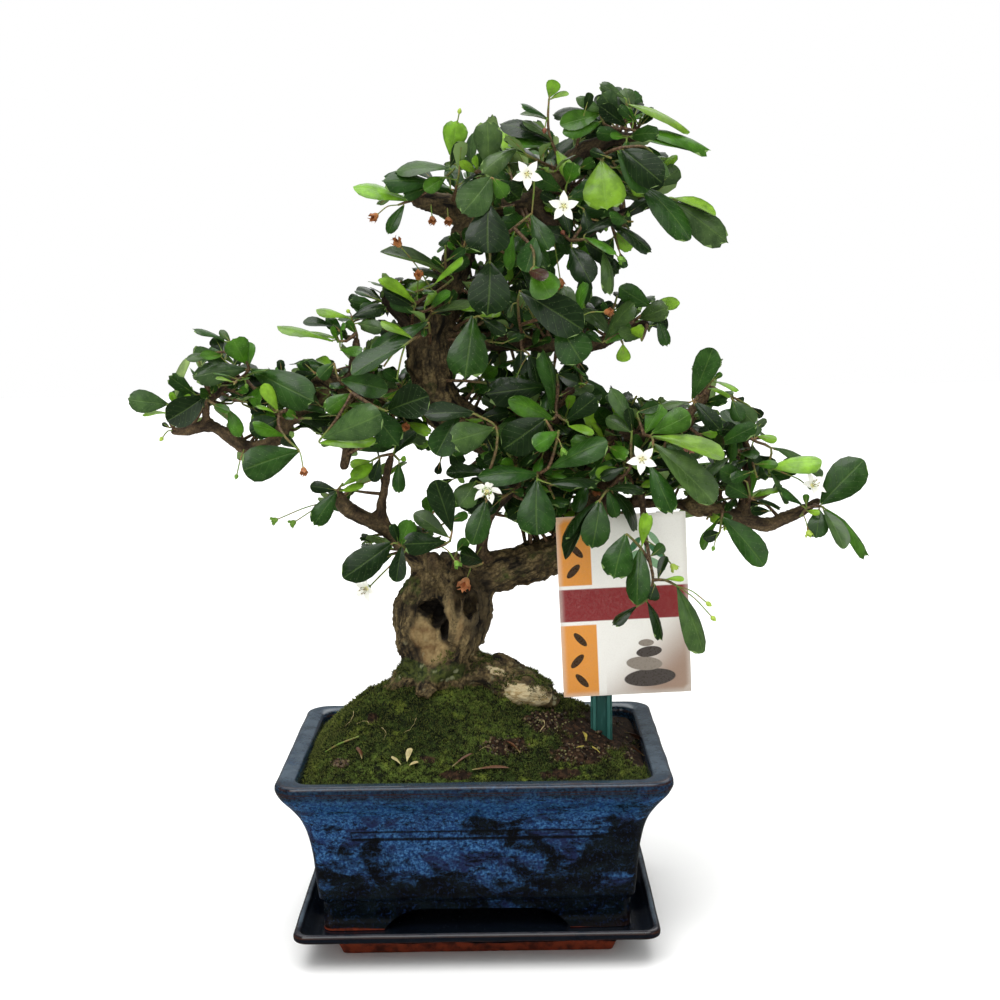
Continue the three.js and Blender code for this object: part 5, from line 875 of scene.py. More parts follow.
trayOutline = [
    (24.5, 0, 0, 0.0), (23.2, 0, 0.8, 0.3), (21, 6, 1.2, 0.1), (19, 8, 1.2, 0.3), (12, 11.2, 4, 0.0),
    (2.4, 14.8, 1.5, 0.3), (0.2, 16, 0.8, 0.7), (0, 18.8, 1.0, 0.8), (1.4, 20, 1.2, 1.0), (3.2, 19.6, 1.0, 0.6),
    (4.4, 18.2, 1.5, 0.1), (9.4, 14.7, 2.5, 0.0), (13, 13.7, 2.0, 0.0), (40, 13.7, 0, 0.0),
]
traySet = {"width": 186, "depth": 147, "corner": 7, "waviness": 0.25, "sideSteps": 24, "cornerSteps": 8}


def cutWith(piece, cutters):
    for cutter in cutters:
        modifier = piece.modifiers.new("cut", "BOOLEAN")
        modifier.operation, modifier.solver, modifier.object = "DIFFERENCE", "MANIFOLD", cutter
    applyModifiers(piece)
    for cutter in cutters:
        bpy.data.objects.remove(cutter)


# Cutter from one of bmesh's plain shapes; place says where each of its points goes
def plainCutter(make, place, **sizes):
    work = bmesh.new()
    make(work, **sizes)
    for vert in work.verts:
        vert.co = place(vert.co)
    mesh = bpy.data.meshes.new("cutter")
    work.to_mesh(mesh)
    work.free()
    return inScene("cutter", mesh)


def boxCutter(low, high):
    low, high = Vector(low), Vector(high)
    cutter = plainCutter(bmesh.ops.create_cube, lambda at: ((low + high) / 2 + at * (high - low)) * mm, size=1)
    cutter.data.materials.append(potGlaze)
    return cutter


def tubeCutter(x, radius, low, high):
    middle = Vector((x, 0, (low + high) / 2)) * mm
    cutter = plainCutter(bmesh.ops.create_cone, lambda at: at + middle, segments=32, radius1=radius * mm,
                         radius2=radius * mm, depth=(high - low) * mm, cap_ends=True)
    cutter.data.materials.append(potGlaze)
    return cutter


# Arch under a wall: low in the middle of the wall, with rounded shoulders
def archCutter(width, reach, turned):
    foot, steps, half = potSet["foot"], potSet["archSteps"], width / 2
    rise, shoulder = potSet["floorUnder"] - foot, potSet["archShoulder"]
    bend = []
    for k in range(steps + 1):
        t = k / steps
        bend.append(((1 - t) ** 2 * half + 2 * t * (1 - t) * (half - shoulder / 3) + t ** 2 * (half - shoulder),
                     2 * t * (1 - t) * rise + t ** 2 * rise))
    outline = [(-half, -5), *((-x, z) for x, z in bend), *reversed(bend), (half, -5)]
    points = []
    for side in (-reach / 2, reach / 2):
        for x, z in outline:
            points.append(Vector((-side, x, z + foot) if turned else (x, side, z + foot)) * mm)
    cutter = meshPiece("cutter", points, tubeFaces(2, len(outline)), potGlaze)
    tidyNormals(cutter)
    return cutter


def makePot():
    p = potSet
    halfWidth, halfDepth, inset, past = p["width"] / 2, p["depth"] / 2, p["footInset"], p["past"]
    pot = stackedBody("glazed_pot", p, potOutline, potGlaze)
    cutters = [archCutter(p["archWidth"], p["depth"] + 2 * past, False),
               archCutter(p["sideArchWidth"], p["width"] + 2 * past, True),
               boxCutter((inset - halfWidth, inset - halfDepth, p["foot"] - 5),
                         (halfWidth - inset, halfDepth - inset, p["floorUnder"]))]
    for x in (-p["drainOffset"], p["drainOffset"]):
        cutters.append(tubeCutter(x, p["drainRadius"], p["floorUnder"] - 8, p["floorTop"] + 8))
    wallFace, half = halfDepth - p["panelWall"] - p["panelDepth"], p["panelWidth"] / 2
    for side in (-1, 1):
        near, far = sorted((side * wallFace, side * (wallFace + 6)))
        cutters.append(boxCutter((-half, near, p["panelBottom"]), (half, far, p["panelTop"])))
    cutWith(pot, cutters)
    smoothed(pot.data, 38)
    takePlace(pot, "pot_glaze", "pot")


makePot()
takePlace(stackedBody("glazed_tray", traySet, trayOutline, trayGlaze), "tray_glaze", "drip_tray")
print("pot and tray made")


# Centripetal curve through points; every point is a station, and the ring frame turns as little as it can
def curveThrough(points, time):
    i = min(int(time), len(points) - 2)
    w = time - i
    p1, p2 = points[i], points[i + 1]
    p0 = points[i - 1] if i > 0 else 2 * p1 - p2
    p3 = points[i + 2] if i + 2 < len(points) else 2 * p2 - p1
    d0, d1, d2 = (max((a - b).length, 1e-9) ** 0.5 for a, b in ((p0, p1), (p1, p2), (p2, p3)))
    t1 = ((p1 - p0) / d0 - (p2 - p0) / (d0 + d1) + (p2 - p1) / d1) * d1
    t2 = ((p2 - p1) / d1 - (p3 - p1) / (d1 + d2) + (p3 - p2) / d2) * d1
    return p1 + t1 * w + (3 * (p2 - p1) - 2 * t1 - t2) * w * w + (2 * (p1 - p2) + t1 + t2) * w ** 3


def stationsAlong(points, radii, step):
    stations, arc, last = [], 0.0, points[0]
    for i in range(len(points) - 1):
        parts = max(1, round((points[i + 1] - points[i]).length / step))
        for k in range(0 if i == 0 else 1, parts + 1):
            t = k / parts
            ease = t * t * (3 - 2 * t)
            place = curveThrough(points, i + t) if i + t < len(points) - 1 else points[-1].copy()
            arc += (place - last).length
            last = place
            stations.append({"place": place, "radius": radii[i] + (radii[i + 1] - radii[i]) * ease, "arc": arc})
    for i, station in enumerate(stations):
        before, after = stations[max(i - 1, 0)]["place"], stations[min(i + 1, len(stations) - 1)]["place"]
        station["ahead"] = (after - before).normalized()
    first = stations[0]["ahead"]
    aside = Vector((0, 0, 1)) if abs(first.z) < 0.8 else Vector((1, 0, 0))
    normal, ahead = first.cross(aside).normalized(), first
    for station in stations:
        normal = (ahead.rotation_difference(station["ahead"]) @ normal).normalized()
        ahead = station["ahead"]
        station["normal"], station["beside"] = normal.copy(), ahead.cross(normal).normalized()
    return stations


# Wood: one run for the trunk, limbs that start inside the limb they grow from, and the old wound's swellings.
# Each point is (picture x, picture y, depth, radius)
woodSet = {
    "sides": 20, "thinSides": 12, "thickFrom": 5, "step": 2.5, "ends": [(0.45, 0.8), (0.75, 0.45)],
    "firstVoxel": 1.5, "voxel": 1.15, "wander": 0.09, "smoothing": 1, "fissureDepth": 1.0, "lumpHeight": 2.3,
    "grainLength": 0.3, "nearStations": 6,
}
swellings = {
    "callus": [(450, 588, -9, 3.2), (449, 606, -11, 3.6), (449, 624, -11.5, 3.4), (452, 640, -11, 3.0),
               (459, 636, -12, 3.0), (463, 620, -11, 2.6), (464, 606, -8, 2.2)],
    "rightCheek": [(474, 588, 8, 8), (478, 604, 8, 9), (474, 624, 8, 9), (462, 646, 6, 9)],
    "leftFoot": [(418, 650, 2, 11), (410, 632, 0, 9), (409, 612, 0, 7)],
    "buttress": [(440, 660, -2, 12), (430, 672, -8, 9), (424, 690, -14, 6)],
    "rootShoulder": [(484, 668, 5, 8), (499, 667, 4, 8.4), (514, 672, 3, 7)],
    "rootBulge": [(504, 690, -5, 7), (524, 690, -7, 8.8), (542, 694, -5, 7.6)],
    "stub": [(430, 572, 3, 4.4), (431, 562, 2, 3.6), (436, 557, 2, 2.8)],
    "elbowKnot": [(598, 500, 16, 9), (606, 495, 13, 6)],
    "bendKnot": [(430, 398, 4, 8), (424, 392, 1, 5)],
    "forkKnot": [(432, 352, 6, 9), (424, 344, 2, 5)],
    "crownKnot": [(474, 208, 10, 8), (482, 200, 6, 5)],
    "leftKnot": [(330, 389, -10, 6), (322, 396, -12, 4.6)],
    "backRoot": [(446, 690, 26, 14), (440, 700, 40, 9), (432, 706, 52, 5)],
    "backRoot2": [(456, 690, 26, 13), (478, 700, 38, 8), (500, 704, 48, 4)],
}
# Hollows cut into the wound, as (picture x, picture y, depth, half width, half height, half depth, turn)
hollows = [
    (431, 609, -10, 7.0, 4.0, 14, -6), (438, 616, -10, 4.2, 6.0, 14, 24), (445, 629, -12, 2.1, 6.6, 11, 8),
    (465, 587, -8, 6.5, 5.0, 11, -20), (470, 604, -6, 3.6, 8.0, 9, 10), (457, 604, -12, 1.6, 6, 7, 4),
    (414, 607, -13, 2.6, 2.0, 4, 0),
]
# Where the wood differs: painted deep shade in the hollows and on the lump's right side, weathered wood, the cut
# root's end and moss, each with its weight
woodMarks = {
    "hollowShade": [(432, 609, -8, 7.4, 4.6, 30, -6, 1), (440, 618, -8, 4.0, 6.5, 30, 24, 1),
                   (445, 630, -8, 2.4, 7.0, 30, 8, 1), (466, 588, -6, 10, 8, 30, -20, 0.62),
                   (472, 605, -4, 6, 13, 30, 10, 0.6), (458, 606, -8, 2.4, 7, 30, 4, 0.6),
                   (414, 607, -8, 3.0, 2.2, 30, 0, 0.8), (481, 608, 0, 8, 22, 30, 8, 0.6)],
    "bareWood": [(424, 634, -8, 8.0, 10, 30, -25, 1), (434, 651, -8, 8.5, 7, 30, -20, 1),
                 (460, 628, -10, 2.6, 11, 30, 14, 0.8), (449, 612, -12, 1.8, 10, 30, 0, 0.7)],
    "cutWood": [(526, 692, -6, 15, 6.5, 30, 14, 1), (496, 670, -2, 6.5, 2.8, 30, 18, 0.75)],
    "mossiness": [(446, 670, -6, 17, 8, 30, 0, 0.66), (496, 662, 0, 11, 6, 30, 0, 0.5),
                  (412, 668, -6, 12, 7, 30, 0, 0.8), (408, 590, -6, 10, 12, 30, -20, 0.55),
                  (534, 562, 6, 34, 9, 30, -24, 0.5), (434, 340, 0, 6, 16, 30, 0, 0.35),
                  (432, 392, 0, 8, 8, 30, 0, 0.45)],
}


# Share of each point within the ovals, fading out over their borders
def markedShare(places, ovals):
    share = np.zeros(len(places), np.float32)
    for x, y, depth, halfWidth, halfHeight, halfDepth, turn, weight in ovals:
        spin = np.array(Matrix.Rotation(math.radians(turn), 3, "Y"))
        offset = (places - np.array(seenAt(x, y, depth))) @ spin / mm
        distance = np.linalg.norm(offset / (halfWidth, halfDepth, halfHeight), axis=1)
        share = np.maximum(share, np.clip((1.3 - distance) / 0.7, 0, 1) * weight)
    return share


def limbMesh(points, offset):
    places = [seenAt(*p[:3]) for p in points]
    stations = stationsAlong(places, [p[3] * mm for p in points], woodSet["step"] * mm)
    sides = woodSet["sides"] if points[0][3] > woodSet["thickFrom"] else woodSet["thinSides"]
    first, last, ring = stations[0], stations[-1], []
    rows = [(first["place"] - first["ahead"] * first["radius"] * a, first, b) for a, b in reversed(woodSet["ends"])]
    rows += [(s["place"], s, 1.0) for s in stations]
    rows += [(last["place"] + last["ahead"] * last["radius"] * a, last, b) for a, b in woodSet["ends"]]
    for place, station, share in rows:
        for s in range(sides):
            angle = 2 * math.pi * s / sides
            out = station["normal"] * math.cos(angle) + station["beside"] * math.sin(angle)
            spot = (place + out * station["radius"]) * 90 + Vector((offset, 0, 0))
            swell = 1 + woodSet["wander"] * (noise.noise(spot) + 0.6 * noise.noise(spot * 2.3))
            ring.append(place + out * station["radius"] * share * swell)
    return ring, tubeFaces(len(rows), sides), stations


def remesh(piece, voxel):
    modifier = piece.modifiers.new("remesh", "REMESH")
    modifier.mode, modifier.voxel_size, modifier.adaptivity = "VOXEL", voxel * mm, 0
    applyModifiers(piece)


def hollowCutter(x, y, depth, halfWidth, halfHeight, halfDepth, turn):
    centre, spin = seenAt(x, y, depth), Matrix.Rotation(math.radians(turn), 3, "Y")

    def place(at):
        rough = 1 + 0.22 * noise.noise(at * 1.7 + centre * 200)
        return spin @ (at * Vector((halfWidth, halfDepth, halfHeight))) * rough * mm + centre

    return plainCutter(bmesh.ops.create_icosphere, place, subdivisions=3, radius=1)


# Geometry nodes: stored fields, parts joined, and instances made real with their material
def fieldOf(tree, name, kind="FLOAT"):
    return addNode(tree, "GeometryNodeInputNamedAttribute", {"Name": name}, data_type=kind).outputs["Attribute"]


def storeField(geometry, name, value):
    sockets = {"Geometry": geometry, "Name": name, "Value": value}
    return nodeOn("GeometryNodeStoreNamedAttribute", sockets).outputs[0]


def joined(first, second):
    node = nodeOn("GeometryNodeJoinGeometry", {0: first})
    fill(node.inputs[0], second)
    return node.outputs[0]


def madeReal(geometry, material):
    real = nodeOn("GeometryNodeRealizeInstances", {"Geometry": geometry}).outputs[0]
    return nodeOn("GeometryNodeSetMaterial", {"Geometry": real, "Material": material}).outputs[0]


# Bark relief: knobs and lengthwise fissures, deeper where the limb is thick
def makeBarkRelief():
    tree, given, out = newGroup(
        "barkRelief", {"Geometry": "Geometry", "Fissure Depth": 0.001, "Lump Height": 0.001, "Grain Length": 0.3,
                       "Bark": "Material"}, {"Geometry": "Geometry"}, "GeometryNodeTree")
    place, girth = fieldOf(tree, "barkPlace", "FLOAT_VECTOR"), fieldOf(tree, "girth")
    thick = fade(girth, 2.0 * mm, 11 * mm, 0.3, 1.0)
    lengthwise = nodeOn("ShaderNodeCombineXYZ", {"X": 1.0, "Y": 1.0, "Z": given["Grain Length"]}).outputs[0]
    along = stretched(place, lengthwise)
    ridges = grain(along, 3.0, 3.0, 0.6, 0.6)
    crack = fade(calc("ABSOLUTE", minus(ridges, 0.5)), 0.075, 0.0)
    seams = fade(cells(along, 4.2, 0.9, "Distance", "DISTANCE_TO_EDGE"), 0.12, 0.0)
    cleft = calc("MAXIMUM", times(crack, 0.8), times(seams, fade(girth, 5 * mm, 11 * mm)))
    lift = times(minus(grain(place, 6.5, 5.0, 0.68, 0.2), 0.48), given["Lump Height"])
    lift = plus(lift, times(minus(0.42, cells(place, 7.0)), given["Lump Height"], 0.5))
    push = times(minus(times(lift, 2.0), times(cleft, given["Fissure Depth"])), thick)
    normal = addNode(tree, "GeometryNodeInputNormal").outputs[0]
    offset = nodeOn("ShaderNodeVectorMath", {0: normal, "Scale": push}, operation="SCALE").outputs[0]
    marked = storeField(given["Geometry"], "fissure", times(cleft, thick))
    moved = nodeOn("GeometryNodeSetPosition", {"Geometry": marked, "Offset": offset}).outputs[0]
    feed(out, Geometry=madeReal(moved, given["Bark"]))
    return tree


def meshNumbers(mesh):
    places = np.zeros(len(mesh.vertices) * 3, np.float32)
    mesh.vertices.foreach_get("co", places)
    return places.reshape(-1, 3)


# For each point of the wood: coordinates along and round its limb, and that limb's radius
def straightened(places, runs):
    every = [(s, offset) for stations, offset in runs for s in stations]
    tree = KDTree(len(every))
    for i, (station, _) in enumerate(every):
        tree.insert(station["place"], i)
    tree.balance()
    barkPlace, girth = np.zeros((len(places), 3), np.float32), np.zeros(len(places), np.float32)
    for v, place in enumerate(places):
        point = Vector(place)
        near = tree.find_n(point, woodSet["nearStations"])
        station, offset = every[min(near, key=lambda n: n[2] - every[n[1]][0]["radius"])[1]]
        away = point - station["place"]
        barkPlace[v] = (away.dot(station["normal"]) + offset, away.dot(station["beside"]),
                        station["arc"] + away.dot(station["ahead"]))
        girth[v] = station["radius"]
    return barkPlace, girth


def makeWood():
    w = woodSet
    points, faces, runs = [], [], []
    for index, run in enumerate([trunkRun, *limbs.values(), *swellings.values()]):
        ring, walls, stations = limbMesh(run, index * 3.1)
        faces += [tuple(i + len(points) for i in face) for face in walls]
        points += ring
        if index <= len(limbs):
            runs.append((stations, index * 0.31))
    wood = meshPiece("trunk_and_limbs", points, faces, barkMaterial)
    remesh(wood, w["firstVoxel"])
    cutWith(wood, [hollowCutter(*hollow) for hollow in hollows])
    remesh(wood, w["voxel"])
    modifier = wood.modifiers.new("soften", "SMOOTH")
    modifier.factor, modifier.iterations = 0.5, w["smoothing"]
    applyModifiers(wood)
    places = meshNumbers(wood.data)
    barkPlace, girth = straightened(places, runs)
    store(wood.data, "barkPlace", barkPlace, "FLOAT_VECTOR")
    store(wood.data, "girth", girth)
    for label, ovals in woodMarks.items():
        store(wood.data, label, markedShare(places, ovals))
    growMesh(wood, makeBarkRelief(), FissureDepth=w["fissureDepth"] * mm, LumpHeight=w["lumpHeight"] * mm,
             GrainLength=w["grainLength"], Bark=barkMaterial)
    wood.data.polygons.foreach_set("use_smooth", [True] * len(wood.data.polygons))
    print("wood made,", len(wood.data.polygons), "faces")
    return takePlace(wood, "bark", "trunk_with_limbs"), runs


woodPiece, woodRuns = makeWood()


# Blade shapes: closed, of unit length; x runs across, y from the base to the tip, z up.
# Widths run from base to tip; the last row is blunt or toothed
bladeRows = (0, 0.1, 0.25, 0.42, 0.6, 0.76, 0.9, 1)
bladeColumns = (0, 0.2, 0.42, 0.5, 0.58, 0.8, 1)
toothColumns = (0.25, -1, -0.2, 1, -0.2, -1, 0.25)
# Rows and columns of the blades in front, and fewer of them for the many leaves behind
fineGrid = range(8), range(7)
coarseGrid = (0, 2, 4, 6, 7), (0, 1, 3, 5, 6)
bladeWidths = {
    "spoon": (0.07, 0.2, 0.44, 0.72, 0.94, 1, 0.88, 0.52),
    "oval": (0.09, 0.36, 0.7, 0.94, 1, 0.9, 0.64, 0.24),
    "petal": (0.3, 0.55, 0.86, 1, 0.9, 0.62, 0.3, 0.05),
}
# Each blade as (outline, share of that outline, teeth, arch, cup, ripple, lean)
bladeLooks = [
    ("spoon", 1.0, 0.02, 0.09, 0.05, 0.006, 0.0), ("spoon", 0.8, 0.0, 0.07, 0.08, 0.01, 0.04),
    ("spoon", 0.5, 0.02, 0.11, 0.03, 0.012, -0.05), ("spoon", 0.9, 0.0, 0.05, -0.05, 0.008, 0.03),
    ("spoon", 0.3, 0.0, 0.09, 0.06, 0.01, -0.03), ("spoon", 0.7, 0.03, 0.12, 0.09, 0.014, 0.05),
    ("spoon", 0.6, 0.0, 0.06, -0.07, 0.012, -0.04), ("spoon", 1.0, 0.035, 0.08, 0.07, 0.01, -0.02),
    ("petal", 1.0, 0.0, 0.1, -0.08, 0.008, 0.02), ("petal", 1.0, 0.0, -0.16, 0.1, 0.03, -0.05),
]
leafCount, petalFlat, petalCurled = 8, 8, 9
bladeThickness = 0.02
shapeShelf = bpy.data.collections.new("shapeShelf")
shapes = []


def addShape(points, faces, sides, placing, crease):
    mesh = bpy.data.meshes.new("shape")
    mesh.from_pydata(points, [], faces)
    smoothed(mesh, crease)
    store(mesh, "leafPlace", placing, "FLOAT_VECTOR")
    store(mesh, "leafSide", sides, domain="FACE")
    shapeShelf.objects.link(bpy.data.objects.new("shape%02d" % len(shapes), mesh))
    shapes.append({"points": np.array(points), "faces": faces})
    return len(shapes) - 1


# How high the middle of a blade stands at a share of its length
def archAt(arch, v):
    return arch * 3.4 * v * (1 - v)


def bladeShape(grid, outline, share, teeth, arch, cup, ripple, lean):
    rows, columns = len(grid[0]), len(grid[1])
    points, placing, under = [], [], {}
    for r, row in enumerate(grid[0]):
        v = bladeRows[row]
        width = bladeWidths["oval"][row] + (bladeWidths[outline][row] - bladeWidths["oval"][row]) * share
        for column in grid[1]:
            u = bladeColumns[column]
            side = 2 * u - 1
            x = width / 2 * side + lean * v * (1 - v) * 2
            y = v - 0.035 * v ** 6 * side * side
            if r == rows - 1:
                y += teeth * toothColumns[column]
            elif r == rows - 2 and teeth and abs(side) == 1:
                x *= 1 - teeth * 1.6
            z = archAt(arch, v) - cup * side * side * width + ripple * math.sin(9 * v + 2 * side) * abs(side)
            z -= 0.012 * (u == 0.5) * (1 - v)  # the groove over the rib
            points.append((x, y, z))
            placing.append((u, v, 0))
    for r in range(1, rows - 1):
        for c in range(1, columns - 1):
            x, y, z = points[r * columns + c]
            u, v, _ = placing[r * columns + c]
            under[r, c] = len(points)
            points.append((x, y, z - bladeThickness * (1 - (2 * u - 1) ** 4)))
            placing.append((u, v, 0))
    faces, sides = [], []
    for r in range(rows - 1):
        for c in range(columns - 1):
            corners = [(r, c), (r, c + 1), (r + 1, c + 1), (r + 1, c)]
            faces.append(tuple(a * columns + b for a, b in corners))
            faces.append(tuple(under.get(k, k[0] * columns + k[1]) for k in reversed(corners)))
            sides += [0, 1]
    return addShape(points, faces, sides, placing, 80)


# Round shapes: a profile of (radius, height) turned about y; every second point of a toothed row drops
def roundShape(profile, sides=8, toothRow=None, drop=0.35):
    points, placing, faces = [(0, profile[0][1], 0)], [(0, 0, 0)], []
    for row, (radius, height) in enumerate(profile):
        for s in range(sides):
            angle = 2 * math.pi * s / sides
            y = height - drop * (row == toothRow and s % 2)
            points.append((radius * math.cos(angle), y, -radius * math.sin(angle)))
            placing.append((s / sides, height, 0))
    points.append((0, profile[-1][1], 0))
    placing.append((0, profile[-1][1], 0))
    for s in range(sides):
        n = (s + 1) % sides
        faces.append((0, 1 + n, 1 + s))
        for row in range(len(profile) - 1):
            base = 1 + row * sides
            faces.append((base + s, base + n, base + n + sides, base + s + sides))
        base = 1 + (len(profile) - 1) * sides
        faces.append((base + s, base + n, len(points) - 1))
    return addShape(points, faces, [0] * len(faces), placing, 55)


for look in bladeLooks:
    bladeShape(fineGrid, *look)
budShape = roundShape([(0.12, 0), (0.3, 0.14), (0.42, 0.38), (0.36, 0.62), (0.2, 0.84), (0.05, 1)])
calyxShape = roundShape([(0.14, 0), (0.34, 0.2), (0.44, 0.5), (0.62, 1), (0.4, 0.55), (0.16, 0.35)], 10, 3)
antherShape = roundShape([(0.2, 0), (0.45, 0.25), (0.45, 0.75), (0.2, 1)], 6)
coarseShapes = [bladeShape(coarseGrid, *look) for look in bladeLooks[:leafCount]]


# Stems swept along their curves, and shapes set on points with their own turn, size and tint
def makeGrowth():
    tree, given, out = newGroup(
        "growOnStems", {"Geometry": "Geometry", "Stems": "Object", "Shapes": "Collection", "Stem Sides": 6,
                        "Shape Material": "Material", "Stem Material": "Material"},
        {"Geometry": "Geometry"}, "GeometryNodeTree")
    lines = nodeOn("GeometryNodeObjectInfo", {"Object": given["Stems"]}).outputs["Geometry"]
    radius = addNode(tree, "GeometryNodeInputRadius").outputs[0]
    ring = nodeOn("GeometryNodeCurvePrimitiveCircle", {"Resolution": given["Stem Sides"], "Radius": 1.0}).outputs[0]
    swept = nodeOn("GeometryNodeCurveToMesh", {
        "Curve": storeField(lines, "girth", radius), "Profile Curve": ring, "Scale": radius,
        "Fill Caps": True}).outputs[0]
    chosen = nodeOn("GeometryNodeCollectionInfo", {
        "Collection": given["Shapes"], "Separate Children": True, "Reset Children": True}).outputs[0]
    placed = nodeOn("GeometryNodeInstanceOnPoints", {
        "Points": given["Geometry"], "Instance": chosen, "Pick Instance": True,
        "Instance Index": fieldOf(tree, "shape", "INT"), "Rotation": fieldOf(tree, "turn", "FLOAT_VECTOR"),
        "Scale": fieldOf(tree, "size", "FLOAT_VECTOR")}).outputs[0]
    bladed = madeReal(joined(placed, storeField(swept, "isStem", 1.0)), given["Shape Material"])
    stemmed = nodeOn("GeometryNodeSetMaterial", {
        "Geometry": bladed, "Selection": fieldOf(tree, "isStem"), "Material": given["Stem Material"]})
    feed(out, Geometry=stemmed.outputs[0])
    return tree


growOnStems = makeGrowth()


# One grown piece. A seed is (place, turn matrix, size, shape, tint), a stem a list of (place, radius in mm)
def growPiece(name, seeds, stems, material, sides=6):
    mesh = bpy.data.meshes.new(name)
    mesh.from_pydata([tuple(seed[0]) for seed in seeds], [], [])
    store(mesh, "turn", [tuple(seed[1].to_euler()) for seed in seeds], "FLOAT_VECTOR")
    store(mesh, "size", [[number * mm for number in seed[2]] for seed in seeds], "FLOAT_VECTOR")
    store(mesh, "shape", [seed[3] for seed in seeds], "INT")
    store(mesh, "leafTint", [seed[4] for seed in seeds], "FLOAT_COLOR")
    curve = bpy.data.curves.new("stems", "CURVE")
    curve.dimensions = "3D"
    for stem in stems:
        spline = curve.splines.new("POLY")
        spline.points.add(len(stem) - 1)
        for point, (place, radius) in zip(spline.points, stem):
            point.co, point.radius = (*place, 1), radius * mm
    piece, lines = inScene(name, mesh), inScene("stems", curve)
    growMesh(piece, growOnStems, Stems=lines, Shapes=shapeShelf, StemSides=sides, ShapeMaterial=material,
             StemMaterial=twigMaterial)
    bpy.data.objects.remove(lines)
    return piece


# Flowers. Petals are (length, width) in millimetres
flowerSet = {
    "petals": 5, "petal": (7.6, 4.2), "petalOut": 0.5, "rise": 16, "calyx": (2.6, 3.6), "throat": (2.2, 1.3),
    "stamens": 5, "stamenLength": 3.4, "anther": (0.7, 1.2), "pedicel": 0.42, "white": "f7f7ef",
    "cream": "efe9b4", "green": "86a548", "anthers": "8d7a4e",
}
# Each flower as (middle, turn of its first petal, tilt to the right and downwards, petal, stalk behind it)
flowers = {
    "crown_left": ((527, 174, -50), 0.35, (0.15, 0.1), petalFlat, [(530, 178, -40), (534, 182, -30)]),
    "crown_right": ((564, 206, -40), 0.9, (-0.1, 0.1), petalFlat, [(563, 200, -30), (560, 196, -20)]),
    "right": ((642, 459, -56), 0.2, (0.05, 0.15), petalFlat, [(644, 454, -48)]),
    "centre": ((487, 491, -48), 0.6, (-0.1, 1.0), petalCurled, [(490, 488, -40)]),
    "right_tip": ((812, 486, -8), 0.0, (0.7, -0.5), petalFlat, [(800, 480, -6), (784, 473, -8)]),
    "low_left": ((367, 588, -26), 0.5, (-0.8, 0.5), petalFlat, [(376, 580, -22), (388, 568, -18)]),
}


# Turn of a blade that runs along a direction with its face to a second one
def bladeTurn(along, normal):
    return Matrix((along.cross(normal), along, normal)).transposed()


# Seeds and stamens of one flower, which looks at the camera apart from its tilt
def flowerSeeds(middle, firstTurn, tilt, petal, _):
    f, centre = flowerSet, seenAt(*middle)
    axis = ((eye - centre).normalized() + cameraRight * tilt[0] - cameraUp * tilt[1]).normalized()
    first = axis.cross(cameraUp).normalized()
    second = axis.cross(first)
    seeds, stems = [], []

    def outwards(angle):
        return first * math.cos(angle) + second * math.sin(angle)

    (length, width), lift = f["petal"], math.radians(f["rise"])
    for k in range(f["petals"]):
        out = outwards(firstTurn + 2 * math.pi * k / f["petals"])
        turn = bladeTurn(out * math.cos(lift) + axis * math.sin(lift), axis * math.cos(lift) - out * math.sin(lift))
        seeds.append((centre + out * f["petalOut"] * mm, turn, (width, length, length), petal, paint(f["white"])))
    upright = Matrix((first, axis, first.cross(axis))).transposed()
    radius, height = f["calyx"]
    back = centre - axis * (height - 1.0) * mm
    seeds.append((back, upright, (radius * 1.6, height, radius * 1.6), calyxShape, paint(f["green"])))
    radius, height = f["throat"]
    seeds.append((centre - axis * 0.3 * mm, upright, (radius * 1.4, height, radius * 1.4), budShape,
                  paint(f["cream"])))
    width, length = f["anther"]
    for k in range(f["stamens"]):
        out = outwards(firstTurn + 0.6 + 2 * math.pi * k / f["stamens"])
        tip = centre + (axis * f["stamenLength"] + out * 1.7) * mm
        stems.append([(centre, 0.16), (centre.lerp(tip, 0.5) + out * 0.2 * mm, 0.14), (tip, 0.13)])
        seeds.append((tip, upright, (width, length, width), antherShape, paint(f["anthers"])))
    return seeds, stems, back


# Leaves of each spray; tones are the greens that single leaves have in the picture
leafSet = {
    "slenderness": 0.46, "twigStart": 1.0, "twigEnd": 0.55, "petiole": 0.42, "ribEnd": 0.14,
    "swings": (0, 3, -3, 6, -6, 10, -10, 14, -14), "lengths": (1, 0.85, 0.7), "seed": 5, "step": 3.5,
    "ribPoints": (0.06, 0.3, 0.55, 0.8), "probes": slice(14, 56, 3), "woodReach": 25,
}
# g, a grey green, stands for the painted sheen of glossy leaves; l is partly young growth and partly painted light
# shining through the leaf
leafTones = {
    "d": "152d0d", "m": "264a16", "b": "42721c", "l": "76a52c", "g": "3f5931", "p": "859a62", "r": "361c15",
}
placedBlades, placedBoxes = [], []
leafDraw = random.Random(leafSet["seed"])


def meshTree(mesh):
    return BVHTree.FromPolygons(meshNumbers(mesh).tolist(), [tuple(p.vertices) for p in mesh.polygons])


woodTree, cardTree = meshTree(woodPiece.data), meshTree(bpy.data.objects["label_card"].data)


def bladeNumbers(seed):
    place, turn, size, shape, _ = seed
    return (shapes[shape]["points"] * (np.array(size) * mm)) @ np.array(turn.transposed()) + np.array(place)


def bladeTree(seed, numbers):
    return BVHTree.FromPolygons(numbers.tolist(), shapes[seed[3]]["faces"])


def keepPlace(seed, numbers):
    placedBlades.append(bladeTree(seed, numbers))
    placedBoxes.append((numbers.min(axis=0), numbers.max(axis=0)))


def insideWood(point):
    nearest, outward, _, _ = woodTree.find_nearest(point, leafSet["woodReach"] * mm)
    return nearest is not None and (point - nearest).dot(outward) < 0


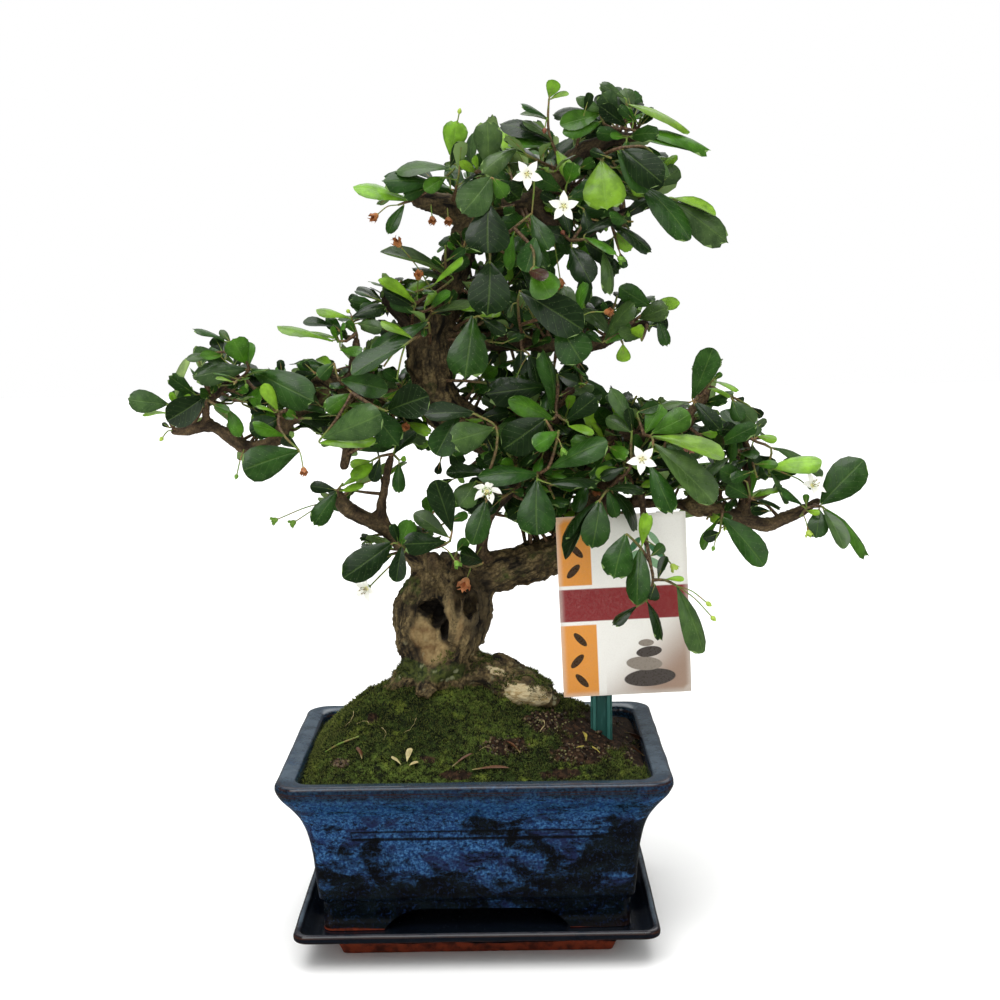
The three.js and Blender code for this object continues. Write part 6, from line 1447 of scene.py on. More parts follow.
# A blade is blocked where it dips into the wood or crosses the card or another blade
def isBlocked(seed, numbers):
    if any(insideWood(Vector(p)) for p in numbers[leafSet["probes"]]):
        return True
    low, high = numbers.min(axis=0), numbers.max(axis=0)
    boxes = np.array(placedBoxes)
    near = np.nonzero((boxes[:, 0] <= high).all(axis=1) & (boxes[:, 1] >= low).all(axis=1))[0]
    blade = bladeTree(seed, numbers)
    return bool(blade.overlap(cardTree)) or any(blade.overlap(placedBlades[i]) for i in near)


def bladeSeed(base, tip, width, viewer, shape, tint):
    along = tip - base
    length = along.length
    along = along.normalized()
    toViewer = viewer - base
    toViewer = (toViewer - along * toViewer.dot(along)).normalized()
    upward = along.cross(toViewer)
    if upward.z < 0:
        upward.negate()
    full = max(width, leafSet["slenderness"] * length)
    turn = math.acos(min(1, width / full))
    normal = toViewer * math.cos(turn) + upward * math.sin(turn)
    return base, bladeTurn(along, normal), (full / mm, length / mm, length / mm), shape, tint


# Tries swings back and forth, then shorter blades, until the blade is clear of all others
def fitBlade(base, tipAt, width, viewer, shape, tint, accept=None):
    for share in leafSet["lengths"]:
        for swing in leafSet["swings"][:1] if accept else leafSet["swings"]:
            seed = bladeSeed(base, tipAt(share, swing), width, viewer, shape, tint)
            numbers = bladeNumbers(seed)
            if accept and not accept(numbers):
                continue
            if not isBlocked(seed, numbers):
                keepPlace(seed, numbers)
                return seed
    return None


# The stalk of a leaf goes on as the rib under its blade
def leafStalk(start, seed):
    base, turn, (width, length, _), shape, _ = seed
    _, _, _, arch, _, _, lean = bladeLooks[shape]
    thick, thin = leafSet["petiole"], leafSet["ribEnd"]
    stem = [(start, thick * 1.25), (start.lerp(base, 0.6), thick)]
    for v in leafSet["ribPoints"]:
        height = archAt(arch, v) - bladeThickness * 0.9 - 0.01
        place = Vector((lean * v * (1 - v) * 2 * width, v * length, height * length)) * mm
        stem.append((base + turn @ place, thick + (thin - thick) * v))
    return stem


def tinted(tone):
    colour = Vector(paint(leafTones[tone])[:3]) * leafDraw.uniform(0.82, 1.2)
    return colour.x * leafDraw.uniform(0.92, 1.08), colour.y, colour.z * leafDraw.uniform(0.85, 1.1), 1.0


def twigStem(places):
    thick, thin = leafSet["twigStart"], leafSet["twigEnd"]
    widths = [thick + (thin - thick) * i / (len(places) - 1) for i in range(len(places))]
    line = stationsAlong(places, widths, leafSet["step"] * mm)
    return [(s["place"], s["radius"] * leafDraw.uniform(0.92, 1.12)) for s in line]


def nearestOn(lines, x, y):
    pixel, best = Vector((x, y)), None
    for line in lines:
        for (first, _), (second, _) in zip(line, line[1:]):
            a, b = pixelOf(first), pixelOf(second)
            run = b - a
            share = min(1, max(0, (pixel - a).dot(run) / max(run.length_squared, 1e-9)))
            distance = (a + run * share - pixel).length
            if best is None or distance < best[0]:
                best = distance, first.lerp(second, share)
    return best[1]


def makeSpray(name, tones, lines, leaves):
    twigs = [twigStem([seenAt(*p) for p in line]) for line in lines]
    seeds, stems = [], list(twigs)
    for (baseX, baseY, tipX, tipY, widthPixels, offset), tone in zip(leaves, tones):
        start = nearestOn(twigs, baseX, baseY)
        base = seenAt(baseX, baseY, start.y / mm)

        def tipAt(share, swing):
            return seenAt(baseX + (tipX - baseX) * share, baseY + (tipY - baseY) * share,
                          start.y / mm + offset + swing)

        shape = leafDraw.randrange(leafCount)
        seed = fitBlade(base, tipAt, widthPixels * pixelSize(base), eye, shape, tinted(tone))
        if seed is None:
            print("no room for a leaf of", name, baseX, baseY)
            continue
        seeds.append(seed)
        stems.append(leafStalk(start, seed))
    return seeds, stems, twigs


flowerGrowth = {name: flowerSeeds(*flower) for name, flower in flowers.items()}
for seeds, _, _ in flowerGrowth.values():
    for seed in seeds:
        keepPlace(seed, bladeNumbers(seed))
frontGrowth = {name: makeSpray(name, *spray) for name, spray in sprays.items()}
print("front leaves placed,", sum(len(g[0]) for g in frontGrowth.values()), "leaves")


# Further shoots. Inner ones fill the leafy parts of the picture behind its large leaves; those of the far side,
# which the picture doesn't show, grow only where the near side hides them from the camera
shootSet = {
    "seed": 23, "tries": 4, "width": 0.46, "hidden": 0.8, "probes": slice(3, 56, 5), "frontmost": -34,
    "roundFlowers": 18, "lowest": 190,
    "backLight": (0, 700, 900), "topLight": (0, -500, 1500),
    # the inner leaves draw mostly dark tones: painted shade inside the foliage
    "inner": {"count": 560, "leaves": 5, "length": (6, 22), "leaf": (9, 22), "tones": "dddddmmmmmmbbgl"},
    "back": {"count": 240, "leaves": 5, "length": (8, 18), "leaf": (10, 21), "tones": "ddmmmmbgpl"},
    "spray": {"count": 9, "leaves": 7, "length": (13, 26), "leaf": (10, 21), "tones": "ddmmmmbgpl"},
}
# Leafy parts of the picture as ovals (middle x, middle y, half width, half height), and parts that stay open
leafyOvals = [
    (452, 285, 24, 52), (480, 330, 26, 40), (515, 170, 92, 46), (608, 122, 58, 36), (452, 160, 40, 36),
    (640, 172, 44, 38), (560, 240, 60, 60), (500, 245, 48, 68), (540, 310, 58, 46), (600, 235, 36, 46),
    (405, 196, 32, 16), (630, 315, 44, 27), (398, 308, 54, 32), (335, 330, 38, 14), (240, 368, 44, 30),
    (215, 388, 52, 24), (300, 395, 58, 36), (370, 408, 66, 44), (430, 425, 60, 26), (350, 500, 34, 14),
    (400, 545, 44, 24), (525, 420, 92, 58), (470, 490, 56, 38), (540, 490, 56, 38), (590, 440, 78, 56),
    (660, 450, 78, 50), (720, 440, 52, 50), (590, 520, 44, 30), (650, 540, 26, 30), (775, 465, 34, 16),
    (740, 512, 40, 16), (545, 372, 44, 26),
]
openOvals = [(440, 364, 30, 42), (520, 565, 40, 28), (598, 560, 44, 40), (384, 500, 16, 26)]
noShoots = ("surfaceRoot", "leftRoot", "hollowRim", "trunkKnot", "lumpStub", "labelDrop")
backSprays = {
    "back_crown": "backCrown", "back_crown_right": "backCrownRight", "back_middle": "backMiddle",
    "back_left": "backLeft", "back_right": "backRight", "back_low": "backLow",
}
shootDraw = random.Random(shootSet["seed"])


def isWithin(pixel, ovals):
    return any(((pixel.x - x) / wide) ** 2 + ((pixel.y - y) / high) ** 2 < 1 for x, y, wide, high in ovals)


def isInner(places):
    for place in places:
        point = Vector(place)
        pixel = pixelOf(point)
        if point.y < shootSet["frontmost"] * mm or not isWithin(pixel, leafyOvals) or isWithin(pixel, openOvals):
            return False
        for (x, y, depth), *_ in flowers.values():
            if (pixel - Vector((x, y))).length < shootSet["roundFlowers"] and point.y < (depth + 6) * mm:
                return False
    return True


def isHidden(places):
    hidden = 0
    for place in places:
        toEye = eye - Vector(place)
        ahead = toEye.normalized()
        start = Vector(place) + ahead * mm
        hidden += any(tree.ray_cast(start, ahead, toEye.length)[0] is not None for tree in hiders)
    return hidden / len(places) >= shootSet["hidden"]


# Leaves by turns on both sides of a twig, and one at its end
def twigLeaves(twig, kind, viewer, accept):
    look = shootSet[kind]
    seeds, stems = [], []
    for k in range(look["leaves"]):
        share = 0.25 + 0.75 * k / (look["leaves"] - 1)
        index = min(int(share * (len(twig) - 1)), len(twig) - 2)
        start = twig[index][0].lerp(twig[index + 1][0], share * (len(twig) - 1) - index)
        along = (twig[index + 1][0] - twig[index][0]).normalized()
        beside = along.cross(Vector((0, 0, 1))).normalized() * (1 if k % 2 else -1)
        for _ in range(shootSet["tries"]):
            outward = beside * shootDraw.uniform(0.5, 1.3) * (k < look["leaves"] - 1)
            lift = Vector((0, 0, shootDraw.uniform(-0.3, 0.6)))
            direction = (along * shootDraw.uniform(0.3, 1.0) + outward + lift).normalized()
            length = shootDraw.uniform(*look["leaf"]) * mm
            base = start + direction * 2 * mm

            def tipAt(part, _):
                return base + direction * length * part

            seed = fitBlade(base, tipAt, length * shootSet["width"] * shootDraw.uniform(0.8, 1.15), viewer,
                            shootDraw.randrange(leafCount), tinted(shootDraw.choice(look["tones"])),
                            lambda numbers: accept(numbers[shootSet["probes"]]))
            if seed:
                seeds.append(seed)
                stems.append(leafStalk(start, seed))
                break
    return seeds, stems


def growShoot(start, aim, thickness, kind, viewer, accept):
    for _ in range(shootSet["tries"]):
        wander = Vector([shootDraw.uniform(-0.35, 0.35) for _ in range(3)])
        direction = (aim + wander).normalized()
        length = shootDraw.uniform(*shootSet[kind]["length"]) * mm + thickness
        middle = start + direction * length * 0.5 + Vector((0, 0, shootDraw.uniform(-1.5, 1.5))) * mm
        end = start + direction * length
        if insideWood(end) or not accept([middle, end]):
            continue
        twig = twigStem([start, middle, end])
        seeds, stems = twigLeaves(twig, kind, viewer, accept)
        if len(seeds) > 1:
            return seeds, [twig, *stems]
    return [], []


# Shoots at random places of the limbs, each added to the growth whose own place is nearest
def growShoots(kind, homes, growth, aims, viewers, accept):
    stations = [s for key, (line, _) in zip(["trunk", *limbs], woodRuns) if key not in noShoots
                for s in line[len(line) // 4:] if s["place"].z > shootSet["lowest"] * mm]
    for _ in range(shootSet[kind]["count"]):
        station = shootDraw.choice(stations)
        aim = Vector([shootDraw.uniform(low, high) for low, high in aims])
        aim = (aim - station["ahead"] * aim.dot(station["ahead"]) * 0.6).normalized()
        start = station["place"] + aim * station["radius"] * 0.7
        viewer = Vector(shootDraw.choice(viewers)) * mm
        seeds, stems = growShoot(start, aim, station["radius"], kind, viewer, accept)
        name = min(homes, key=lambda key: (homes[key] - start).length)
        growth[name][0].extend(seeds)
        growth[name][1].extend(stems)


frontHomes = {name: growth[2][0][0][0] for name, growth in frontGrowth.items()}
fineCounts = {name: len(growth[0]) for name, growth in frontGrowth.items()}
growShoots("inner", frontHomes, frontGrowth, ((-1, 1), (-0.7, 0.9), (-0.7, 1)),
           (cameraSet["eye"], cameraSet["eye"], shootSet["topLight"]), isInner)
print("inner leaves placed,", sum(len(g[0]) for g in frontGrowth.values()), "leaves in front")


def frontTree():
    points, faces = [], []
    for seeds, _, _ in frontGrowth.values():
        for seed in seeds:
            faces += [tuple(i + len(points) for i in face) for face in shapes[seed[3]]["faces"]]
            points += bladeNumbers(seed).tolist()
    return BVHTree.FromPolygons(points, faces)


hiders = [frontTree(), woodTree, cardTree]


# A spray of the far side carries on from the end of its own limb
def makeBackSpray(limb, firstTurn):
    before, last = (seenAt(*p[:3]) for p in limb[-2:])
    ahead = (last - before).normalized()
    sideways = Vector((0, 0, 1)).cross(ahead).normalized()
    upward = ahead.cross(sideways)
    radius = limb[-1][3]
    stalkEnd = last + ahead * 6 * mm
    seeds, stems = [], [[(last - ahead * 2 * mm, radius * 0.75), (last + ahead * 2 * mm, radius * 0.6),
                         (stalkEnd, leafSet["twigStart"])]]
    for k in range(shootSet["spray"]["count"]):
        turn = firstTurn + 2 * math.pi * k / shootSet["spray"]["count"]
        aim = ahead * 0.5 + sideways * math.cos(turn) + upward * math.sin(turn)
        more, lines = growShoot(stalkEnd, aim, 0, "spray", Vector(shootSet["backLight"]) * mm, isHidden)
        seeds += more
        stems += lines
    return seeds, stems


backGrowth = {name: makeBackSpray(limbs[limb], i) for i, (name, limb) in enumerate(backSprays.items())}
backHomes = {name: seenAt(*limbs[limb][-1][:3]) for name, limb in backSprays.items()}
growShoots("back", backHomes, backGrowth, ((-0.7, 0.7), (0.3, 1), (-0.1, 0.9)), (shootSet["backLight"],), isHidden)
print("back leaves placed,", sum(len(g[0]) for g in backGrowth.values()), "leaves")

for name, growth in {**frontGrowth, **backGrowth}.items():
    fine = fineCounts.get(name, 0)
    seeds = growth[0][:fine] + [(*seed[:3], coarseShapes[seed[3]], seed[4]) for seed in growth[0][fine:]]
    takePlace(growPiece("leaves_" + name, seeds, growth[1], leafMaterial), "leaf", "spray_" + name)
print("leaf pieces made")


# Stalks of flowers, buds and spent blossoms start on the nearest twig or limb
def limbLine(stations):
    return [(s["place"] + (eye - s["place"]).normalized() * s["radius"] * 0.6, s["radius"] / mm) for s in stations]


stalkLines = [twig for _, _, twigs in frontGrowth.values() for twig in twigs]
stalkLines += [limbLine(stations) for stations, _ in woodRuns]
stalkPlaces = [place for line in stalkLines for place, _ in line]
stalkTree = KDTree(len(stalkPlaces))
for i, place in enumerate(stalkPlaces):
    stalkTree.insert(place, i)
stalkTree.balance()


def smoothStalk(places, radius):
    line = stationsAlong(places, [radius * mm] * len(places), 2 * mm)
    return [(s["place"], radius) for s in line]


for name, (*_, stalk) in flowers.items():
    seeds, stems, back = flowerGrowth[name]
    places = [back, *[seenAt(*p) for p in stalk]]
    places.append(stalkTree.find(places[-1])[0])
    stems.append(smoothStalk(places, flowerSet["pedicel"]))
    takePlace(growPiece("blossom_" + name, seeds, stems, petalMaterial), "petal", "flower_" + name)
print("flowers made")

# Buds and spent blossoms: kind, where the stalk leaves, where the head sits, length in mm and tint
trimSet = {"stalk": 0.34, "forward": 5, "sag": 1.6, "deadTwig": 0.5, "petals": 4}
trimTints = {"rust": "a5673a", "peach": "cf8c5c", "pink": "b98270", "red": "7f4a36", "green": "6f9a36",
             "lime": "a9c24c", "brown": "6a4630"}
trims = [
    ("spent", (384, 206), (378, 214), 4.5, "rust"), ("spent", (415, 262), (401, 247), 5, "rust"),
    ("spent", (416, 300), (418, 280), 4.5, "rust"), ("spent", (430, 204), (432, 216), 4, "rust"),
    ("spent", (447, 205), (448, 217), 4, "rust"), ("spent", (398, 442), (403, 431), 4, "rust"),
    ("spent", (303, 455), (303, 467), 4, "rust"), ("spent", (590, 476), (595, 487), 4.5, "rust"),
    ("spent", (478, 545), (467, 578), 6.5, "peach"), ("cup", (440, 545), (455, 561), 4, "green"),
    ("cup", (335, 502), (278, 519), 4.2, "green"), ("cup", (335, 502), (296, 521), 4.2, "green"),
    ("bud", (548, 118), (545, 128), 3.4, "red"), ("bud", (560, 222), (562, 231), 3.4, "red"),
    ("cup", (612, 246), (618, 257), 4, "green"), ("bud", (604, 218), (606, 227), 3, "green"),
    ("bud", (626, 205), (628, 213), 3, "green"), ("spent", (548, 225), (560, 278), 4.5, "rust"),
    ("spent", (678, 432), (686, 441), 6, "pink"), ("bud", (243, 377), (246, 384), 3, "green"),
    ("bud", (170, 432), (163, 437), 3, "lime"), ("bud", (240, 466), (237, 474), 3, "green"),
    ("cup", (806, 516), (808, 530), 4, "lime"), ("bud", (716, 538), (714, 546), 3, "green"),
    ("cup", (722, 512), (726, 524), 3.6, "lime"), ("cup", (648, 540), (671, 564), 4.4, "lime"),
    ("bud", (697, 596), (706, 602), 3.6, "lime"), ("bud", (699, 608), (711, 616), 3.6, "lime"),
    ("bare", (402, 352), (397, 379), 3, "brown"), ("bare", (400, 348), (384, 366), 3, "brown"),
    ("bare", (450, 252), (425, 279), 3, "brown"), ("spent", (598, 300), (604, 312), 4, "rust"),
    ("cup", (556, 436), (562, 448), 3.8, "green"), ("spent", (520, 372), (514, 384), 4, "rust"),
    ("bud", (352, 322), (349, 312), 3, "lime"), ("bud", (455, 124), (459, 114), 3, "lime"),
]


def trimHead(kind, place, axis, length, tint):
    side = axis.cross(Vector((0, 1, 0.2))).normalized()
    turn = Matrix((side, axis, side.cross(axis))).transposed()
    colour = paint(trimTints[tint])
    if kind == "bud":
        return [(place, turn, (length * 0.9, length, length * 0.9), budShape, colour)]
    seeds = [(place, turn, (length * 0.95, length, length * 0.95), calyxShape, colour)]
    if kind == "spent":
        for k in range(trimSet["petals"]):
            out = Matrix.Rotation(k * 2 * math.pi / trimSet["petals"] + 0.4, 3, axis) @ side
            along = (axis + out * 0.45).normalized()
            normal = (out - along * out.dot(along)).normalized()
            seeds.append((place + axis * length * 0.35 * mm, bladeTurn(along, normal),
                          (length * 0.42, length, length), petalCurled, colour))
    return seeds


def makeTrims():
    seeds, stems = [], []
    for kind, (fromX, fromY), (toX, toY), length, tint in trims:
        start = nearestOn(stalkLines, fromX, fromY)
        depth = start.y / mm - trimSet["forward"]
        while insideWood(seenAt(toX, toY, depth + 4)):
            depth -= 2
        head = seenAt(toX, toY, depth)
        middle = start.lerp(head, 0.5) + Vector((0, 0, trimSet["sag"])) * mm
        axis = (head - middle).normalized()
        radius = trimSet["deadTwig"] if kind == "bare" else trimSet["stalk"]
        stems.append(smoothStalk([start, middle, head + axis * 0.3 * mm], radius))
        if kind != "bare":
            seeds += trimHead(kind, head, axis, length, tint)
    return growPiece("buds_and_spent_blossoms", seeds, stems, petalMaterial)


takePlace(makeTrims(), "petal")
print("buds and spent blossoms made,", len(trims))


# Moss rug: a mound with cushions, bare soil at the right, tufts scattered over the green
mossSet = {
    "half": (88.6, 62.6), "reach": (89, 63), "middle": (-20, 12), "edge": 91, "height": 36, "curve": (2.4, 2.2),
    "thickness": 3.5, "bank": (-44, 2), "bankSize": (36, 26), "bankHeight": 7, "cells": (104, 76), "cushion": 2.4,
    "grit": 0.8, "tuftSpacing": 1.75, "tuftSize": (1.5, 2.6), "tuftKinds": 3, "stalksInTuft": 6, "seed": 4,
    "trunkTuft": (1.0, 1.9), "trunkTop": 0.15, "steepest": -0.1, "dampBelow": 0.115, "dampFade": 0.035,
    "trunkGrain": 90, "trunkNeed": 0.42, "trunkShare": 0.4,
}
# Bare patches as ovals of the picture: middle x, middle y, half width, half height
barePatches = [
    (606, 728, 58, 25), (582, 752, 34, 12), (642, 752, 20, 16), (505, 744, 26, 9), (546, 720, 24, 12),
    (340, 762, 10, 5), (374, 716, 9, 5), (560, 772, 24, 6), (455, 774, 18, 5), (428, 757, 9, 4),
]


def moundHeight(x, y):
    m, share = mossSet, 1.0
    for place, middle, reach, curve in zip((x, y), m["middle"], m["reach"], m["curve"]):
        away = abs((place - middle) / (reach + middle if place < middle else reach - middle))
        share *= max(0, 1 - away ** curve)
    lumps = 1.1 * math.sin(x / 9 + 1) * math.cos(y / 8) + 0.7 * math.sin((x + y) / 6)
    bankX, bankY = ((place - bank) / size for place, bank, size in zip((x, y), m["bank"], m["bankSize"]))
    banked = math.exp(-bankX ** 2 - bankY ** 2) * m["bankHeight"]
    return m["edge"] + m["height"] * share + lumps * min(1, 3 * share) + banked


# The point of the mound seen at a pixel
def groundAt(x, y):
    near, far = -70.0, 70.0
    for _ in range(24):
        depth = (near + far) / 2
        place = seenAt(x, y, depth) / mm
        if place.z > moundHeight(place.x, place.y):
            near = depth
        else:
            far = depth
    return seenAt(x, y, far)


def mossCoverAt(x, y):
    cover, pixel = 1.0, pixelOf(Vector((x, y, moundHeight(x, y))) * mm)
    ragged = 0.5 * noise.noise(Vector((x, y, 0)) * 0.16) + 0.3 * noise.noise(Vector((x, y, 0)) * 0.5)
    for patchX, patchY, wide, high in barePatches:
        distance = math.hypot((pixel.x - patchX) / wide, (pixel.y - patchY) / high)
        cover = min(cover, max(0.0, distance * 1.1 - 0.5 + ragged))
    return min(cover, 1.0)


def makeTuftShapes():
    shelf = bpy.data.collections.new("tuftShelf")
    for k in range(mossSet["tuftKinds"]):
        draw = random.Random(mossSet["seed"] + k)
        points, faces, talls = [], [], []
        for _ in range(mossSet["stalksInTuft"]):
            angle, lean = draw.uniform(0, 2 * math.pi), draw.uniform(0.15, 0.75)
            foot = Vector((math.cos(angle), math.sin(angle), 0)) * draw.uniform(0.05, 0.4)
            base = len(points)
            for s in range(3):
                turn = angle + s * 2.1
                points.append(foot + Vector((math.cos(turn), math.sin(turn), 0)) * 0.17 - Vector((0, 0, 0.2)))
            tip = foot + Vector((math.cos(angle) * lean, math.sin(angle) * lean, draw.uniform(0.6, 1.0)))
            points.append(tip)
            talls += [0, 0, 0, 1]
            faces += [(base, base + 2, base + 1)] + [(base + s, base + (s + 1) % 3, base + 3) for s in range(3)]
        mesh = bpy.data.meshes.new("tuft")
        mesh.from_pydata([tuple(p) for p in points], [], faces)
        store(mesh, "tuftHeight", talls)
        shelf.objects.link(bpy.data.objects.new("tuft%d" % k, mesh))
    return shelf


tuftShelf = makeTuftShapes()


# Tufts on the green part of a surface, standing on it and turned at random
def makeTuftScatter():
    tree, given, out = newGroup(
        "scatterTufts", {"Geometry": "Geometry", "Tufts": "Collection", "Spacing": 0.002, "Shortest": 0.001,
                         "Tallest": 0.002, "Seed": 1, "Moss": "Material"},
        {"Geometry": "Geometry"}, "GeometryNodeTree")
    green = nodeOn("FunctionNodeCompare", {0: fieldOf(tree, "mossCover"), 1: 0.42}, operation="GREATER_THAN")
    spread = nodeOn("GeometryNodeDistributePointsOnFaces", {
        "Mesh": given["Geometry"], "Selection": green.outputs[0], "Distance Min": given["Spacing"],
        "Density Max": 2e6, "Seed": given["Seed"]}, distribute_method="POISSON").outputs
    chosen = nodeOn("GeometryNodeCollectionInfo", {
        "Collection": given["Tufts"], "Separate Children": True, "Reset Children": True}).outputs[0]
    spin = addNode(tree, "FunctionNodeRandomValue", {"Min": (-0.35, -0.35, 0), "Max": (0.35, 0.35, 6.28), "Seed": 3},
                   data_type="FLOAT_VECTOR").outputs[0]
    turned = nodeOn("FunctionNodeRotateRotation", {"Rotation": spread["Rotation"], "Rotate By": spin},
                    rotation_space="LOCAL").outputs[0]
    tall = nodeOn("FunctionNodeRandomValue", {2: given["Shortest"], 3: given["Tallest"], "Seed": 5},
                  data_type="FLOAT").outputs[1]
    placed = nodeOn("GeometryNodeInstanceOnPoints", {
        "Points": spread[0], "Instance": chosen, "Pick Instance": True, "Rotation": turned, "Scale": tall})
    feed(out, Geometry=madeReal(joined(placed.outputs[0], given["Geometry"]), given["Moss"]))
    return tree


scatterTufts = makeTuftScatter()


def makeMossRug():
    m = mossSet
    (columns, rows), (halfX, halfY) = m["cells"], m["half"]
    top, bottom, covers = [], [], []
    for j in range(rows + 1):
        for i in range(columns + 1):
            x, y = (2 * i / columns - 1) * halfX, (2 * j / rows - 1) * halfY
            # the square grid is drawn in at its corners, to keep clear of the pot's round ones
            corner = 1 - 0.035 * (abs(x) / halfX) ** 8 * (abs(y) / halfY) ** 8
            x, y = x * corner, y * corner
            cover = mossCoverAt(x, y)
            spot = Vector((x, y, 0))
            inner = min(1, 12 * min(i, columns - i) / columns, 10 * min(j, rows - j) / rows)
            cushions = 0.8 - 1.5 * noise.voronoi(spot * 0.13)[0][0] + 0.9 * noise.noise(spot * 0.3)
            lift = m["cushion"] * cushions * (0.3 + 0.7 * cover) * inner
            lift += m["grit"] * noise.noise(spot * 0.8) * (1.6 - cover) * inner
            z = moundHeight(x, y) + lift - 1.2 * (1 - cover) * inner - 0.5
            top.append(Vector((x, y, z)) * mm)
            bottom.append(Vector((x, y, moundHeight(x, y) - m["thickness"])) * mm)
            covers.append(cover)
    rug = meshPiece("moss_rug", top + bottom, sheetFaces(columns, rows), mossMaterial, 60,
                    mossCover=covers + [0.0] * len(top), tuftHeight=[0.4] * (2 * len(top)))
    growMesh(rug, scatterTufts, Tufts=tuftShelf, Spacing=m["tuftSpacing"] * mm, Shortest=m["tuftSize"][0] * mm,
             Tallest=m["tuftSize"][1] * mm, Seed=m["seed"], Moss=mossMaterial)
    print("moss made,", len(rug.data.polygons), "faces")
    return takePlace(rug, "moss", "moss")


makeMossRug()


# Moss that creeps up the foot of the trunk and over the surface root
def makeTrunkMoss():
    m = mossSet
    draw = random.Random(m["seed"])
    chosen = []
    for face in woodPiece.data.polygons:
        place = face.center
        if place.z > m["trunkTop"] or face.normal.z < m["steepest"]:
            continue
        damp = 1 - (place.z - m["dampBelow"]) / m["dampFade"]
        growth = 0.35 * damp + 0.45 * face.normal.z + 0.9 * noise.noise(place * m["trunkGrain"])
        if growth > m["trunkNeed"] and draw.random() < m["trunkShare"]:
            chosen.append((place.copy(), face.normal.copy()))
    points, faces, talls = [], [], []
    tufts = [o.data for o in tuftShelf.objects]
    for place, normal in chosen:
        tuft = draw.choice(tufts)
        size = draw.uniform(*m["trunkTuft"]) * mm
        turn = normal.to_track_quat("Z", "Y").to_matrix() @ Matrix.Rotation(draw.uniform(0, 6.28), 3, "Z")
        faces += [tuple(i + len(points) for i in p.vertices) for p in tuft.polygons]
        points += [place + turn @ v.co * size for v in tuft.vertices]
        talls += [v.value for v in tuft.attributes["tuftHeight"].data]
    piece = meshPiece("moss_on_wood", points, faces, mossMaterial, 60, mossCover=[1.0] * len(points),
                      tuftHeight=talls)
    print("moss on wood made,", len(chosen), "tufts")
    return takePlace(piece, "moss")


makeTrunkMoss()


# Crumbs of soil on the bare patches, and what has fallen on the moss: rootlets, a twig and dead leaves
litterSet = {"crumbs": 560, "seed": 31, "rootletTurns": (0, 0.7, 1.1), "straw": "b9a877", "dead": "5c3a22",
             "yellow": "9d8f3c", "pale": "b5a878", "crumbTones": ("33241a", "4a3728", "241a13", "5f4c38"),
             "crumbPatches": 6, "inside": (84, 58), "twig": [(-78, -30, 0.5), (-70, -34, 2.2), (-60, -33, 1.8)]}
# Fallen leaves and rootlets as (picture x, picture y, length, width, turn in the plane, tint, number of lengths)
litterBlades = [
    (345, 730, 10, 0.5, 0.5, "straw", 3), (369, 728, 9, 0.5, 2.0, "straw", 3), (384, 743, 9, 0.5, 1.2, "straw", 3),
    (404, 736, 10, 0.5, 0.2, "straw", 3), (492, 752, 7, 0.5, 2.9, "straw", 2), (540, 735, 8, 0.5, 0.9, "straw", 2),
    (472, 773, 19, 0.8, 0.05, "dead", 1), (452, 770, 12, 0.9, 0.5, "dead", 1), (576, 751, 6, 2.6, 0.8, "yellow", 1),
    (600, 756, 6, 2.4, 2.2, "yellow", 1), (624, 735, 12, 5.0, 0.4, "dead", 1), (520, 756, 9, 4.0, 2.6, "dead", 1),
    (362, 762, 8, 3.4, 1.9, "dead", 1), (645, 760, 8, 3.0, 2.8, "dead", 1), (407, 765, 6, 3.6, 1.3, "pale", 1),
    (401, 768, 6, 3.0, 2.5, "pale", 1), (409, 769, 5, 2.6, 0.3, "straw", 1), (636, 722, 9, 3.4, 0.2, "pale", 1),
    (586, 744, 7, 2.8, 1.7, "yellow", 1),
]


def onGround(x, y, lift):
    return Vector((x, y, moundHeight(x, y) + lift)) * mm


def makeLitter():
    draw = random.Random(litterSet["seed"])
    seeds = []
    for x, y, length, width, angle, tint, lengths in litterBlades:
        middle = groundAt(x, y) / mm
        endX, endY = middle.x, middle.y
        for bend in litterSet["rootletTurns"][:lengths]:
            first = onGround(endX, endY, 1.8)
            endX += math.cos(angle + bend) * length / lengths
            endY += math.sin(angle + bend) * length / lengths
            last = onGround(endX, endY, 2.0)
            base, turn, (_, *size), shape, tone = bladeSeed(
                first, last, width * mm, (first + last) / 2 + Vector((0, -0.2, 1)), draw.randrange(leafCount),
                paint(litterSet[tint]))
            seeds.append((base, turn, (width, *size), shape, tone))
    for _ in range(litterSet["crumbs"]):
        patchX, patchY, wide, high = draw.choice(barePatches[:litterSet["crumbPatches"]])
        angle, reach = draw.uniform(0, 2 * math.pi), draw.uniform(0, 0.95) ** 0.6
        place = groundAt(patchX + wide * reach * math.cos(angle), patchY + high * reach * math.sin(angle)) / mm
        if abs(place.x) > litterSet["inside"][0] or abs(place.y) > litterSet["inside"][1]:
            continue
        size = draw.uniform(0.5, 1.0) ** 2 * 2.4
        turn = Euler([draw.uniform(0, 6.28) for _ in range(3)]).to_matrix()
        tone = paint(draw.choice(litterSet["crumbTones"]))
        seeds.append((onGround(place.x, place.y, -0.9), turn, (size, size * 0.9, size * 1.1), budShape, tone))
    stems = [smoothStalk([onGround(*p) for p in litterSet["twig"]], 0.5)]
    return takePlace(growPiece("soil_crumbs_and_litter", seeds, stems, petalMaterial), "soil")


makeLitter()
print("soil crumbs and litter made")


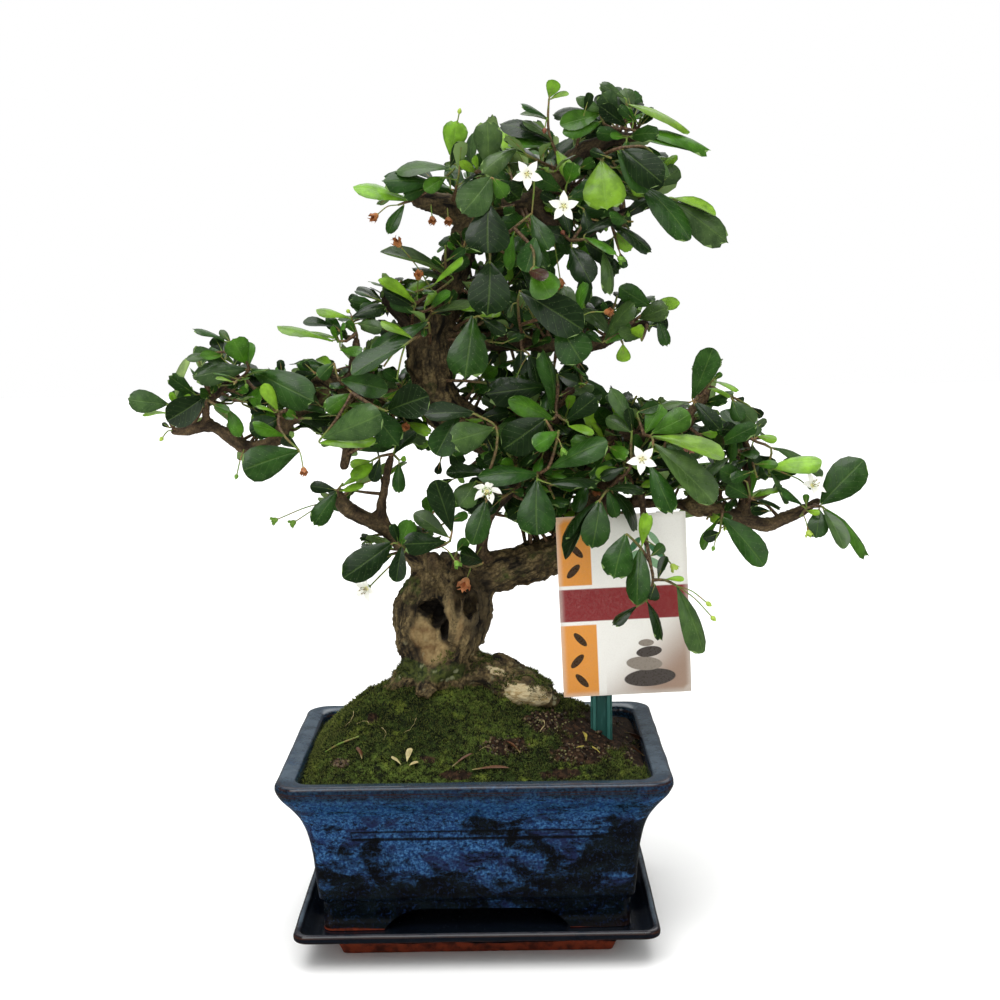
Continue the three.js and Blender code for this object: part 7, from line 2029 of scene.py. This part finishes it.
# Card of the plant label: a thin sheet, a little bowed, with a plain printed ground of bands and leaf shapes
cardSet = {
    "width": 68, "height": 97, "thickness": 0.6, "centre": (624, 605, -12), "tilt": -2, "bow": 0.5, "corner": 0.4,
    "cells": (16, 22), "softEdge": 0.004, "ovalStretch": 1.43,
    "paper": "efede6", "red": "861f22", "ochre": "dd8f2c", "leaf": "3f6f4a", "leafPale": "7ea37c", "stone": "8b8175",
    "stoneDark": "4b443f", "edge": "cfcac0", "sand": "9a7f6c", "mark": "43301c",
}


# Soft-edged box on the card, given as left, right, bottom and top in shares of its width and height
def printedBox(across, up, left, right, bottom, top):
    soft = cardSet["softEdge"]
    return times(fade(across, left - soft, left + soft), fade(across, right + soft, right - soft),
                 fade(up, bottom - soft, bottom + soft), fade(up, top + soft, top - soft))


# One oval printed on the card
def makePrintedOval():
    group, given, out = newGroup(
        "printedOval", {"Across": 0.0, "Up": 0.0, "Centre X": 0.5, "Centre Y": 0.5, "Half Width": 0.1,
                        "Half Height": 0.1, "Turn": 0.0}, {"Mask": "Float"})
    dx = minus(given["Across"], given["Centre X"])
    dy = times(minus(given["Up"], given["Centre Y"]), cardSet["ovalStretch"])
    cosine, sine = calc("COSINE", given["Turn"]), calc("SINE", given["Turn"])
    along = calc("DIVIDE", plus(times(dx, cosine), times(dy, sine)), given["Half Width"])
    aside = calc("DIVIDE", minus(times(dy, cosine), times(dx, sine)), given["Half Height"])
    feed(out, Mask=fade(plus(times(along, along), times(aside, aside)), 1.06, 0.94))
    return group


printedOval = makePrintedOval()
# Ovals of the print, as (centre x, centre y, half width, half height, turn, paint)
cardOvals = [
    (0.68, 0.09, 0.2, 0.07, 0.05, "stoneDark"), (0.64, 0.17, 0.14, 0.055, -0.08, "stone"),
    (0.68, 0.235, 0.1, 0.042, 0.1, "stoneDark"), (0.66, 0.285, 0.06, 0.028, 0.0, "stone"),
    (0.55, 0.69, 0.085, 0.03, 0.6, "leaf"), (0.76, 0.72, 0.085, 0.03, 2.5, "leafPale"),
    (0.57, 0.76, 0.08, 0.028, 0.7, "leafPale"), (0.77, 0.79, 0.08, 0.028, 2.4, "leaf"),
    (0.6, 0.83, 0.07, 0.026, 0.9, "leaf"), (0.75, 0.86, 0.065, 0.024, 2.2, "leafPale"),
    (0.68, 0.92, 0.06, 0.024, 1.55, "leaf"), (0.12, 0.92, 0.07, 0.028, 0.8, "mark"),
    (0.15, 0.81, 0.07, 0.026, 2.3, "mark"), (0.12, 0.7, 0.07, 0.028, 0.8, "mark"),
    (0.15, 0.32, 0.07, 0.026, 2.3, "mark"), (0.12, 0.2, 0.07, 0.028, 0.8, "mark"),
    (0.15, 0.09, 0.07, 0.026, 2.3, "mark"),
]
# Boxes of the print, as (left, right, bottom, top, paint)
cardBoxes = [(0.34, 1.0, 0.0, 0.42, "sand"), (0.0, 1.0, 0.42, 0.6, "red"), (0.0, 0.26, 0.62, 1.0, "ochre"),
             (0.0, 0.28, 0.0, 0.4, "ochre")]
cardStem = 0.675, 0.687, 0.62, 0.92


def makeCardMaterial():
    c = cardSet
    material, tree, surface = newMaterial("cardPrint", Specular_IOR_Level=0.5, Coat_Roughness=0.2)
    place = storedValue(tree, "cardPlace", "Vector")
    across, up, side = (axisOf(place, axis) for axis in "XYZ")
    front, fibres = fade(side, 0.0, -0.5), grain(objectPlace(tree), 0.9, 4.0, 0.65)
    colour = mixPaint(fade(fibres, 0.35, 0.7), c["paper"], c["edge"])
    colour = mixPaint(0.75, colour, c["paper"])
    for *box, tint in cardBoxes:
        ink = times(printedBox(across, up, *box), front, fade(fibres, 0.2, 0.6, 0.9, 1.0))
        if tint == "sand":  # fades out towards its upper left corner
            ink = times(ink, fade(plus(across, times(up, -1.4)), 0.1, 0.75))
        colour = mixPaint(ink, colour, c[tint])
    colour = mixPaint(times(front, printedBox(across, up, *cardStem)), colour, c["leaf"])
    for x, y, halfWidth, halfHeight, turn, tint in cardOvals:
        mask = useGroup(printedOval, Across=across, Up=up, Centre_X=x, Centre_Y=y, Half_Width=halfWidth,
                        Half_Height=halfHeight, Turn=turn)["Mask"]
        colour = mixPaint(times(front, mask), colour, c[tint])
    colour = mixPaint(fade(storedValue(tree, "edgeWear"), 0.2, 1.0, 0.0, 0.5), colour, c["edge"])
    feed(surface, Base_Color=colour, Roughness=fade(fibres, 0.3, 0.7, 0.24, 0.36), Normal=bumpOf(fibres, 0.12, 0.2))
    return material


def makeCard():
    c = cardSet
    centre, turn = seenAt(*c["centre"]), Matrix.Rotation(math.radians(c["tilt"]), 3, "Y")
    (columns, rows), corner = c["cells"], c["corner"]
    points, placing, wears = [], [], []
    for side in (-1, 1):
        for j in range(rows + 1):
            for i in range(columns + 1):
                u, v = i / columns, j / rows
                x, z = (u - 0.5) * c["width"], (v - 0.5) * c["height"]
                overX, overZ = abs(x) - c["width"] / 2 + corner, abs(z) - c["height"] / 2 + corner
                if overX > 0 and overZ > 0:  # round the corner off
                    excess = 1 - corner / math.hypot(overX, overZ)
                    x -= math.copysign(overX * excess, x)
                    z -= math.copysign(overZ * excess, z)
                bow = c["bow"] * (4 * (u - 0.5) ** 2 - 0.5) + 0.25 * c["bow"] * math.sin(3 * v + 1)
                rim = i in (0, columns) or j in (0, rows)
                y = side * c["thickness"] / 2 * (0.55 if rim else 1) - bow * 0.6
                points.append(centre + turn @ Vector((x, y, z)) * mm)
                placing.append((u, v, side))
                wears.append(1.0 if rim else 0.0)
    card = meshPiece("plant_card", points, sheetFaces(columns, rows), makeCardMaterial(), 40, edgeWear=wears)
    store(card.data, "cardPlace", placing, "FLOAT_VECTOR")
    takePlace(card, "card", "label_card")


# Stake behind the card: a strip with two ribs, round edges and a point that stands in the soil
stakeSet = {"width": 11.5, "thickness": 1.4, "rib": 1.0, "ribWidth": 2.3, "length": 84, "point": 14,
            "top": (601, 676), "behindCard": 0.7, "round": 0.35, "step": 6,
            "edges": (0, 1, 2, 3, 5, 6, 9, 10, 12, 13, 14, 15)}


def makeStake():
    s = stakeSet
    half, thick, rib, bevel, length = s["width"] / 2, s["thickness"], s["rib"], s["round"], s["length"]
    outline = [(-half + bevel, 0), (-half, -bevel), (-half, -thick + bevel), (-half + bevel, -thick)]
    for middle in (-s["width"] / 3, s["width"] / 3):
        left, right = middle - s["ribWidth"] / 2, middle + s["ribWidth"] / 2
        outline += [(left, -thick), (left + bevel, -thick - rib), (right - bevel, -thick - rib), (right, -thick)]
    outline += [(half - bevel, -thick), (half, -thick + bevel), (half, -bevel), (half - bevel, 0)]
    top = seenAt(*s["top"], cardSet["centre"][2] + s["behindCard"] + rib + thick)
    # levels as (height, share of the outline's width), down to the point in the soil
    levels = [(0, 0.96), (-0.5, 1.0), *((-z, 1.0) for z in range(s["step"], length - s["point"], s["step"]))]
    levels += [(s["point"] - length, 1.0), (s["point"] / 2 - length, 0.5), (0.6 - length, 0.06)]
    points, wears = [], []
    for z, share in levels:
        for k, (x, y) in enumerate(outline):
            scuff = noise.noise(Vector((x, z, 3)) * 0.3) * 0.06
            points.append(top + Vector((x * share + scuff, y, z)) * mm)
            wears.append(0.9 if k in s["edges"] else 0.0)
    stake = meshPiece("label_spike", points, tubeFaces(len(levels), len(outline)), stakePlastic, 30, edgeWear=wears)
    tidyNormals(stake)
    smoothed(stake.data, 30)
    takePlace(stake, "stake_plastic", "label_stake")


makeCard()
makeStake()
# The soil and the mesh squares over the drain holes keep their own shapes
for node, material in (("soil", soilMaterial), ("drain_mesh_left", drainPlastic), ("drain_mesh_right", drainPlastic)):
    bpy.data.objects[node].data.materials.clear()
    bpy.data.objects[node].data.materials.append(material)
print("label made")


# Floor, light and the last lines
studioSet = {
    "floorSize": 8000, "paper": "f8f8f7", "paperSpots": "fafaf9", "background": 1.0, "ambient": 0.5,
    "reflected": 0.15, "mirrored": "4a4a48", "aim": (20, 10, 210),
    "softboxes": [("keyLight", (-700, -1000, 1300), 600, 4.0), ("fillLight", (1200, -800, 1000), 700, 1.6),
                  ("backLight", (200, 1300, 1300), 1000, 3.0)],
    "suns": [("highSun", (0.05, 0.2, -1), 50, 2.2), ("lowSun", (0.1, 0.7, -0.55), 60, 0.7),
             ("rearSun", (-0.1, -0.6, -1), 60, 0.7)],
}


def addLamp(name, kind, power, aim):
    data = bpy.data.lights.new(name, kind)
    data.energy = power
    lamp = inScene(name, data)
    lamp.rotation_euler = aim.to_track_quat("-Z", "Y").to_euler()
    return lamp, data


def makeStudio():
    s, half = studioSet, studioSet["floorSize"] * mm / 2
    material, tree, surface = newMaterial("floorPaper", Roughness=0.9, Specular_IOR_Level=0.1)
    paper = mixPaint(fade(grain(objectPlace(tree), 900.0), 0.3, 0.7), s["paper"], s["paperSpots"])
    # the floor mirrored in glaze and leaves stays dark, like a floor out of the studio lights
    mirrored = addNode(tree, "ShaderNodeLightPath").outputs["Is Glossy Ray"]
    feed(surface, Base_Color=mixPaint(mirrored, paper, s["mirrored"]))
    meshPiece("floor", [(-half, -half, 0), (half, -half, 0), (half, half, 0), (-half, half, 0)],
                       [(0, 1, 2, 3)], material)
    sky = bpy.data.worlds.new("studio")
    scene.world = sky
    sky.use_nodes = True
    rays = addNode(sky.node_tree, "ShaderNodeLightPath").outputs
    unseen = fade(rays["Is Glossy Ray"], 0.0, 1.0, s["ambient"], s["reflected"])
    feed(sky.node_tree.nodes["Background"], Color="ffffff",
         Strength=fade(rays["Is Camera Ray"], 0.0, 1.0, unseen, s["background"]))
    for name, place, size, power in s["softboxes"]:
        place = Vector(place) * mm
        lamp, data = addLamp(name, "AREA", power, Vector(s["aim"]) * mm - place)
        lamp.location, data.shape, data.size = place, "SQUARE", size * mm
    for name, direction, spread, power in s["suns"]:
        addLamp(name, "SUN", power, Vector(direction))[1].angle = math.radians(spread)


makeStudio()
scene.view_settings.view_transform = "Standard"
scene.view_settings.look = "None"
